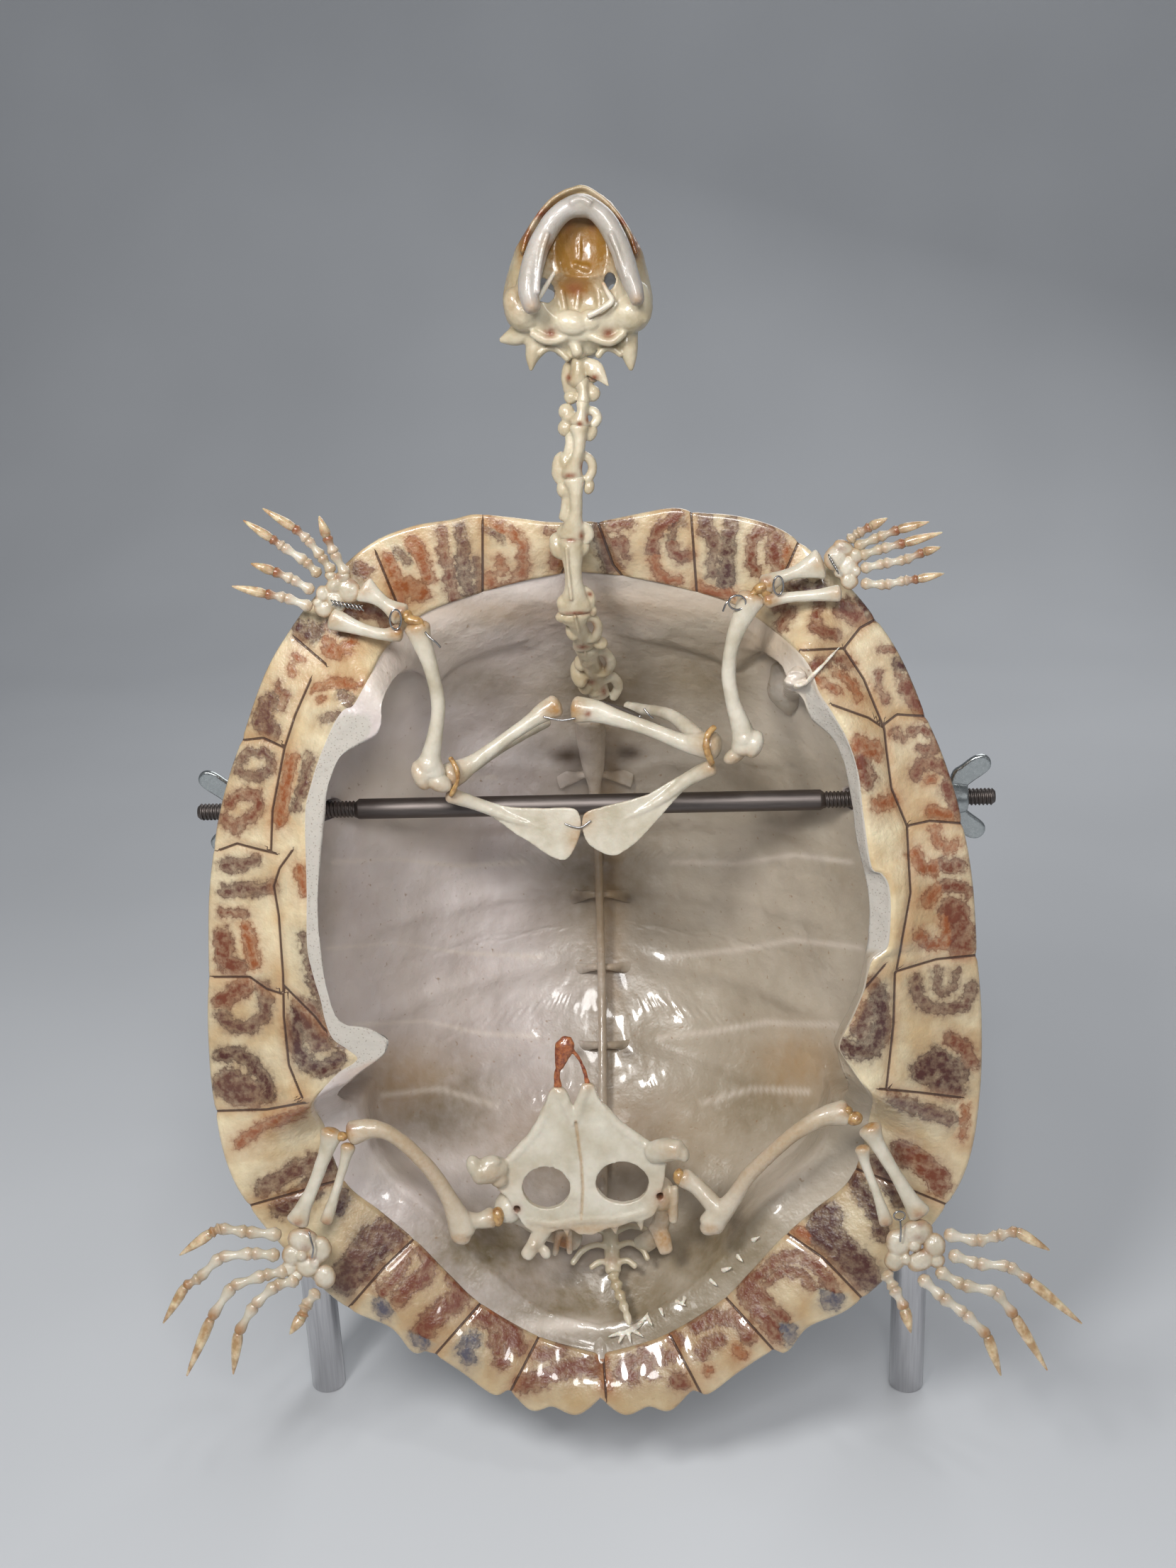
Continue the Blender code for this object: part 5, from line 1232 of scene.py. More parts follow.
def lump(u, v, back, wide, high, deep, turn=0.0):
    """A stretched sphere: half-sizes in millimetres across, up and along the view, turned in the view."""
    deselect()
    bpy.ops.mesh.primitive_ico_sphere_add(subdivisions=3, radius=1.0)
    obj = bpy.context.object
    frame_axes = Matrix((RIGHT, SHELL_UP, RIGHT.cross(SHELL_UP))).transposed()
    shape = Matrix.Diagonal((wide * MM, high * MM, deep * MM))
    turned = np.array(frame_axes @ Matrix.Rotation(math.radians(turn), 3, "Z") @ shape)
    set_coords(obj, coords(obj) @ turned.T + np.array(seen(u, v, back)))
    return obj


def disc(outline, steps, count):
    """A flat disc, and the place of each of its vertices on a smooth closed curve through the outline."""
    deselect()
    bpy.ops.mesh.primitive_circle_add(vertices=count, radius=1.0, fill_type="NGON")
    fine = curve(outline[-1:] + outline + outline[:2], (len(outline) + 2) * steps + 1)[steps:-steps]
    return bpy.context.object, fine[np.linspace(0, len(fine) - 1, count, endpoint=False).astype(int)]


def plate(points, back, half_thickness):
    """A flat plate seen face on, with a smooth outline."""
    obj, places = disc(points, 12, 120)
    set_coords(obj, [seen(u, v, back) for u, v in places])
    modify(obj, "SOLIDIFY", thickness=2 * half_thickness * MM, offset=0.0)
    return obj


def join(parts):
    deselect()
    for part in parts:
        part.select_set(True)
    bpy.context.view_layer.objects.active = parts[0]
    if len(parts) > 1:
        bpy.ops.object.join()
    return parts[0]


GRAIN = bpy.data.textures.new("bone lumps", "CLOUDS")
GRAIN.noise_scale = 0.0035
GRAIN.noise_depth = 2


def fuse(parts, voxel=0.36, rounds=3, lumps=0.25):
    """Melts overlapping forms into one skin."""
    obj = join(parts)
    modify(obj, "REMESH", mode="VOXEL", voxel_size=voxel * MM)
    modify(obj, "SMOOTH", factor=0.5, iterations=rounds)
    modify(obj, "DISPLACE", texture=GRAIN, texture_coords="LOCAL", strength=lumps * MM, mid_level=0.5)
    bpy.context.view_layer.objects.active = obj
    bpy.ops.object.shade_smooth()
    return obj


def carve(obj, cutters):
    """Cuts forms out of a fused bone."""
    for cutter in cutters:
        face_out(cutter)
        modify(obj, "BOOLEAN", operation="DIFFERENCE", solver="EXACT", object=cutter)
        bpy.data.objects.remove(cutter)
    return obj


def stain(obj, tan=(), rust=()):
    """Paints gristle-tan and blood-brown spots, each (u, v, half-width, half-height, strength)."""
    where = pixels(coords(obj))
    set_paint(obj, "tan", spots(where, tan))
    set_paint(obj, "rust", spots(where, rust))


print("bone helpers ready")

# %% [markdown]
# ## Arms
#
# Each arm goes from the shoulder up over the rim of the shell. The upper arm bone has a big head at the
# shoulder and a flat hinge at the elbow; two thinner bones lie side by side below it, and pebbles form the
# wrist. Gristle has dried amber at the joints.

# %% Arm bones
HUMERUS_LEFT = [
    (607, 1088, -2, 4.4, 3.4), (608, 1066, -3, 2.8, 2.8), (615, 1030, -4, 2.1, 2.1), (618, 990, -5, 2.0, 2.0),
    (607, 940, -7, 2.1, 2.1), (594, 902, -8, 2.9, 2.5), (589, 886, -8.5, 3.7, 2.8),
]
HUMERUS_RIGHT = [
    (1052, 1054, -2, 4.2, 3.4), (1047, 1030, -3, 3.0, 2.8), (1034, 990, -4, 2.1, 2.1),
    (1028, 950, -5, 2.0, 2.0), (1034, 905, -7, 2.1, 2.1), (1050, 864, -8, 3.0, 2.5),
    (1060, 845, -8.5, 3.8, 2.8),
]
FOREARMS = {
    "radius_left": [(564, 866, -9, 3.3, 2.4), (545, 853, -9, 1.9, 1.7), (530, 842, -9.5, 2.3, 1.6),
                    (514, 832, -10, 3.7, 1.7)],
    "ulna_left": [(561, 893, -9, 2.5, 2.2), (540, 895, -9, 1.7, 1.7), (505, 886, -9.5, 1.9, 1.5),
                  (470, 873, -10, 3.2, 1.7)],
    "radius_right": [(1081, 824, -9, 2.8, 2.4), (1108, 812, -9, 1.7, 1.7), (1130, 805, -9.5, 2.2, 1.6),
                     (1156, 796, -10, 4.2, 1.7)],
    "ulna_right": [(1084, 847, -9, 2.1, 2.1), (1112, 843, -9, 1.5, 1.5), (1150, 840, -9.5, 1.6, 1.4),
                   (1182, 837, -10, 2.3, 1.6)],
}


def limb(name, stations, node, extra=(), tan=(), rust=()):
    bone = fuse([shaft(stations)] + list(extra))
    stain(bone, tan, rust)
    return piece(bone, name, LIMB_BONE, "bone", node)


limb(
    "upper_arm_left", HUMERUS_LEFT, "humerus_left",
    [
        lump(594, 1094, -3, 2.5, 4.4, 3.0, 20), lump(618, 1103, -2, 4.2, 2.7, 2.8, -30),
        lump(604, 1079, -3, 3.4, 3.2, 3.2),
    ],
    [(586, 880, 26, 16, 0.9), (600, 1118, 34, 14, 0.7), (588, 1090, 12, 20, 0.4)], [(584, 872, 12, 6, 0.8)],
)
limb(
    "upper_arm_right", HUMERUS_RIGHT, "humerus_right",
    [
        lump(1064, 1050, -3, 2.5, 4.0, 3.0, -20), lump(1036, 1066, -1, 3.4, 2.1, 2.6, 30),
        lump(1050, 1042, -3, 3.2, 3.0, 3.0),
    ],
    [(1066, 836, 26, 14, 0.9), (1046, 1072, 30, 12, 0.6)], [(1072, 828, 12, 6, 0.7)],
)
for node, stations in FOREARMS.items():
    first, last = stations[0], stations[-1]
    limb(
        "bone_" + node, stations, node,
        tan=[(first[0], first[1], 15, 12, 0.9), (last[0], last[1], 12, 10, 0.5)],
        rust=[(first[0], first[1] - 6, 8, 5, 0.5)],
    )
print("arms made")

# %% [markdown]
# ### Wrists and ankles
#
# The small bones of a wrist or ankle lie like pebbles in glue. Each is a lump, and a light remesh lets them
# touch.

# %% Wrist and ankle bones
PEBBLES = {
    "carpus_left": [
        (490, 832, -10, 3.3, 3.8, 1.9, 40), (472, 845, -10, 2.6, 3.1, 1.7, 20),
        (457, 858, -10, 2.7, 2.4, 1.6, -20), (472, 826, -10.5, 2.9, 2.2, 1.6, 40),
        (455, 838, -10.5, 2.0, 2.4, 1.5, 0), (484, 814, -10.5, 2.2, 1.8, 1.5, 30),
        (466, 812, -10.6, 1.6, 1.5, 1.2, 0), (449, 850, -10.6, 1.5, 1.4, 1.2, 0),
        (479, 856, -9.8, 1.6, 1.4, 1.2, 0),
    ],
    "carpus_right": [
        (1180, 786, -10, 3.1, 3.8, 1.9, -30), (1196, 799, -10, 2.7, 3.3, 1.8, -30),
        (1198, 819, -10, 2.4, 2.4, 1.6, 0), (1190, 773, -10.5, 3.0, 2.0, 1.6, -30),
        (1208, 784, -10.5, 1.9, 2.1, 1.4, 20), (1184, 808, -9.8, 1.6, 1.5, 1.3, 0),
        (1208, 806, -10.6, 1.4, 1.6, 1.2, 0),
    ],
    "tarsus_left": [
        (428, 1750, -14, 4.6, 3.6, 2.5, -20), (450, 1763, -14, 3.6, 4.0, 2.3, -20),
        (412, 1771, -14.5, 2.9, 3.3, 2.1, 10), (434, 1787, -14.5, 3.7, 2.9, 2.1, -30),
        (458, 1801, -14, 3.1, 3.5, 2.2, 10), (408, 1789, -14.5, 2.2, 2.4, 1.8, 0),
        (425, 1772, -15.4, 1.9, 1.7, 1.5, 0), (444, 1781, -15.2, 1.6, 1.8, 1.4, 0),
        (418, 1800, -14.6, 1.8, 1.6, 1.5, 0),
    ],
    "tarsus_right": [
        (1292, 1739, -14, 4.8, 3.7, 2.5, 20), (1268, 1754, -14, 3.6, 4.1, 2.3, 20),
        (1319, 1757, -14.5, 3.1, 3.5, 2.1, 0), (1299, 1778, -14.5, 4.0, 3.0, 2.1, 30),
        (1262, 1778, -14, 2.9, 3.1, 2.1, 0), (1322, 1778, -14.5, 2.0, 2.2, 1.8, 0),
        (1290, 1758, -15.4, 1.9, 1.7, 1.5, 0), (1278, 1776, -15.0, 1.6, 1.8, 1.4, 0),
    ],
}
NEAR_PIXELS_PER_MM = 5.2      # hands and feet stand nearer to the camera than the rim
for node, pebbles in PEBBLES.items():
    bones = fuse([lump(*p) for p in pebbles], 0.26, 1, 0.7)
    x, y = pixels(coords(bones)).T
    from_middle = np.min([
        ((x - u) / (NEAR_PIXELS_PER_MM * wide)) ** 2 + ((y - v) / (NEAR_PIXELS_PER_MM * high)) ** 2
        for u, v, back, wide, high, deep, turn in pebbles
    ], axis=0)
    # Glue lies in the gaps between the pebbles
    set_paint(bones, "tan", 0.06 + 0.5 * ease(0.25, 0.85, from_middle))
    set_paint(
        bones, "rust",
        spots(pixels(coords(bones)), [(p[0] + 6, p[1] - 12, 8, 5, 0.45) for p in pebbles[::3]]),
    )
    piece(bones, "pebbles_" + node, LIMB_BONE, "bone", node)
print("wrists and ankles made")

# %% [markdown]
# ### Fingers and toes
#
# Each digit is a row of small hourglass bones that end in a claw. The bones are separate forms with hairline
# gaps at the knuckles. The claw is horn, thin enough to let light through at its tip.

# %% Fingers and toes
FINGERS_LEFT = [    # root, knuckles and tip of each finger, in pixels
    [(488, 811), (471, 780), (461, 757), (450, 728)],
    [(468, 805), (453, 785), (434, 761), (415, 745), (370, 717)],
    [(449, 810), (431, 792), (399, 771), (383, 760), (343, 734)],
    [(440, 833), (412, 817), (386, 806), (354, 795)],
    [(438, 856), (402, 843), (375, 838), (327, 827)],
]
FINGERS_RIGHT = [
    [(1199, 761), (1211, 752), (1228, 743), (1252, 731)],
    [(1208, 771), (1239, 758), (1268, 747), (1311, 736)],
    [(1214, 784), (1244, 774), (1276, 766), (1330, 751)],
    [(1217, 802), (1247, 795), (1276, 790), (1303, 779), (1327, 772)],
    [(1217, 823), (1249, 825), (1276, 819), (1295, 817), (1332, 809)],
]
TOES_LEFT = [
    [(394, 1742), (348, 1738), (311, 1733), (298, 1739), (253, 1771)],
    [(391, 1771), (356, 1768), (311, 1773), (281, 1803), (262, 1814), (230, 1867)],
    [(403, 1793), (373, 1799), (328, 1814), (298, 1859), (263, 1942)],
    [(418, 1806), (389, 1813), (359, 1841), (336, 1880), (329, 1939)],
    [(446, 1823), (431, 1842), (426, 1857), (409, 1882)],
]
TOES_RIGHT = [
    [(1335, 1741), (1379, 1751), (1408, 1743), (1434, 1737), (1481, 1764)],
    [(1342, 1770), (1379, 1783), (1423, 1786), (1452, 1806), (1527, 1868)],
    [(1324, 1793), (1358, 1813), (1405, 1822), (1431, 1856), (1478, 1934)],
    [(1300, 1803), (1329, 1830), (1361, 1853), (1393, 1884), (1412, 1941)],
    [(1250, 1797), (1261, 1817), (1276, 1846), (1285, 1880)],
]


def claw_material():
    made, tree, shader = new_material(
        "translucent claw horn",
        {
            "Roughness": 0.3, "Subsurface Weight": 0.4, "Subsurface Scale": 0.002, "Coat Weight": 0.7,
            "Coat Roughness": 0.08,
        },
    )
    place = add(tree, "TexCoord", {}, "Object")
    patches, fine, lumps = [
        add(tree, "TexNoise", {"Vector": place, "Scale": 1000 / size_mm, "Detail": detail, "Roughness": 0.55})
        for size_mm, detail in ((2.6, 3), (0.9, 4), (0.8, 4))
    ]
    clean = add(tree, "ValToRGB", {0: patches}, stops=[(0.36, "A98A62"), (0.62, "D8C6A4")])
    tan = add(tree, "Attribute", {}, "Fac", attribute_name="tan")
    cover = add(tree, "Math", {0: tan, 1: fine}, operation="MULTIPLY", use_clamp=True)
    plug(shader, {
        "Base Color": add(tree, "Mix", {0: cover, 6: clean, 7: linear("7A4A2A")}, 2, data_type="RGBA"),
        "Normal": add(tree, "Bump", {"Height": lumps, "Strength": 1.0, "Distance": 0.08 * MM}),
    })
    return made


CLAW_HORN = claw_material()


# How far along it is, its width as a share of the digit's, and on the claw how far it dips towards the viewer
HOURGLASS = [(0.04, 0.85), (0.16, 1.05), (0.5, 0.62), (0.85, 0.95), (0.96, 0.8)]
CLAW_SHAPE = [(0.05, 0.85, 0), (0.2, 1.0, 0), (0.5, 0.8, -0.6), (0.8, 0.45, -0.5), (0.98, 0.16, 0.2)]


def knuckle_bone(one, two, half_width):
    """An hourglass bone between two knuckles (u, v, back)."""
    stations = []
    for f, share in HOURGLASS:
        size = share * half_width
        stations.append(tuple(a + (b - a) * f for a, b in zip(one, two)) + (size, size * 0.9))
    return shaft(stations, 14, 22)


def digit(node, knuckles, back, front, half_width, dark):
    """A finger or toe between two depths, with a claw whose root is stained by the share dark."""
    last = len(knuckles) - 1
    places = [(u, v, back + (front - back) * i / last) for i, (u, v) in enumerate(knuckles)]
    bones = [knuckle_bone(places[i], places[i + 1], half_width * (1 - 0.05 * i)) for i in range(last - 1)]
    (u, v, d), (tip_u, tip_v, tip_d) = places[-2], places[-1]
    wide = half_width * (1.02 - 0.05 * last)
    claw = shaft([
        (u + (tip_u - u) * f, v + (tip_v - v) * f, d + (tip_d - d) * f + dip, wide * size, wide * size)
        for f, size, dip in CLAW_SHAPE
    ], 14, 24)
    bone_faces = sum(len(bone.data.polygons) for bone in bones)
    whole = join(bones + [claw])
    face_out(whole)
    whole.data.materials.append(LIMB_BONE)
    whole.data.materials.append(CLAW_HORN)
    index = np.zeros(len(whole.data.polygons), int)
    index[bone_faces:] = 1
    whole.data.polygons.foreach_set("material_index", index)
    stain(whole, [(p[0], p[1], 9, 9, 0.55) for p in places[:-1]] + [(u, v, 12, 12, 0.9)],
          [(p[0] + 2, p[1] + 4, 6, 6, 0.3) for p in places[1:-1]] + [(u, v, 13, 13, dark)])
    return piece(whole, "bones_" + node, None, "bone", node)


for name, digits, root_back, tip_back, half_width, dark in (
    ("finger_left_%d", FINGERS_LEFT, -10.5, -14, 1.65, 0.85), ("finger_right_%d", FINGERS_RIGHT, -10.5, -14,
        1.55, 0.85),
    ("toe_left_%d", TOES_LEFT, -15.5, -20, 1.95, 0.3), ("toe_right_%d", TOES_RIGHT, -15.5, -20, 1.95, 0.3),
):
    for number, knuckles in enumerate(digits, 1):
        digit(name % number, knuckles, root_back, tip_back, half_width, dark)
print("fingers and toes made")

# %% [markdown]
# ## Legs
#
# The thigh bone arches out over the sawn bridge from a ball in the hip socket. Below the knee a stout and a
# thin bone run down to the ankle.

# %% Leg bones
FEMUR_LEFT = [
    (499, 1598, -11, 3.6, 3.0), (525, 1592, -11, 2.7, 2.5), (553, 1601, -10, 2.1, 2.1),
    (583, 1625, -8, 2.1, 2.1), (613, 1658, -5, 2.2, 2.2), (634, 1692, -3, 2.5, 2.4),
    (648, 1722, -2, 3.6, 3.0), (653, 1738, -2, 3.8, 3.0),
]
FEMUR_RIGHT = [
    (1190, 1570, -11, 3.6, 3.0), (1160, 1576, -11, 2.7, 2.5), (1120, 1600, -10, 2.1, 2.1),
    (1087, 1628, -8, 2.1, 2.1), (1055, 1660, -5, 2.2, 2.2), (1033, 1693, -3, 2.5, 2.4),
    (1012, 1716, -2, 3.6, 3.0), (1003, 1727, -2, 3.8, 3.0),
]
SHINS = {
    "tibia_left": [(468, 1600, -12, 3.4, 2.6), (461, 1622, -12, 2.2, 2.0), (444, 1668, -13, 1.8, 1.7),
                   (429, 1702, -13.5, 2.3, 1.9), (420, 1722, -14, 3.3, 2.2)],
    "fibula_left": [(491, 1619, -12, 2.2, 2.0), (486, 1640, -12, 1.4, 1.4), (473, 1684, -13, 1.3, 1.3),
                    (461, 1722, -14, 2.0, 1.7)],
    "tibia_right": [(1228, 1594, -12, 3.4, 2.6), (1238, 1614, -12, 2.2, 2.0), (1263, 1656, -13, 1.8, 1.7),
                    (1283, 1690, -13.5, 2.3, 1.9), (1296, 1711, -14, 3.3, 2.2)],
    "fibula_right": [(1217, 1622, -12, 2.2, 2.0), (1221, 1642, -12, 1.4, 1.4), (1237, 1684, -13, 1.3, 1.3),
                     (1250, 1724, -14, 2.0, 1.7)],
}

limb(
    "thigh_left", FEMUR_LEFT, "femur_left",
    [
        shaft([(642, 1716, -2, 2.6, 2.6), (672, 1722, 0, 2.3, 2.3), (692, 1718, 1, 3.0, 3.0)]),
        lump(650, 1742, -2, 3.2, 2.8, 2.8, -30),
    ],
    [(488, 1600, 20, 16, 0.8), (650, 1748, 22, 10, 0.6), (700, 1718, 14, 20, 0.8)], [(492, 1590, 10, 6, 0.5)],
)
limb(
    "thigh_right", FEMUR_RIGHT, "femur_right",
    [
        shaft([(1012, 1706, -2, 2.8, 2.6), (985, 1676, 0, 2.4, 2.4), (966, 1662, 1, 2.9, 2.9)]),
        lump(1003, 1729, -2, 3.4, 2.6, 2.8, 30),
    ],
    [(1198, 1566, 20, 14, 0.8), (1002, 1734, 18, 9, 0.6), (962, 1660, 12, 16, 0.7)],
    [(1203, 1562, 10, 6, 0.5)],
)
for name in ("thigh_left", "thigh_right"):
    thigh = bpy.data.objects[name]
    # Painted shade: a wide tan wash darkens the thighs, which lie low where the light is weaker
    thigh_shade = spots(pixels(coords(thigh)), [(560, 1660, 130, 110, 0.55), (1110, 1640, 130, 110, 0.5)])
    set_paint(thigh, "tan", np.maximum(get_paint(thigh, "tan"), thigh_shade))
for node, stations in SHINS.items():
    first, last = stations[0], stations[-1]
    limb(
        "bone_" + node, stations, node,
        tan=[(first[0], first[1] - 6, 18, 11, 0.9), (last[0], last[1], 13, 9, 0.5)],
        rust=[(last[0], last[1] + 4, 7, 5, 0.5)],
    )
print("legs made")

# %% [markdown]
# ## Shoulder girdle
#
# Each shoulder blade is a bar that runs from the joint towards the neck and ends in a sawn-looking porous
# knob; a second, thinner bar goes back to the shell. The coracoid is a thin fan, almost see-through.

# %% Shoulder girdle
limb(
    "shoulder_bar_left",
    [
        (636, 1094, 2, 3.9, 3.9), (650, 1087, 3, 3.3, 3.3), (672, 1073, 4, 2.3, 2.3),
        (710, 1045, 5, 1.9, 2.0), (745, 1020, 6, 2.1, 2.0), (768, 1004, 7, 2.9, 2.2),
        (784, 996, 7, 3.3, 2.3),
    ],
    "scapula_left",
    [shaft([(655, 1086, 4, 2.5, 2.5), (710, 1052, 20, 1.7, 1.7), (770, 1020, 38, 1.5, 1.8)])],
    [(782, 1000, 16, 16, 0.9), (640, 1100, 20, 26, 0.6)], [(640, 1110, 10, 8, 0.4)],
)
limb(
    "shoulder_bar_right",
    [
        (1004, 1052, 2, 4.1, 4.1), (985, 1050, 3, 3.5, 3.5), (960, 1046, 4, 2.4, 2.4),
        (915, 1028, 5, 2.1, 2.0), (870, 1013, 6, 2.5, 2.1), (838, 1003, 7, 3.3, 2.3),
        (813, 1001, 7, 3.8, 2.4),
    ],
    "scapula_right",
    [
        shaft(
            [
                (985, 1042, 4, 2.6, 2.6), (948, 1010, 16, 1.9, 1.9), (905, 1000, 32, 1.6, 1.6),
                (886, 996, 37, 1.4, 1.6),
            ]
        )
    ],
    [(810, 1002, 14, 18, 0.8), (1000, 1050, 20, 24, 0.6)], [(829, 1007, 5, 5, 0.9)],
)

CORACOID_LEFT = [
    (636, 1120), (655, 1118), (685, 1129), (719, 1138), (765, 1140), (807, 1140), (818, 1150), (820, 1164),
    (816, 1184), (803, 1209), (790, 1213), (769, 1203), (750, 1190), (727, 1176), (700, 1156), (668, 1137),
    (645, 1132),
]
CORACOID_RIGHT = [
    (1003, 1073), (985, 1079), (971, 1087), (945, 1102), (921, 1117), (900, 1125), (879, 1131), (850, 1138),
    (824, 1148), (822, 1171), (832, 1192), (858, 1206), (875, 1204), (900, 1186), (929, 1155), (963, 1117),
    (1001, 1089),
]
for side, outline, rib in (
    ("left", CORACOID_LEFT, [(636, 1122, 1), (672, 1134, 3.5), (720, 1154, 4.6), (780, 1172, 5)]),
    ("right", CORACOID_RIGHT, [(1003, 1083, 2), (968, 1102, 4), (925, 1133, 4.6), (860, 1166, 5)]),
):
    rod = [(u, v, back, 2.3 - 0.45 * i, 2.1 - 0.42 * i) for i, (u, v, back) in enumerate(rib)]
    fan = fuse([plate(outline, 4.6, 0.55), shaft(rod)], 0.34, 3, 0.3)
    tip = outline[8]
    stain(fan, [(tip[0], tip[1], 16, 26, 0.6), (rib[0][0], rib[0][1], 16, 14, 0.6)])
    piece(fan, "shoulder_fan_" + side, LIMB_BONE, "bone", "coracoid_" + side)
print("shoulder girdle made")

# %% [markdown]
# ## Pelvis
#
# Two plates meet in a wavy suture on the midline and leave an oval window on each side. Knobs stand out at
# the corners, and behind them bars rise to the backbone. The windows are cut through the flat plates first,
# and the remesh then rounds every edge.

# %% Pelvis
PUBIS_LEFT = [
    (814, 1584), (807, 1562), (798, 1537), (778, 1535), (764, 1572), (741, 1612), (716, 1632), (696, 1646),
    (700, 1672), (718, 1692), (738, 1726), (756, 1737), (776, 1738), (800, 1731), (826, 1730),
]
PUBIS_RIGHT = [
    (808, 1584), (815, 1560), (820, 1531), (837, 1529), (846, 1550), (866, 1574), (893, 1599), (916, 1613),
    (938, 1628), (938, 1660), (930, 1690), (922, 1714), (890, 1723), (864, 1730), (816, 1730),
]
PELVIS_BARS = [
    # knobs at the upper corners
    [(706, 1648, 0, 3.4, 2.8), (692, 1650, -2, 4.0, 3.4), (674, 1654, -3.5, 3.4, 3.0)],
    [(920, 1626, 0, 3.2, 2.6), (940, 1622, -2, 3.5, 3.0), (956, 1622, -3.5, 3.0, 2.7)],
    # a leg at the lower left corner and small spikes along the lower edge
    [(772, 1722, 2, 3.2, 2.0), (758, 1748, 1, 2.5, 1.8), (743, 1771, 0, 2.0, 1.6)],
    [(798, 1726, 1, 1.5, 1.2), (801, 1744, 1.5, 0.5, 0.5)],
    [(832, 1726, 1, 1.5, 1.2), (829, 1741, 1.5, 0.5, 0.5)],
    [(866, 1724, 1, 1.5, 1.2), (869, 1740, 1.5, 0.5, 0.5)],
    [(902, 1718, 1, 1.5, 1.2), (905, 1735, 1.5, 0.5, 0.5)],
    # bars that rise to the backbone
    [(724, 1708, 6, 3.2, 3.0), (768, 1735, 12, 2.6, 2.4), (812, 1752, 18, 3.2, 2.0)],
    [(936, 1694, 6, 3.2, 3.0), (930, 1735, 12, 2.6, 2.4), (906, 1756, 18, 3.2, 2.0)],
    [(790, 1734, 6, 1.2, 1.2), (783, 1768, 10, 1.0, 1.0)],
    [(802, 1734, 6, 1.2, 1.2), (804, 1766, 10, 1.0, 1.0)],
    [(952, 1676, 2, 1.2, 1.2), (950, 1722, 4, 1.5, 1.2)],
    [(928, 1728, 10, 3.0, 2.0), (940, 1764, 8, 2.2, 1.6)],
]
PELVIS_RIDGES = [
    # thick rims of the cleft between the two tips, and of the outer edges
    [(789, 1541, 0.7), (800, 1562, 0.6), (808, 1584, 0.9)],
    [(827, 1536, 0.7), (818, 1560, 0.6), (812, 1584, 0.9)],
    [(774, 1562, 1.1), (754, 1600, 1.0), (722, 1634, 0.9)],
    [(850, 1564, 1.1), (875, 1590, 1.0), (912, 1616, 0.9)],
    [(745, 1720, 1.0), (780, 1726, 0.9), (820, 1720, 0.9), (868, 1718, 0.9), (912, 1708, 1.0)],
    [(800, 1626, 1.2), (798, 1660, 1.1), (794, 1704, 1.2)],
    [(842, 1626, 1.2), (846, 1660, 1.1), (848, 1702, 1.2)],
]
PELVIS_LUMPS = [
    (670, 1646, -3.6, 2.4, 3.6, 2.6, 20), (692, 1640, -2.6, 3.2, 2.0, 2.4),
    (964, 1628, -3, 1.8, 2.4, 2.2, 20), (963, 1662, 1, 1.9, 1.5, 1.8), (718, 1702, 5, 4.4, 5.0, 5.0),
    (932, 1684, 5, 4.2, 5.0, 5.0), (769, 1766, 1, 1.6, 2.2, 1.5, 30), (752, 1758, -0.6, 1.6, 1.2, 1.0, 30),
    (704, 1664, -1, 2.6, 2.4, 2.2),
]
forms = [plate(PUBIS_RIGHT, 1.0, 1.2), plate(PUBIS_LEFT, 1.0, 1.2)] + [shaft(bar) for bar in PELVIS_BARS]
forms += [ridge(line, 0, 1.7, 1.6) for line in PELVIS_RIDGES] + [lump(*row) for row in PELVIS_LUMPS]
halves = fuse(forms, 0.38, 2, 0.3)
carve(
    halves,
    [
        lump(771, 1674, 1, 7.0, 6.4, 8), lump(878, 1667, 1, 7.7, 6.3, 8), lump(729, 1706, 0, 1.0, 1.1, 4),
        lump(931, 1688, 0, 1.0, 1.1, 4),
        shaft(
            [
                (812, 1584, -0.5, 0.55, 0.9), (820, 1640, -0.5, 0.5, 0.9), (822, 1676, -0.5, 0.5, 0.9),
                (820, 1714, -0.5, 0.5, 0.9),
            ]
        ),
    ],
)
pelvis = fuse([halves], 0.36, 2, 0.25)
where = pixels(coords(pelvis))
gap = stroke_distance(where, [(812, 1582), (820, 1640), (822, 1676), (820, 1720)])
stain(
    pelvis,
    [
        (700, 1664, 26, 22, 0.4), (940, 1704, 22, 34, 0.6), (757, 1760, 16, 18, 0.35),
        (786, 1532, 12, 10, 0.6), (936, 1748, 24, 28, 0.8), (830, 1528, 12, 10, 0.6),
        (794, 1752, 14, 18, 1.0), (948, 1624, 20, 14, 0.4), (840, 1734, 90, 10, 0.5),
    ],
    [(729, 1706, 7, 7, 0.8), (931, 1688, 7, 7, 0.8), (794, 1756, 12, 12, 0.5)],
)
set_paint(pelvis, "tan", np.maximum(get_paint(pelvis, "tan"), 0.5 * ease(3.2, 0.8, gap)))
piece(pelvis, "hip_plates", LIMB_BONE, "bone", "pelvis")

tip = fuse(
    [
        shaft(
            [
                (789, 1504, 1, 1.3, 1.2), (793, 1488, 1, 2.3, 1.6), (797, 1475, 1, 2.8, 1.8),
                (799, 1465, 1, 1.7, 1.2),
            ]
        ),
        shaft([(790, 1500, 1, 1.0, 0.9), (786, 1514, 1, 0.8, 0.8), (787, 1532, 1, 1.2, 1.0)]),
        shaft(
            [
                (804, 1478, 1, 0.8, 0.8), (816, 1492, 1, 0.5, 0.5), (825, 1512, 1, 0.5, 0.5),
                (829, 1528, 1, 0.8, 0.7),
            ]
        ),
    ],
    0.3, 1, 0.6,
)
piece(tip, "gristle_tip", RED_GRISTLE, "dried_tissue", "epipubic_tip")
print("pelvis made")

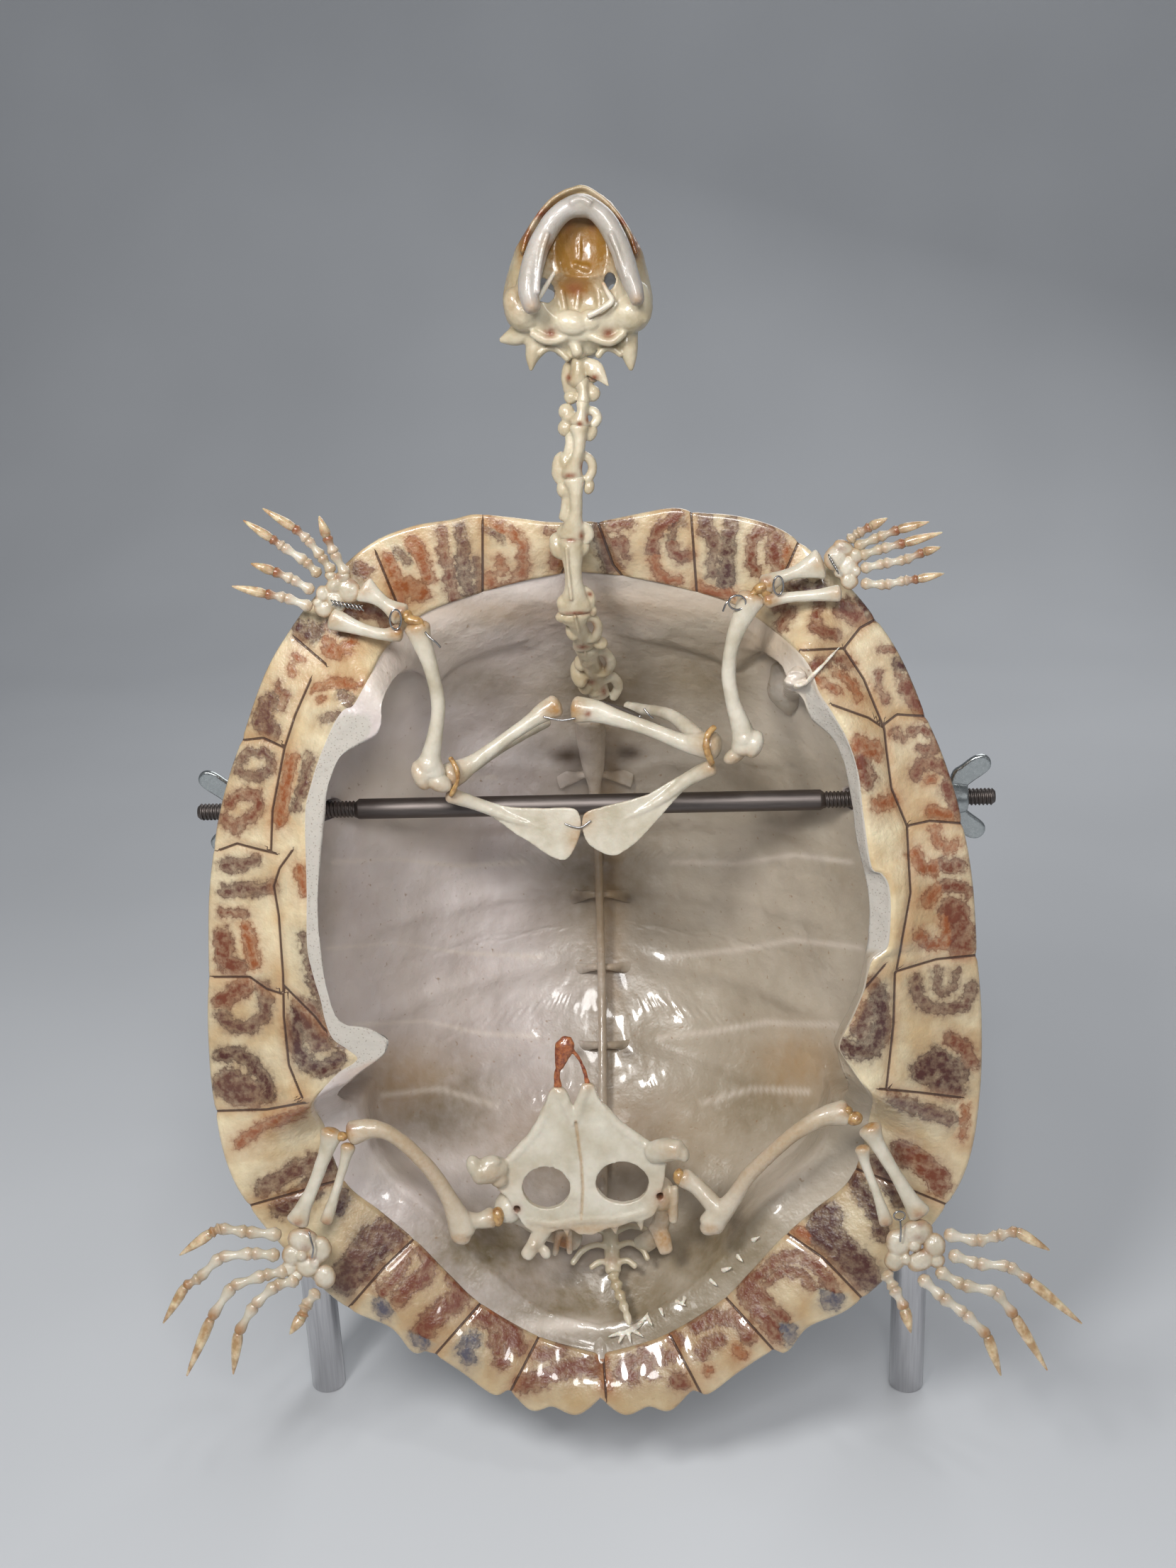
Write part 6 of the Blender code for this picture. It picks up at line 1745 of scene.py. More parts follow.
# %% [markdown]
# ## Skull
#
# We look at the skull from below: a deep glossy palate inside the rim of the upper jaw, openings on each side
# through which light falls, ridges that run back to the ear bones, and behind them the knob that carries the
# neck. The braincase is drawn out as one form, the hollows are carved, and the ridges are laid in after.

# %% Skull
SKULL = [
    (822, 272, -19, 3.0, 3.0), (822, 284, -18, 7.5, 6.0), (820, 312, -16, 12.0, 8.5),
    (818, 350, -14.5, 16.2, 10.5), (816, 392, -13.5, 18.6, 11.5), (815, 428, -13, 19.6, 11.5),
    (815, 460, -12.5, 17.6, 10.0), (815, 484, -12, 11.6, 8.0), (815, 496, -12, 6.0, 5.0),
]
braincase = fuse([
    shaft(SKULL, 48, 50, 0.4),
    shaft([(760, 430, -18, 4, 4), (740, 440, -19, 5.0, 5), (729, 428, -18, 3.8, 4.6)]),
    shaft([(870, 436, -18, 4, 4), (890, 442, -19, 5.0, 5), (903, 430, -18, 3.8, 4.8)]),
    shaft([(748, 462, -15, 3.4, 3), (726, 474, -14, 2.6, 2.4), (707, 480, -14, 0.9, 1.0)]),
    shaft([(765, 470, -15, 3.8, 3), (752, 500, -15, 2.2, 2.2), (749, 522, -15, 0.6, 0.8)]),
    shaft([(880, 468, -15, 3.8, 3), (888, 500, -15, 2.2, 2.2), (890, 522, -15, 0.6, 0.8)]),
    shaft([(814, 470, -4, 2.4, 3), (816, 505, -2, 1.6, 2.6), (817, 545, -2, 0.9, 1.6)]),
], 0.4, 2, 0.2)
carve(
    braincase,
    [
        lump(819, 342, -30, 8.6, 14, 9.5), lump(816, 416, -29, 12, 8.5, 9.4),
        lump(757, 318, -10, 5, 5.5, 5.5), lump(884, 318, -10, 5, 5.5, 5.5),
        lump(822, 262, -14, 2.2, 2.2, 2.4), lump(738, 478, -4, 8, 9, 8), lump(893, 476, -4, 8, 9, 8),
        lump(771, 419, -12, 3.4, 4.2, 16, 12), lump(863, 406, -12, 2.0, 2.8, 16),
        lump(776, 470, -24, 2.6, 2.2, 4), lump(858, 470, -24, 2.4, 2.2, 4),
    ],
)
skull = fuse(
    [
        braincase,
        ridge(
            [
                (738, 356), (744, 334), (758, 309), (776, 287), (792, 275), (810, 268), (824, 266),
                (844, 277), (865, 296), (886, 327), (897, 358),
            ],
            -21.5, 0.8, 1.9, 12, 60,
        ),
        ridge(
            [(750, 360), (772, 322), (800, 292), (820, 284), (842, 292), (868, 322), (886, 362)], -20.5, 0.9,
            1.4, 12, 50,
        ),
        ridge([(819, 300), (818, 335), (817, 372)], -20.3, 0.55, 0.9),
        ridge([(801, 330), (799, 366)], -19.8, 0.5, 0.6), ridge([(836, 330), (838, 366)], -19.8, 0.5, 0.6),
        lump(801, 382, -20.8, 1.9, 1.3, 1.4, 20), lump(826, 379, -20.8, 2.2, 1.3, 1.4, -20),
        lump(812, 374, -21, 1.2, 1.0, 1.2),
        ridge([(788, 388), (792, 408), (796, 432), (800, 452)], -20.2, 0.9, 1.2),
        ridge([(826, 384), (836, 398), (844, 412), (846, 438)], -20.2, 0.9, 1.2),
        ridge([(816, 386), (816, 420), (811, 450)], -19.0, 1.2, 1.4),
        lump(806, 455, -21.5, 4.6, 3.2, 2.2, -10), lump(832, 452, -21.0, 3.4, 2.8, 2.0, 15),
        lump(727, 428, -20.5, 3.2, 4.2, 3.4, 10), lump(907, 428, -20.5, 2.4, 5.4, 3.2, 5),
        lump(742, 404, -20.5, 2.6, 4.4, 2.6, -12), lump(892, 400, -20.5, 2.4, 4.4, 2.6, 12),
        ridge([(761, 500), (769, 493), (779, 491), (790, 496), (801, 507)], -16, 0.9, 1.3),
        ridge([(844, 502), (849, 495), (856, 491), (866, 493), (876, 500)], -16, 0.9, 1.3),
        ridge([(752, 470), (770, 480), (790, 478), (806, 470)], -20, 1.2, 1.2),
        ridge([(880, 470), (862, 482), (842, 478), (826, 470)], -20, 1.2, 1.2),
        lump(815, 498, -15.5, 2.2, 1.8, 2.2), ridge([(806, 472), (812, 488), (815, 498)], -18, 1.6, 1.8),
    ],
    0.36, 2, 0.25,
)
stain(
    skull,
    [
        (817, 345, 54, 56, 1.0), (792, 300, 40, 30, 0.6), (848, 300, 40, 30, 0.5), (740, 340, 12, 40, 0.8),
        (727, 424, 18, 26, 0.35), (897, 340, 12, 30, 0.8), (811, 400, 30, 24, 0.9), (752, 500, 14, 20, 0.12),
        (770, 370, 14, 20, 0.4),
    ],
    [
        (776, 470, 9, 8, 0.9), (858, 470, 9, 8, 0.9), (811, 407, 13, 10, 0.7), (763, 302, 22, 8, 0.9),
        (880, 312, 16, 10, 0.9), (744, 334, 8, 18, 0.7), (895, 344, 7, 20, 0.7), (801, 318, 6, 12, 0.4),
        (836, 318, 6, 12, 0.4),
    ],
)
piece(skull, "skull_bones", SKULL_BONE, "skull_bone", "skull")
print("skull: %d vertices" % len(skull.data.vertices))

# %% [markdown]
# ## Lower jaw and tongue rods
#
# The lower jaw is a white V with a sharp inner edge. Two thin rods of the tongue bone lie between its arms.

# %% Lower jaw and tongue rods
JAW = [
    (751, 434, -28, 2.2, 2.4), (746, 412, -27.5, 2.7, 3.2), (749, 384, -26.8, 2.9, 3.4),
    (760, 348, -26, 2.8, 3.3), (780, 313, -26.2, 2.7, 3.1), (800, 295, -26.6, 2.6, 3.0),
    (819, 290, -27, 2.9, 3.2), (838, 296, -26.6, 2.6, 3.0), (856, 314, -26.2, 2.7, 3.1),
    (875, 350, -26, 2.7, 3.3), (886, 384, -26.8, 2.6, 3.3), (895, 408, -27.5, 2.2, 2.8),
    (899, 424, -28, 1.8, 2.2),
]
jaw = fuse(
    [
        shaft(JAW, 28, 110),
        ridge([(772, 330, -29), (764, 356, -29.2), (759, 388, -29.4), (758, 412, -29.6)], 0, 0.8, 0.8),
        ridge([(862, 330, -29), (874, 360, -29.2), (884, 392, -29.4)], 0, 0.8, 0.8),
        ridge([(806, 286, -29.6), (819, 281, -29.8), (832, 287, -29.6)], 0, 1.0, 0.8),
    ],
    0.32, 2, 0.2,
)
carve(
    jaw,
    [shaft([(782, 340, -29.6, 0.7, 1.4), (776, 352, -29.8, 0.8, 1.5), (770, 362, -29.6, 0.6, 1.3)], 12, 20)],
)
stain(
    jaw, [(751, 434, 12, 12, 0.6), (899, 424, 10, 12, 0.6), (770, 345, 10, 16, 0.5)], [(776, 350, 5, 8, 0.6)],
)
piece(jaw, "lower_jaw", SHADED_JAW_BONE, "bone", "mandible")
for side, stations in (
    ("left", [
        (790, 371, -23, 0.45, 0.45), (776, 394, -24.5, 0.6, 0.6), (764, 414, -25.5, 0.65, 0.65),
        (754, 430, -26, 0.5, 0.5),
    ]),
    ("right", [
        (851, 400, -23.5, 0.5, 0.5), (857, 412, -24, 0.6, 0.6), (863, 424, -24.6, 0.8, 0.7),
        (852, 434, -24.6, 0.8, 0.7), (840, 441, -24.2, 0.75, 0.7), (831, 445, -24, 0.85, 0.8),
    ]),
):
    rod = shaft(stations, 14, 34)
    face_out(rod)
    stain(rod, [(stations[0][0], stations[0][1], 10, 8, 0.6)])
    piece(rod, "tongue_rod_" + side, LIMB_BONE, "bone")
print("jaw and tongue rods made")

# %% [markdown]
# ## Neck
#
# Eight vertebrae hang from the skull and bend back into the shell. Each has a waisted body with a thin keel
# down the front, and joint lumps at both ends that grip those of the next one. No two are alike, so each is
# written as its own list of bars (a list of stations) and lumps (one row of numbers).

# %% Neck vertebrae
NECK = {
    "atlas": [
        [
            (816, 503, -13.5, 2.0, 2.4), (816, 514, -14, 2.4, 2.6), (816, 527, -14, 2.6, 2.8),
            (815, 538, -13.8, 2.4, 2.6),
        ],
        [
            (826, 510, -14.6, 1.2, 1.1), (838, 520, -15.4, 2.4, 1.1), (849, 532, -15.6, 1.5, 0.8),
            (858, 544, -15.6, 0.3, 0.3),
        ],
        (805, 537, -12.2, 2.5, 5.2, 2.2, 6), (812, 524, -13, 2.0, 2.4, 2.0), (830, 522, -13, 2.0, 2.2, 1.8),
        (836, 532, -12.6, 2.2, 1.6, 1.6, 20),
    ],
    "axis": [
        [(820, 540, -13.8, 2.0, 2.4), (823, 552, -14.4, 1.7, 2.0), (823, 566, -14.6, 1.5, 1.9)],
        (836, 555, -13.2, 2.1, 2.2, 1.6, -20), (828, 548, -13, 2.2, 2.0, 1.8),
        (806, 560, -12.4, 2.0, 2.0, 1.8),
    ],
    "cervical_3": [
        [(822, 570, -14.4, 1.5, 2.0), (821, 582, -14.6, 1.8, 2.2), (818, 596, -14.6, 2.3, 2.3)],
        [
            (827, 579, -13.4, 1.1, 1.1), (838, 581, -13, 1.3, 1.3), (843, 591, -12.9, 1.3, 1.4),
            (836, 600, -13, 1.3, 1.2),
        ],
        (799, 581, -12.6, 2.2, 2.3, 1.8, 10), (806, 590, -12.8, 2.4, 1.8, 2.0),
        (798, 604, -12.4, 2.2, 2.3, 1.8), (817, 596, -15.4, 1.6, 1.7, 1.3),
    ],
    "cervical_4": [
        [
            (817, 604, -14.4, 2.2, 2.3), (818, 616, -14.4, 1.9, 2.0), (817, 633, -14.2, 1.85, 1.9),
            (814, 648, -13.6, 2.0, 2.1), (809, 662, -12.8, 2.6, 2.3), (807, 671, -12.4, 2.4, 2.2),
        ],
        [(805, 612, -12.2, 1.6, 1.6), (804, 630, -12, 1.4, 1.6), (801, 648, -11.4, 1.8, 1.8)],
        [
            (820, 640, -12.8, 1.2, 1.1), (832, 648, -12.3, 1.3, 1.2), (836, 662, -11.9, 1.3, 1.3),
            (829, 677, -11.8, 1.3, 1.2),
        ],
        (834, 611, -12.9, 1.6, 2.3, 1.5, -25), (826, 607, -13.4, 1.8, 1.5, 1.6),
        (790, 660, -10.8, 2.3, 4.4, 2.0, -6), (798, 652, -11.4, 2.0, 2.8, 2.0),
        (795, 676, -10.8, 2.2, 2.6, 1.8), (831, 687, -11.4, 1.5, 2.1, 1.4, -15),
    ],
    "cervical_5": [
        [
            (810, 679, -12.3, 2.4, 2.4), (812, 691, -12.3, 2.1, 2.1), (813, 709, -11.8, 2.05, 2.0),
            (812, 728, -11, 2.2, 2.0), (809, 744, -10, 3.0, 2.3), (807, 757, -9.4, 2.9, 2.2),
        ],
        [(800, 686, -10.6, 1.6, 1.6), (799, 708, -10.2, 1.3, 1.5), (797, 730, -9.4, 1.8, 1.6)],
        [
            (818, 741, -9.8, 1.1, 1.1), (828, 745, -9.4, 1.3, 1.3), (831, 756, -8.9, 1.4, 1.3),
            (824, 764, -8.6, 1.3, 1.2),
        ],
        (796, 690, -11, 2.1, 2.6, 1.8, 15), (788, 768, -7.6, 2.5, 3.4, 1.8, 14),
        (797, 752, -8.4, 2.3, 2.6, 2.0),
    ],
    "cervical_6": [
        [
            (806, 764, -9.2, 2.8, 2.4), (807, 778, -8.8, 3.0, 2.3), (808, 795, -8, 2.9, 2.3),
            (809, 811, -7.2, 2.9, 2.3), (810, 830, -6, 3.2, 2.4), (810, 847, -4.8, 4.0, 2.5),
            (811, 860, -4, 3.9, 2.3),
        ],
        [(799, 773, -11.4, 0.5, 0.6), (802, 810, -9.9, 0.5, 0.6), (806, 846, -7.8, 0.5, 0.6)],
        [(824, 830, -4.8, 0.9, 1.0), (833, 838, -4, 1.1, 1.1), (837, 847, -3.4, 0.7, 0.8)],
        (788, 773, -8, 2.4, 3.2, 1.6, 20), (822, 772, -8, 2.0, 2.4, 1.6, -20),
        (797, 851, -4.6, 2.4, 2.6, 2.0), (820, 852, -4.6, 2.6, 2.6, 2.0), (833, 846, -3.4, 1.5, 2.6, 1.6),
        (836, 862, -2.8, 1.3, 1.5, 1.3),
    ],
    "cervical_7": [
        [
            (812, 868, -3.2, 3.6, 2.3), (815, 880, -0.6, 3.0, 2.2), (820, 895, 4.6, 3.0, 2.3),
            (826, 908, 9, 3.2, 2.4),
        ],
        [(811, 869, -6.2, 0.5, 0.6), (816, 889, -2.2, 0.55, 0.7), (823, 908, 5, 0.5, 0.6)],
        [
            (828, 870, -1.8, 1.3, 1.2), (838, 873, -1, 1.3, 1.2), (844, 885, 1, 1.3, 1.2),
            (840, 898, 4, 1.4, 1.3), (831, 902, 5, 1.3, 1.2),
        ],
        (795, 870, -2.4, 2.4, 1.8, 1.8, 8), (803, 874, -2, 2.2, 1.8, 1.8),
        (846, 907, 6.8, 2.4, 1.9, 1.7, -20), (809, 888, 2.4, 2.2, 3.2, 1.8),
    ],
    "cervical_8": [
        [
            (828, 914, 11.5, 3.0, 2.4), (832, 930, 17, 3.0, 2.4), (839, 947, 24, 3.6, 2.6),
            (842, 961, 29, 3.2, 2.4), (845, 979, 33.5, 2.6, 2.2),
        ],
        [(825, 917, 8.4, 0.5, 0.6), (829, 938, 16, 0.5, 0.6), (832, 953, 22, 0.5, 0.6)],
        [
            (842, 917, 13, 1.4, 1.3), (854, 921, 14.5, 1.5, 1.3), (862, 934, 18, 1.5, 1.4),
            (857, 946, 22, 1.5, 1.4), (847, 949, 23, 1.4, 1.3),
        ],
        [
            (850, 960, 28, 1.4, 1.2), (864, 955, 28, 1.6, 1.2), (872, 968, 31, 1.6, 1.2),
            (865, 984, 35, 1.3, 1.2),
        ],
        (845, 947, 22.5, 3.0, 1.9, 1.8, -10), (817, 950, 24, 2.6, 4.4, 2.2, 10),
        (826, 966, 29, 2.4, 3.0, 2.0), (838, 972, 31, 2.2, 2.6, 1.8), (820, 935, 20, 2.2, 2.6, 1.8),
    ],
}
# Brown hollows beside the bodies (u, v, half-width, half-height), in pixels
NECK_HOLLOWS = [
    (829, 591, 4, 7), (822, 660, 4, 9), (820, 756, 4, 7), (836, 884, 4, 7), (851, 933, 5, 8),
    (818, 598, 5, 4), (804, 671, 9, 4), (802, 533, 4, 6), (838, 533, 7, 5), (806, 762, 9, 3),
    (815, 865, 22, 3), (832, 838, 4, 4), (822, 913, 10, 4), (852, 975, 5, 7), (834, 962, 6, 4),
]


def form(entry):
    """A lump from one row of numbers, or a bar from a list of stations."""
    return lump(*entry) if np.isscalar(entry[0]) else shaft(entry, 16, 26)


def waisted(stations):
    """The same bar with flared ends and a narrow middle, as the body of a vertebra has."""
    last = len(stations) - 1
    flare = [1.22 - 0.4 * math.sin(math.pi * i / last) for i in range(last + 1)]
    return [(u, v, back, wide * f, deep) for (u, v, back, wide, deep), f in zip(stations, flare)]


for node, entries in NECK.items():
    bone = fuse([form(waisted(entries[0]))] + [form(entry) for entry in entries[1:]], 0.3, 7, 0.3)
    # Tan all over
    lumps = [(e[0], e[1], 5.5 * e[3], 5.5 * e[4], 0.4) for e in entries if np.isscalar(e[0])]
    stain(bone, lumps, [hollow + (0.9,) for hollow in NECK_HOLLOWS])
    piece(bone, "neck_" + node, HEAD_BONE, "skull_bone", node)
print("neck made")

# %% [markdown]
# ## Backbone and tail root
#
# Inside the dome the back vertebrae are grown together into a thin rod that stands clear of the shell on rib
# heads. Two vertebrae hold the pelvis, and a short row of small ones is the tail.

# %% Backbone, hip vertebrae and tail
SPINE = [
    (68, 4.4, 2.8, 9.5), (62, 4.6, 3.0, 8.0), (52, 3.4, 2.7, 7.5), (44, 1.9, 2.1, 7.5), (24, 1.4, 1.9, 7.5),
    (1, 1.4, 1.9, 7.5), (-24, 1.4, 1.9, 7.0), (-48, 1.5, 1.9, 6.5), (-68, 1.8, 1.8, 5.0),
    (-84, 2.0, 1.6, 4.0),
]
RIB_REACH = 9.5


def bowl_depth(up):
    """Depth of the bowl on the midline."""
    return float(bowl(abs(up) / smooth_radius(math.copysign(math.pi / 2, up))))


def spine_form(points, sizes, rings):
    return draw_out(np.array([list(in_shell(*p)) for p in points]), np.array(sizes) * MM, 16, rings)


forms = [spine_form([(0, up, bowl_depth(up) - off) for up, _, _, off in SPINE], [s[1:3] for s in SPINE], 120)]
for up in RIB_HEADS:
    deep = bowl_depth(up)
    forms.append(
        spine_form(
            [
                (-RIB_REACH - 2, up - 2.4, deep + 0.7), (-6.5, up - 1.6, deep - 1.2),
                (-2.5, up - 0.4, deep - 4.6), (2.5, up - 0.4, deep - 4.6), (6.5, up - 1.6, deep - 1.2),
                (RIB_REACH + 2, up - 2.4, deep + 0.7),
            ],
            [(3.4, 0.9), (1.9, 1.0), (1.2, 1.4), (1.2, 1.4), (1.9, 1.0), (3.4, 0.9)], 40,
        )
    )
for up in (56, 20, -28, -76):
    deep = bowl_depth(up)
    forms.append(spine_form([(0, up, deep - 6), (0, up, deep + 0.6)], [(1.1, 3.0), (1.6, 3.0)], 20))
backbone = fuse(forms, 0.36, 2, 0.3)
paint_shell(backbone)      # the same stains, painted shade and painted highlights as the bone it grows from
piece(backbone, "backbone", SHELL_BONE, "bone")

SACRUM = [(860, 1737, 21, 2.6, 2.2), (863, 1762, 19.5, 2.4, 2.2), (865, 1792, 15.5, 2.4, 2.0)]
TAIL = [
    (866, 1800, 13.8, 2.0, 1.8), (868, 1806, 13, 1.2, 1.3), (870, 1813, 11.8, 1.9, 1.7),
    (872, 1820, 10.6, 1.1, 1.2), (875, 1828, 9.2, 1.8, 1.6), (878, 1835, 8, 1.0, 1.1),
    (880, 1843, 6.5, 1.5, 1.4), (883, 1850, 5.2, 0.9, 0.9), (885, 1858, 4, 1.2, 1.1),
    (887, 1868, 2.8, 0.6, 0.7),
]
SACRAL_RIBS = [
    [(862, 1742, 20.5), (838, 1734, 20), (815, 1738, 18.5), (800, 1752, 16)],
    [(862, 1742, 20.5), (886, 1730, 20), (908, 1734, 18.5), (922, 1748, 16)],
    [(864, 1762, 19), (842, 1756, 18.5), (822, 1764, 17), (808, 1782, 15)],
    [(864, 1762, 19), (886, 1753, 18.5), (904, 1760, 17), (914, 1776, 15)],
    [(866, 1784, 16.5), (848, 1780, 16), (834, 1788, 15)],
    [(866, 1784, 16.5), (884, 1778, 16), (896, 1786, 15)],
]
ribs = [ridge(line, 0, 0.95, 0.9, 12, 30) for line in SACRAL_RIBS]
sacrum = fuse([shaft(SACRUM)] + ribs, 0.34, 2, 0.4)
stain(sacrum, [(863, 1760, 30, 30, 0.3)], [(863, 1778, 10, 8, 0.4)])
piece(sacrum, "hip_vertebrae", HEAD_BONE, "skull_bone", "sacrum")
tail = fuse([shaft(TAIL, 18, 60)], 0.3, 1, 0.5)
stain(tail, [(870, 1820, 16, 40, 0.25)])
piece(tail, "tail_bones", HEAD_BONE, "skull_bone", "tail")
print("backbone and tail made")

# %% [markdown]
# ## Dried tissue on the shell
#
# Where the right bridge was sawn off, a rounded lump of bone stands in from the lip, and a white strand of
# tissue runs from it over the plates. More torn white tissue hangs along the rear lip. We shoot a ray from
# the camera at the shell for each point of a strand, so that it lies on the surface wherever that is.

# %% Lump of bone, strands and torn tissue
def on_shell(u, v, lift=0.0):
    """The place on the shell that is seen at pixel (u, v), moved towards the camera by lift millimetres."""
    toward = (seen(u, v, 0) - PHOTO_EYE).normalized()
    places = []
    for name in ("shell_bone", "rim_plates"):
        hit, place, _, _ = bpy.data.objects[name].ray_cast(PHOTO_EYE, toward)
        if hit:
            places.append(place)
    nearest = min(places, key=lambda p: (p - PHOTO_EYE).length)
    return nearest - toward * lift * MM


def strand(points, sizes, rings=40):
    """A strand through pixels (u, v, lift) with a half-width and half-depth in millimetres at each."""
    return draw_out(np.array([list(on_shell(*p)) for p in points]), np.array(sizes) * MM, 12, rings)


bpy.context.view_layer.update()
buttress = fuse(
    [
        strand(
            [(1098, 940, 0.4), (1104, 956, 1.4), (1108, 974, 1.8), (1112, 992, 1.4), (1114, 1003, 0.4)],
            [(2.4, 1.6), (4.4, 2.2), (5.2, 2.4), (3.6, 2.2), (1.4, 1.2)],
        ),
        strand([(1124, 946, 0.2), (1122, 962, 1.0), (1118, 978, 1.0)], [(2.2, 1.4), (3.2, 1.8), (2.6, 1.8)]),
    ],
    0.4, 3, 0.4,
)
# The shell's stains, painted shade and painted highlights, then the lump's own pale colour
paint_shell(buttress)
set_paint(buttress, "pale", spots(pixels(coords(buttress)), [(1118, 962, 30, 26, 0.8)]))
piece(buttress, "bridge_lump", SHELL_BONE, "bone")

TORN_ENDS = [      # place and reach in pixels: a star below the tail, then short rags along the right lip
    (876, 1880, -18, 6), (880, 1880, -8, 16), (886, 1878, 4, 18), (892, 1876, 16, 10), (890, 1872, 16, -6),
    (912, 1856, 8, 14), (932, 1846, 4, 12), (954, 1836, 14, 6), (966, 1830, -4, 12), (1002, 1806, 10, 8),
    (1020, 1792, 12, -4), (1040, 1772, 8, 8), (1062, 1750, 10, -6),
]
strands = [
    strand(
        [
            (1113, 978, 2.6), (1124, 968, 2.2), (1138, 962, 1.2), (1150, 949, 0.4), (1162, 937, 0.4),
            (1174, 924, 0.3), (1184, 913, 0.1),
        ],
        [(1.2, 0.7), (1.2, 0.7), (1.0, 0.6), (0.8, 0.5), (0.6, 0.4), (0.45, 0.3), (0.25, 0.2)], 60,
    ),
    strand(
        [(868, 1884, 0.2), (888, 1877, 0.8), (904, 1866, 0.6), (914, 1852, 0.2)],
        [(0.5, 0.3), (0.9, 0.5), (0.8, 0.5), (0.3, 0.3)],
    ),
]
for u, v, reach_u, reach_v in TORN_ENDS:
    points = [
        (u + share * reach_u, v + share * reach_v, lift)
        for share, lift in ((0, 0.2), (0.6, 1.2), (1, 1.6))
    ]
    strands.append(strand(points, [(0.8, 0.5), (0.5, 0.4), (0.15, 0.15)]))
white = fuse(strands, 0.28, 1, 0.5)
piece(white, "white_tissue", WHITE_GRISTLE, "dried_tissue")
print("tissue made")

# %% [markdown]
# ## The steel rod
#
# The rod is smooth in the middle and threaded at both ends. The thread is a real helix: the radius of each
# vertex follows a saw wave that winds on by one pitch a turn.

# %% Rod with threads
ROD_HEIGHT, ROD_HALF_LENGTH, ROD_RADIUS, THREAD_RADIUS = 204.0, 115.7, 3.0, 2.5      # millimetres
SMOOTH_LEFT, SMOOTH_RIGHT, THREAD_PITCH, THREAD_DEPTH = -68.5, 66.6, 1.1, 0.42
ROD_SIDES = 36


def rod_places():
    """Millimetres along the rod: rows are dense on the threads and few on the smooth middle."""
    left = np.arange(-ROD_HALF_LENGTH + 0.9, SMOOTH_LEFT - 0.8, THREAD_PITCH / 8)
    right = np.arange(SMOOTH_RIGHT + 0.8, ROD_HALF_LENGTH - 0.9, THREAD_PITCH / 8)
    middle = [SMOOTH_LEFT - 0.7, SMOOTH_LEFT - 0.5, SMOOTH_LEFT + 0.5, SMOOTH_LEFT + 0.7]
    middle += list(np.linspace(SMOOTH_LEFT + 2, SMOOTH_RIGHT - 2, 12))
    middle += [SMOOTH_RIGHT - 0.7, SMOOTH_RIGHT - 0.5, SMOOTH_RIGHT + 0.5, SMOOTH_RIGHT + 0.7]
    ends = [-ROD_HALF_LENGTH, -ROD_HALF_LENGTH + 0.01, -ROD_HALF_LENGTH + 0.7]
    return np.array(ends + list(left) + middle + list(right) + [-e for e in ends[::-1]])


along = rod_places()
rod, column, row = net_sphere(ROD_SIDES, len(along) - 1)
x, turn = along[row], 2 * np.pi * column / ROD_SIDES
smooth_part = ease(SMOOTH_LEFT - 0.6, SMOOTH_LEFT + 0.6, x) * ease(SMOOTH_RIGHT + 0.6, SMOOTH_RIGHT - 0.6, x)
wave = np.abs(((x / THREAD_PITCH - column / ROD_SIDES) % 1.0) * 2 - 1)
thread = THREAD_RADIUS - THREAD_DEPTH * ease(0.1, 0.9, wave)
radius = thread * (1 - smooth_part) + ROD_RADIUS * smooth_part
radius = np.where((row <= 1) | (row >= len(along) - 2), THREAD_RADIUS - 0.8, radius)
radius = np.where((row == 0) | (row == len(along) - 1), 0.0, radius)
set_coords(rod, np.stack([x, radius * np.cos(turn), ROD_HEIGHT + radius * np.sin(turn)], axis=1) * MM)
face_out(rod)
bpy.ops.object.shade_smooth_by_angle(angle=math.radians(35))
piece(rod, "threaded_rod", ROD_STEEL, "rod_steel", "cross_rod")
print("rod: %d threads" % ((2 * ROD_HALF_LENGTH - SMOOTH_RIGHT + SMOOTH_LEFT) / THREAD_PITCH))

# %% [markdown]
# ## Holes in the shell
#
# The rod goes through both walls of the shell. Each hole is a little wider than the rod.

# %% Rod holes
def cylinder(radius, start, end, sides=48):
    """A plain cylinder between two points, all in millimetres."""
    deselect()
    a, b = Vector(start) * MM, Vector(end) * MM
    bpy.ops.mesh.primitive_cylinder_add(vertices=sides, radius=radius * MM, depth=(b - a).length)
    obj = bpy.context.object
    turned = np.array((b - a).to_track_quat("Z", "Y").to_matrix())
    set_coords(obj, coords(obj) @ turned.T + np.array((a + b) / 2))
    return obj


for target in (shell, plates, back):
    for side in (-1, 1):
        drill = cylinder(THREAD_RADIUS + 0.8, (side * 58, 0, ROD_HEIGHT), (side * 114, 0, ROD_HEIGHT), 32)
        modify(target, "BOOLEAN", operation="DIFFERENCE", solver="MANIFOLD", object=drill)
        bpy.data.objects.remove(drill)
print("holes drilled; shell bone now has %d vertices" % len(shell.data.vertices))

# %% [markdown]
# ## Posts and wing nuts
#
# Each post is a polished tube with a small chamfer at its top. A wing nut is a turned hub with two stamped
# ears: the ear's outline is extruded, its edges bevelled, and hub and ears are joined.

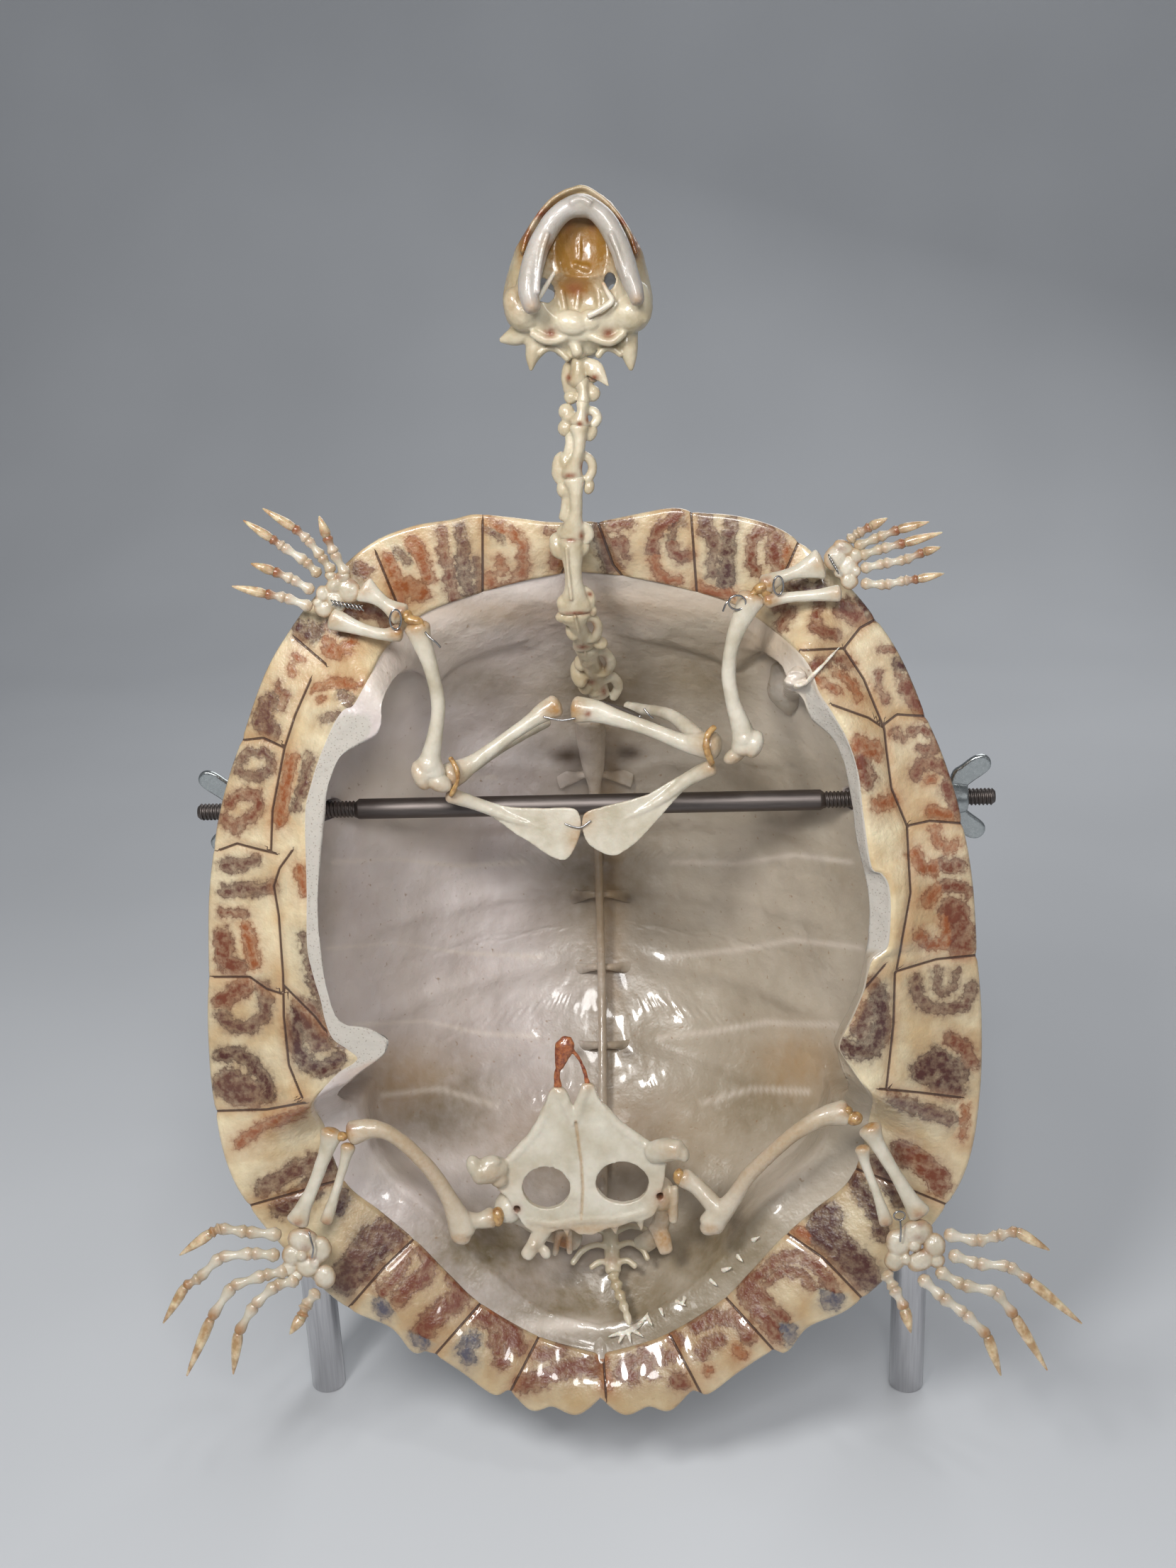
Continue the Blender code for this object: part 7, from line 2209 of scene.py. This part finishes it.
# %% Posts
POST_SPACING, POST_RADIUS, POST_HEIGHT = 191.0, 5.5, 212.5
for side, name in ((-1, "left"), (1, "right")):
    x = side * POST_SPACING / 2
    post = cylinder(POST_RADIUS, (x, 0, 0), (x, 0, POST_HEIGHT), 96)
    modify(post, "BEVEL", width=0.5 * MM, segments=3, limit_method="ANGLE", angle_limit=math.radians(60))
    bore = cylinder(THREAD_RADIUS + 0.3, (x - 8, 0, ROD_HEIGHT), (x + 8, 0, ROD_HEIGHT))
    carve(post, [bore])
    face_out(post)
    bpy.ops.object.shade_smooth_by_angle(angle=math.radians(30))
    piece(post, "polished_post_" + name, POST_STEEL, "post_steel", "post_" + name)
print("posts made")

# %% Wing nuts
EAR_THICKNESS, NUT_TURN = 1.8, math.radians(12)
NUT_SEAT = POST_SPACING / 2 + POST_RADIUS + 0.3      # where a nut begins, just off the post
HUB_PROFILE = [      # along the rod from the seat, and radius
    (0.0, 0.0), (0.0, 4.6), (0.35, 5.1), (1.2, 5.2), (4.6, 4.7), (5.9, 4.4), (6.35, 4.1), (6.5, 3.7),
    (6.5, 3.2), (6.5, 0.0),
]
HUB_SIDES = 48
EAR = [
    (1.2, 3.0), (4.8, 3.0), (8.0, 5.6), (11.6, 8.7), (12.5, 10.6), (12.1, 12.6), (10.6, 13.9), (8.6, 13.9),
    (6.6, 12.8), (4.2, 10.6), (1.8, 8.4),
]


def ear(side, up):
    """One ear of the nut: a rounded outline, made thick and bevelled."""
    obj, places = disc(EAR, 8, 44)
    turned, axis = Matrix.Rotation(NUT_TURN, 3, "X"), Vector((0, 0, ROD_HEIGHT))
    set_coords(
        obj, [list((turned @ Vector((side * (NUT_SEAT + a), 0, up * b)) + axis) * MM) for a, b in places],
    )
    modify(obj, "SOLIDIFY", thickness=EAR_THICKNESS * MM, offset=0.0)
    modify(obj, "BEVEL", width=0.55 * MM, segments=3, limit_method="ANGLE", angle_limit=math.radians(50))
    return obj


for side, name in ((-1, "left"), (1, "right")):
    hub, column, row = net_sphere(HUB_SIDES, len(HUB_PROFILE) - 1)
    reach, radius = np.array(HUB_PROFILE)[row].T
    turn = 2 * np.pi * column / HUB_SIDES
    places = [side * (NUT_SEAT + reach), radius * np.cos(turn), ROD_HEIGHT + radius * np.sin(turn)]
    set_coords(hub, np.stack(places, axis=1) * MM)
    nut = join([hub, ear(side, 1), ear(side, -1)])
    face_out(nut)
    modify(nut, "REMESH", mode="VOXEL", voxel_size=0.3 * MM)
    modify(nut, "SMOOTH", factor=0.5, iterations=4)
    bore = cylinder(
        THREAD_RADIUS + 0.15, (side * (NUT_SEAT - 2), 0, ROD_HEIGHT), (side * (NUT_SEAT + 9), 0, ROD_HEIGHT),
    )
    carve(nut, [bore])
    face_out(nut)
    bpy.ops.object.shade_smooth_by_angle(angle=math.radians(40))
    piece(nut, "wing_nut_body_" + name, ZINC, "zinc", "wing_nut_" + name)
print("wing nuts made")

# %% [markdown]
# ## Wires, glue and gristle
#
# Fine steel wire ties the wrists, elbows and ankles. It is a thin bar along given points, and a twist
# is two of them wound round one line. Amber glue has set as lumps at the joints.

# %% Binding wires
WIRE = 0.28      # half-width, millimetres
LOOP_STEPS = 18      # points in one turn of a ring of wire


def wire(points, thickness=WIRE):
    return shaft([(u, v, back, thickness, thickness) for u, v, back in points], 8, max(24, 7 * len(points)))


def twist(start, end, turns, spread=3.4):
    """Two wires wound round the line between two places (u, v, back)."""
    strands = []
    for phase in (0.0, math.pi):
        points = []
        for i in range(turns * 6 + 1):
            f = i / (turns * 6)
            angle = phase + f * turns * 2 * math.pi
            u, v, back = (a + (b - a) * f for a, b in zip(start, end))
            points.append(
                (
                    u + spread * math.cos(angle) * 0.3, v + spread * math.cos(angle),
                    back + 0.5 * math.sin(angle),
                )
            )
        strands.append(wire(points, WIRE * 0.8))
    return strands


def loop(u, v, back, wide, high, turns=1.1):
    """A ring of wire seen as an oval."""
    angles = [2 * math.pi * i / LOOP_STEPS for i in range(int(LOOP_STEPS * turns) + 1)]
    return wire(
        [
            (u + wide * math.cos(angle), v + high * math.sin(angle), back + 1.2 * math.sin(angle + 0.6))
            for angle in angles
        ]
    )


wires = join(
    [
        loop(558, 874, -12.5, 8, 14), *twist((468, 850, -13), (512, 858, -13), 4),
        wire([(600, 892, -11), (607, 900, -11.6), (615, 906, -11.4), (621, 913, -10.6)]),
        loop(1098, 826, -12.5, 7, 13), loop(1040, 850, -11.5, 12, 10),
        wire([(1030, 846, -11), (1024, 852, -11), (1020, 862, -10.5)]),
        *twist((1170, 786, -13), (1182, 806, -13), 3),
        wire([(436, 1738, -17.4), (439, 1750, -18), (442, 1762, -18), (440, 1774, -17.4)]),
        loop(1269, 1715, -17, 8, 6), wire([(1270, 1721, -17.4), (1271, 1736, -17.6), (1270, 1751, -17.2)]),
        wire([(767, 1011, 4.4), (780, 1014, 4), (794, 1016, 4), (811, 1013, 4.4)]),
        wire([(797, 1162, 3.6), (808, 1166, 3.2), (820, 1167, 3.2), (833, 1158, 3.6)]),
        wire([(909, 1000, 3.4), (915, 1008, 3), (921, 1013, 3.4)]),
        wire([(852, 990, 26), (872, 997, 22), (890, 1004, 18), (903, 1011, 14)], 0.6),
    ]
)
face_out(wires)
piece(wires, "binding_wires", WIRE_STEEL, "rod_steel")
print("wires: %d vertices" % len(wires.data.vertices))

# %% Joint glue and gristle
glue = fuse(
    [
        ridge(
            [(636, 1070, -1.6), (643, 1082, -2.8), (646, 1098, -3.0), (641, 1113, -2.4), (636, 1122, -1.4)],
            0, 0.7, 0.8, 12, 30,
        ),
        ridge(
            [(1008, 1026, -1.2), (999, 1036, -2.4), (996, 1050, -2.8), (999, 1064, -2.4), (1004, 1077, -1.2)],
            0, 1.0, 0.9, 12, 30,
        ),
        lump(584, 876, -9.6, 2.8, 1.5, 2.0, -10), lump(574, 868, -9.6, 1.6, 1.4, 1.8),
        lump(596, 884, -9.4, 1.3, 1.1, 1.5), lump(1074, 829, -9.6, 2.6, 1.5, 2.0, 20),
        lump(1082, 837, -9.2, 1.3, 1.3, 1.6), lump(1062, 838, -9.2, 1.2, 1.0, 1.4),
        lump(482, 1603, -12.4, 1.9, 1.4, 1.9), lump(1206, 1578, -12.4, 2.3, 1.8, 2.0, 20),
        lump(1196, 1566, -12.2, 1.4, 1.2, 1.6), lump(702, 1716, 0.4, 2.0, 3.0, 2.0),
        lump(958, 1660, 0.4, 1.7, 2.6, 2.0),
    ],
    0.28, 2, 0.6,
)
piece(glue, "joint_glue", AMBER_GLUE, "dried_tissue")
print("glue made")

# %% [markdown]
# ## Floor and backdrop
#
# One plane is drawn up behind the stand and rounded where it turns, so that no horizon shows.

# %% Floor
def stage_material():
    made, tree, shader = new_material("matt pale paper", {"Roughness": 0.9})
    place = add(tree, "TexCoord", {}, "Object")
    cloudy = add(tree, "TexNoise", {"Vector": place, "Scale": 1000 / 300, "Detail": 2.0, "Roughness": 0.55})
    plug(shader, {"Base Color": add(tree, "ValToRGB", {0: cloudy}, stops=[(0.3, "C9CCD0"), (0.7, "D3D6DA")])})
    return made


deselect()
bpy.ops.mesh.primitive_plane_add(size=4.0, location=(0, -0.6, 0))
floor = bpy.context.object
bpy.ops.object.mode_set(mode="EDIT")
bpy.ops.mesh.select_mode(type="EDGE")
bpy.ops.mesh.select_all(action="DESELECT")
bpy.ops.object.mode_set(mode="OBJECT")
for edge in floor.data.edges:
    edge.select = all(floor.data.vertices[i].co.y > 1.9 for i in edge.vertices)
bpy.ops.object.mode_set(mode="EDIT")
bpy.ops.mesh.extrude_region_move(TRANSFORM_OT_translate={"value": (0, 0, 2.6)})
bpy.ops.object.mode_set(mode="OBJECT")
bpy.ops.object.transform_apply(location=True, rotation=True, scale=True)
modify(floor, "BEVEL", width=0.5, segments=16, limit_method="ANGLE", angle_limit=math.radians(40))
bpy.ops.object.shade_smooth()
floor.name = "floor"
floor.data.materials.append(stage_material())
print("floor made")
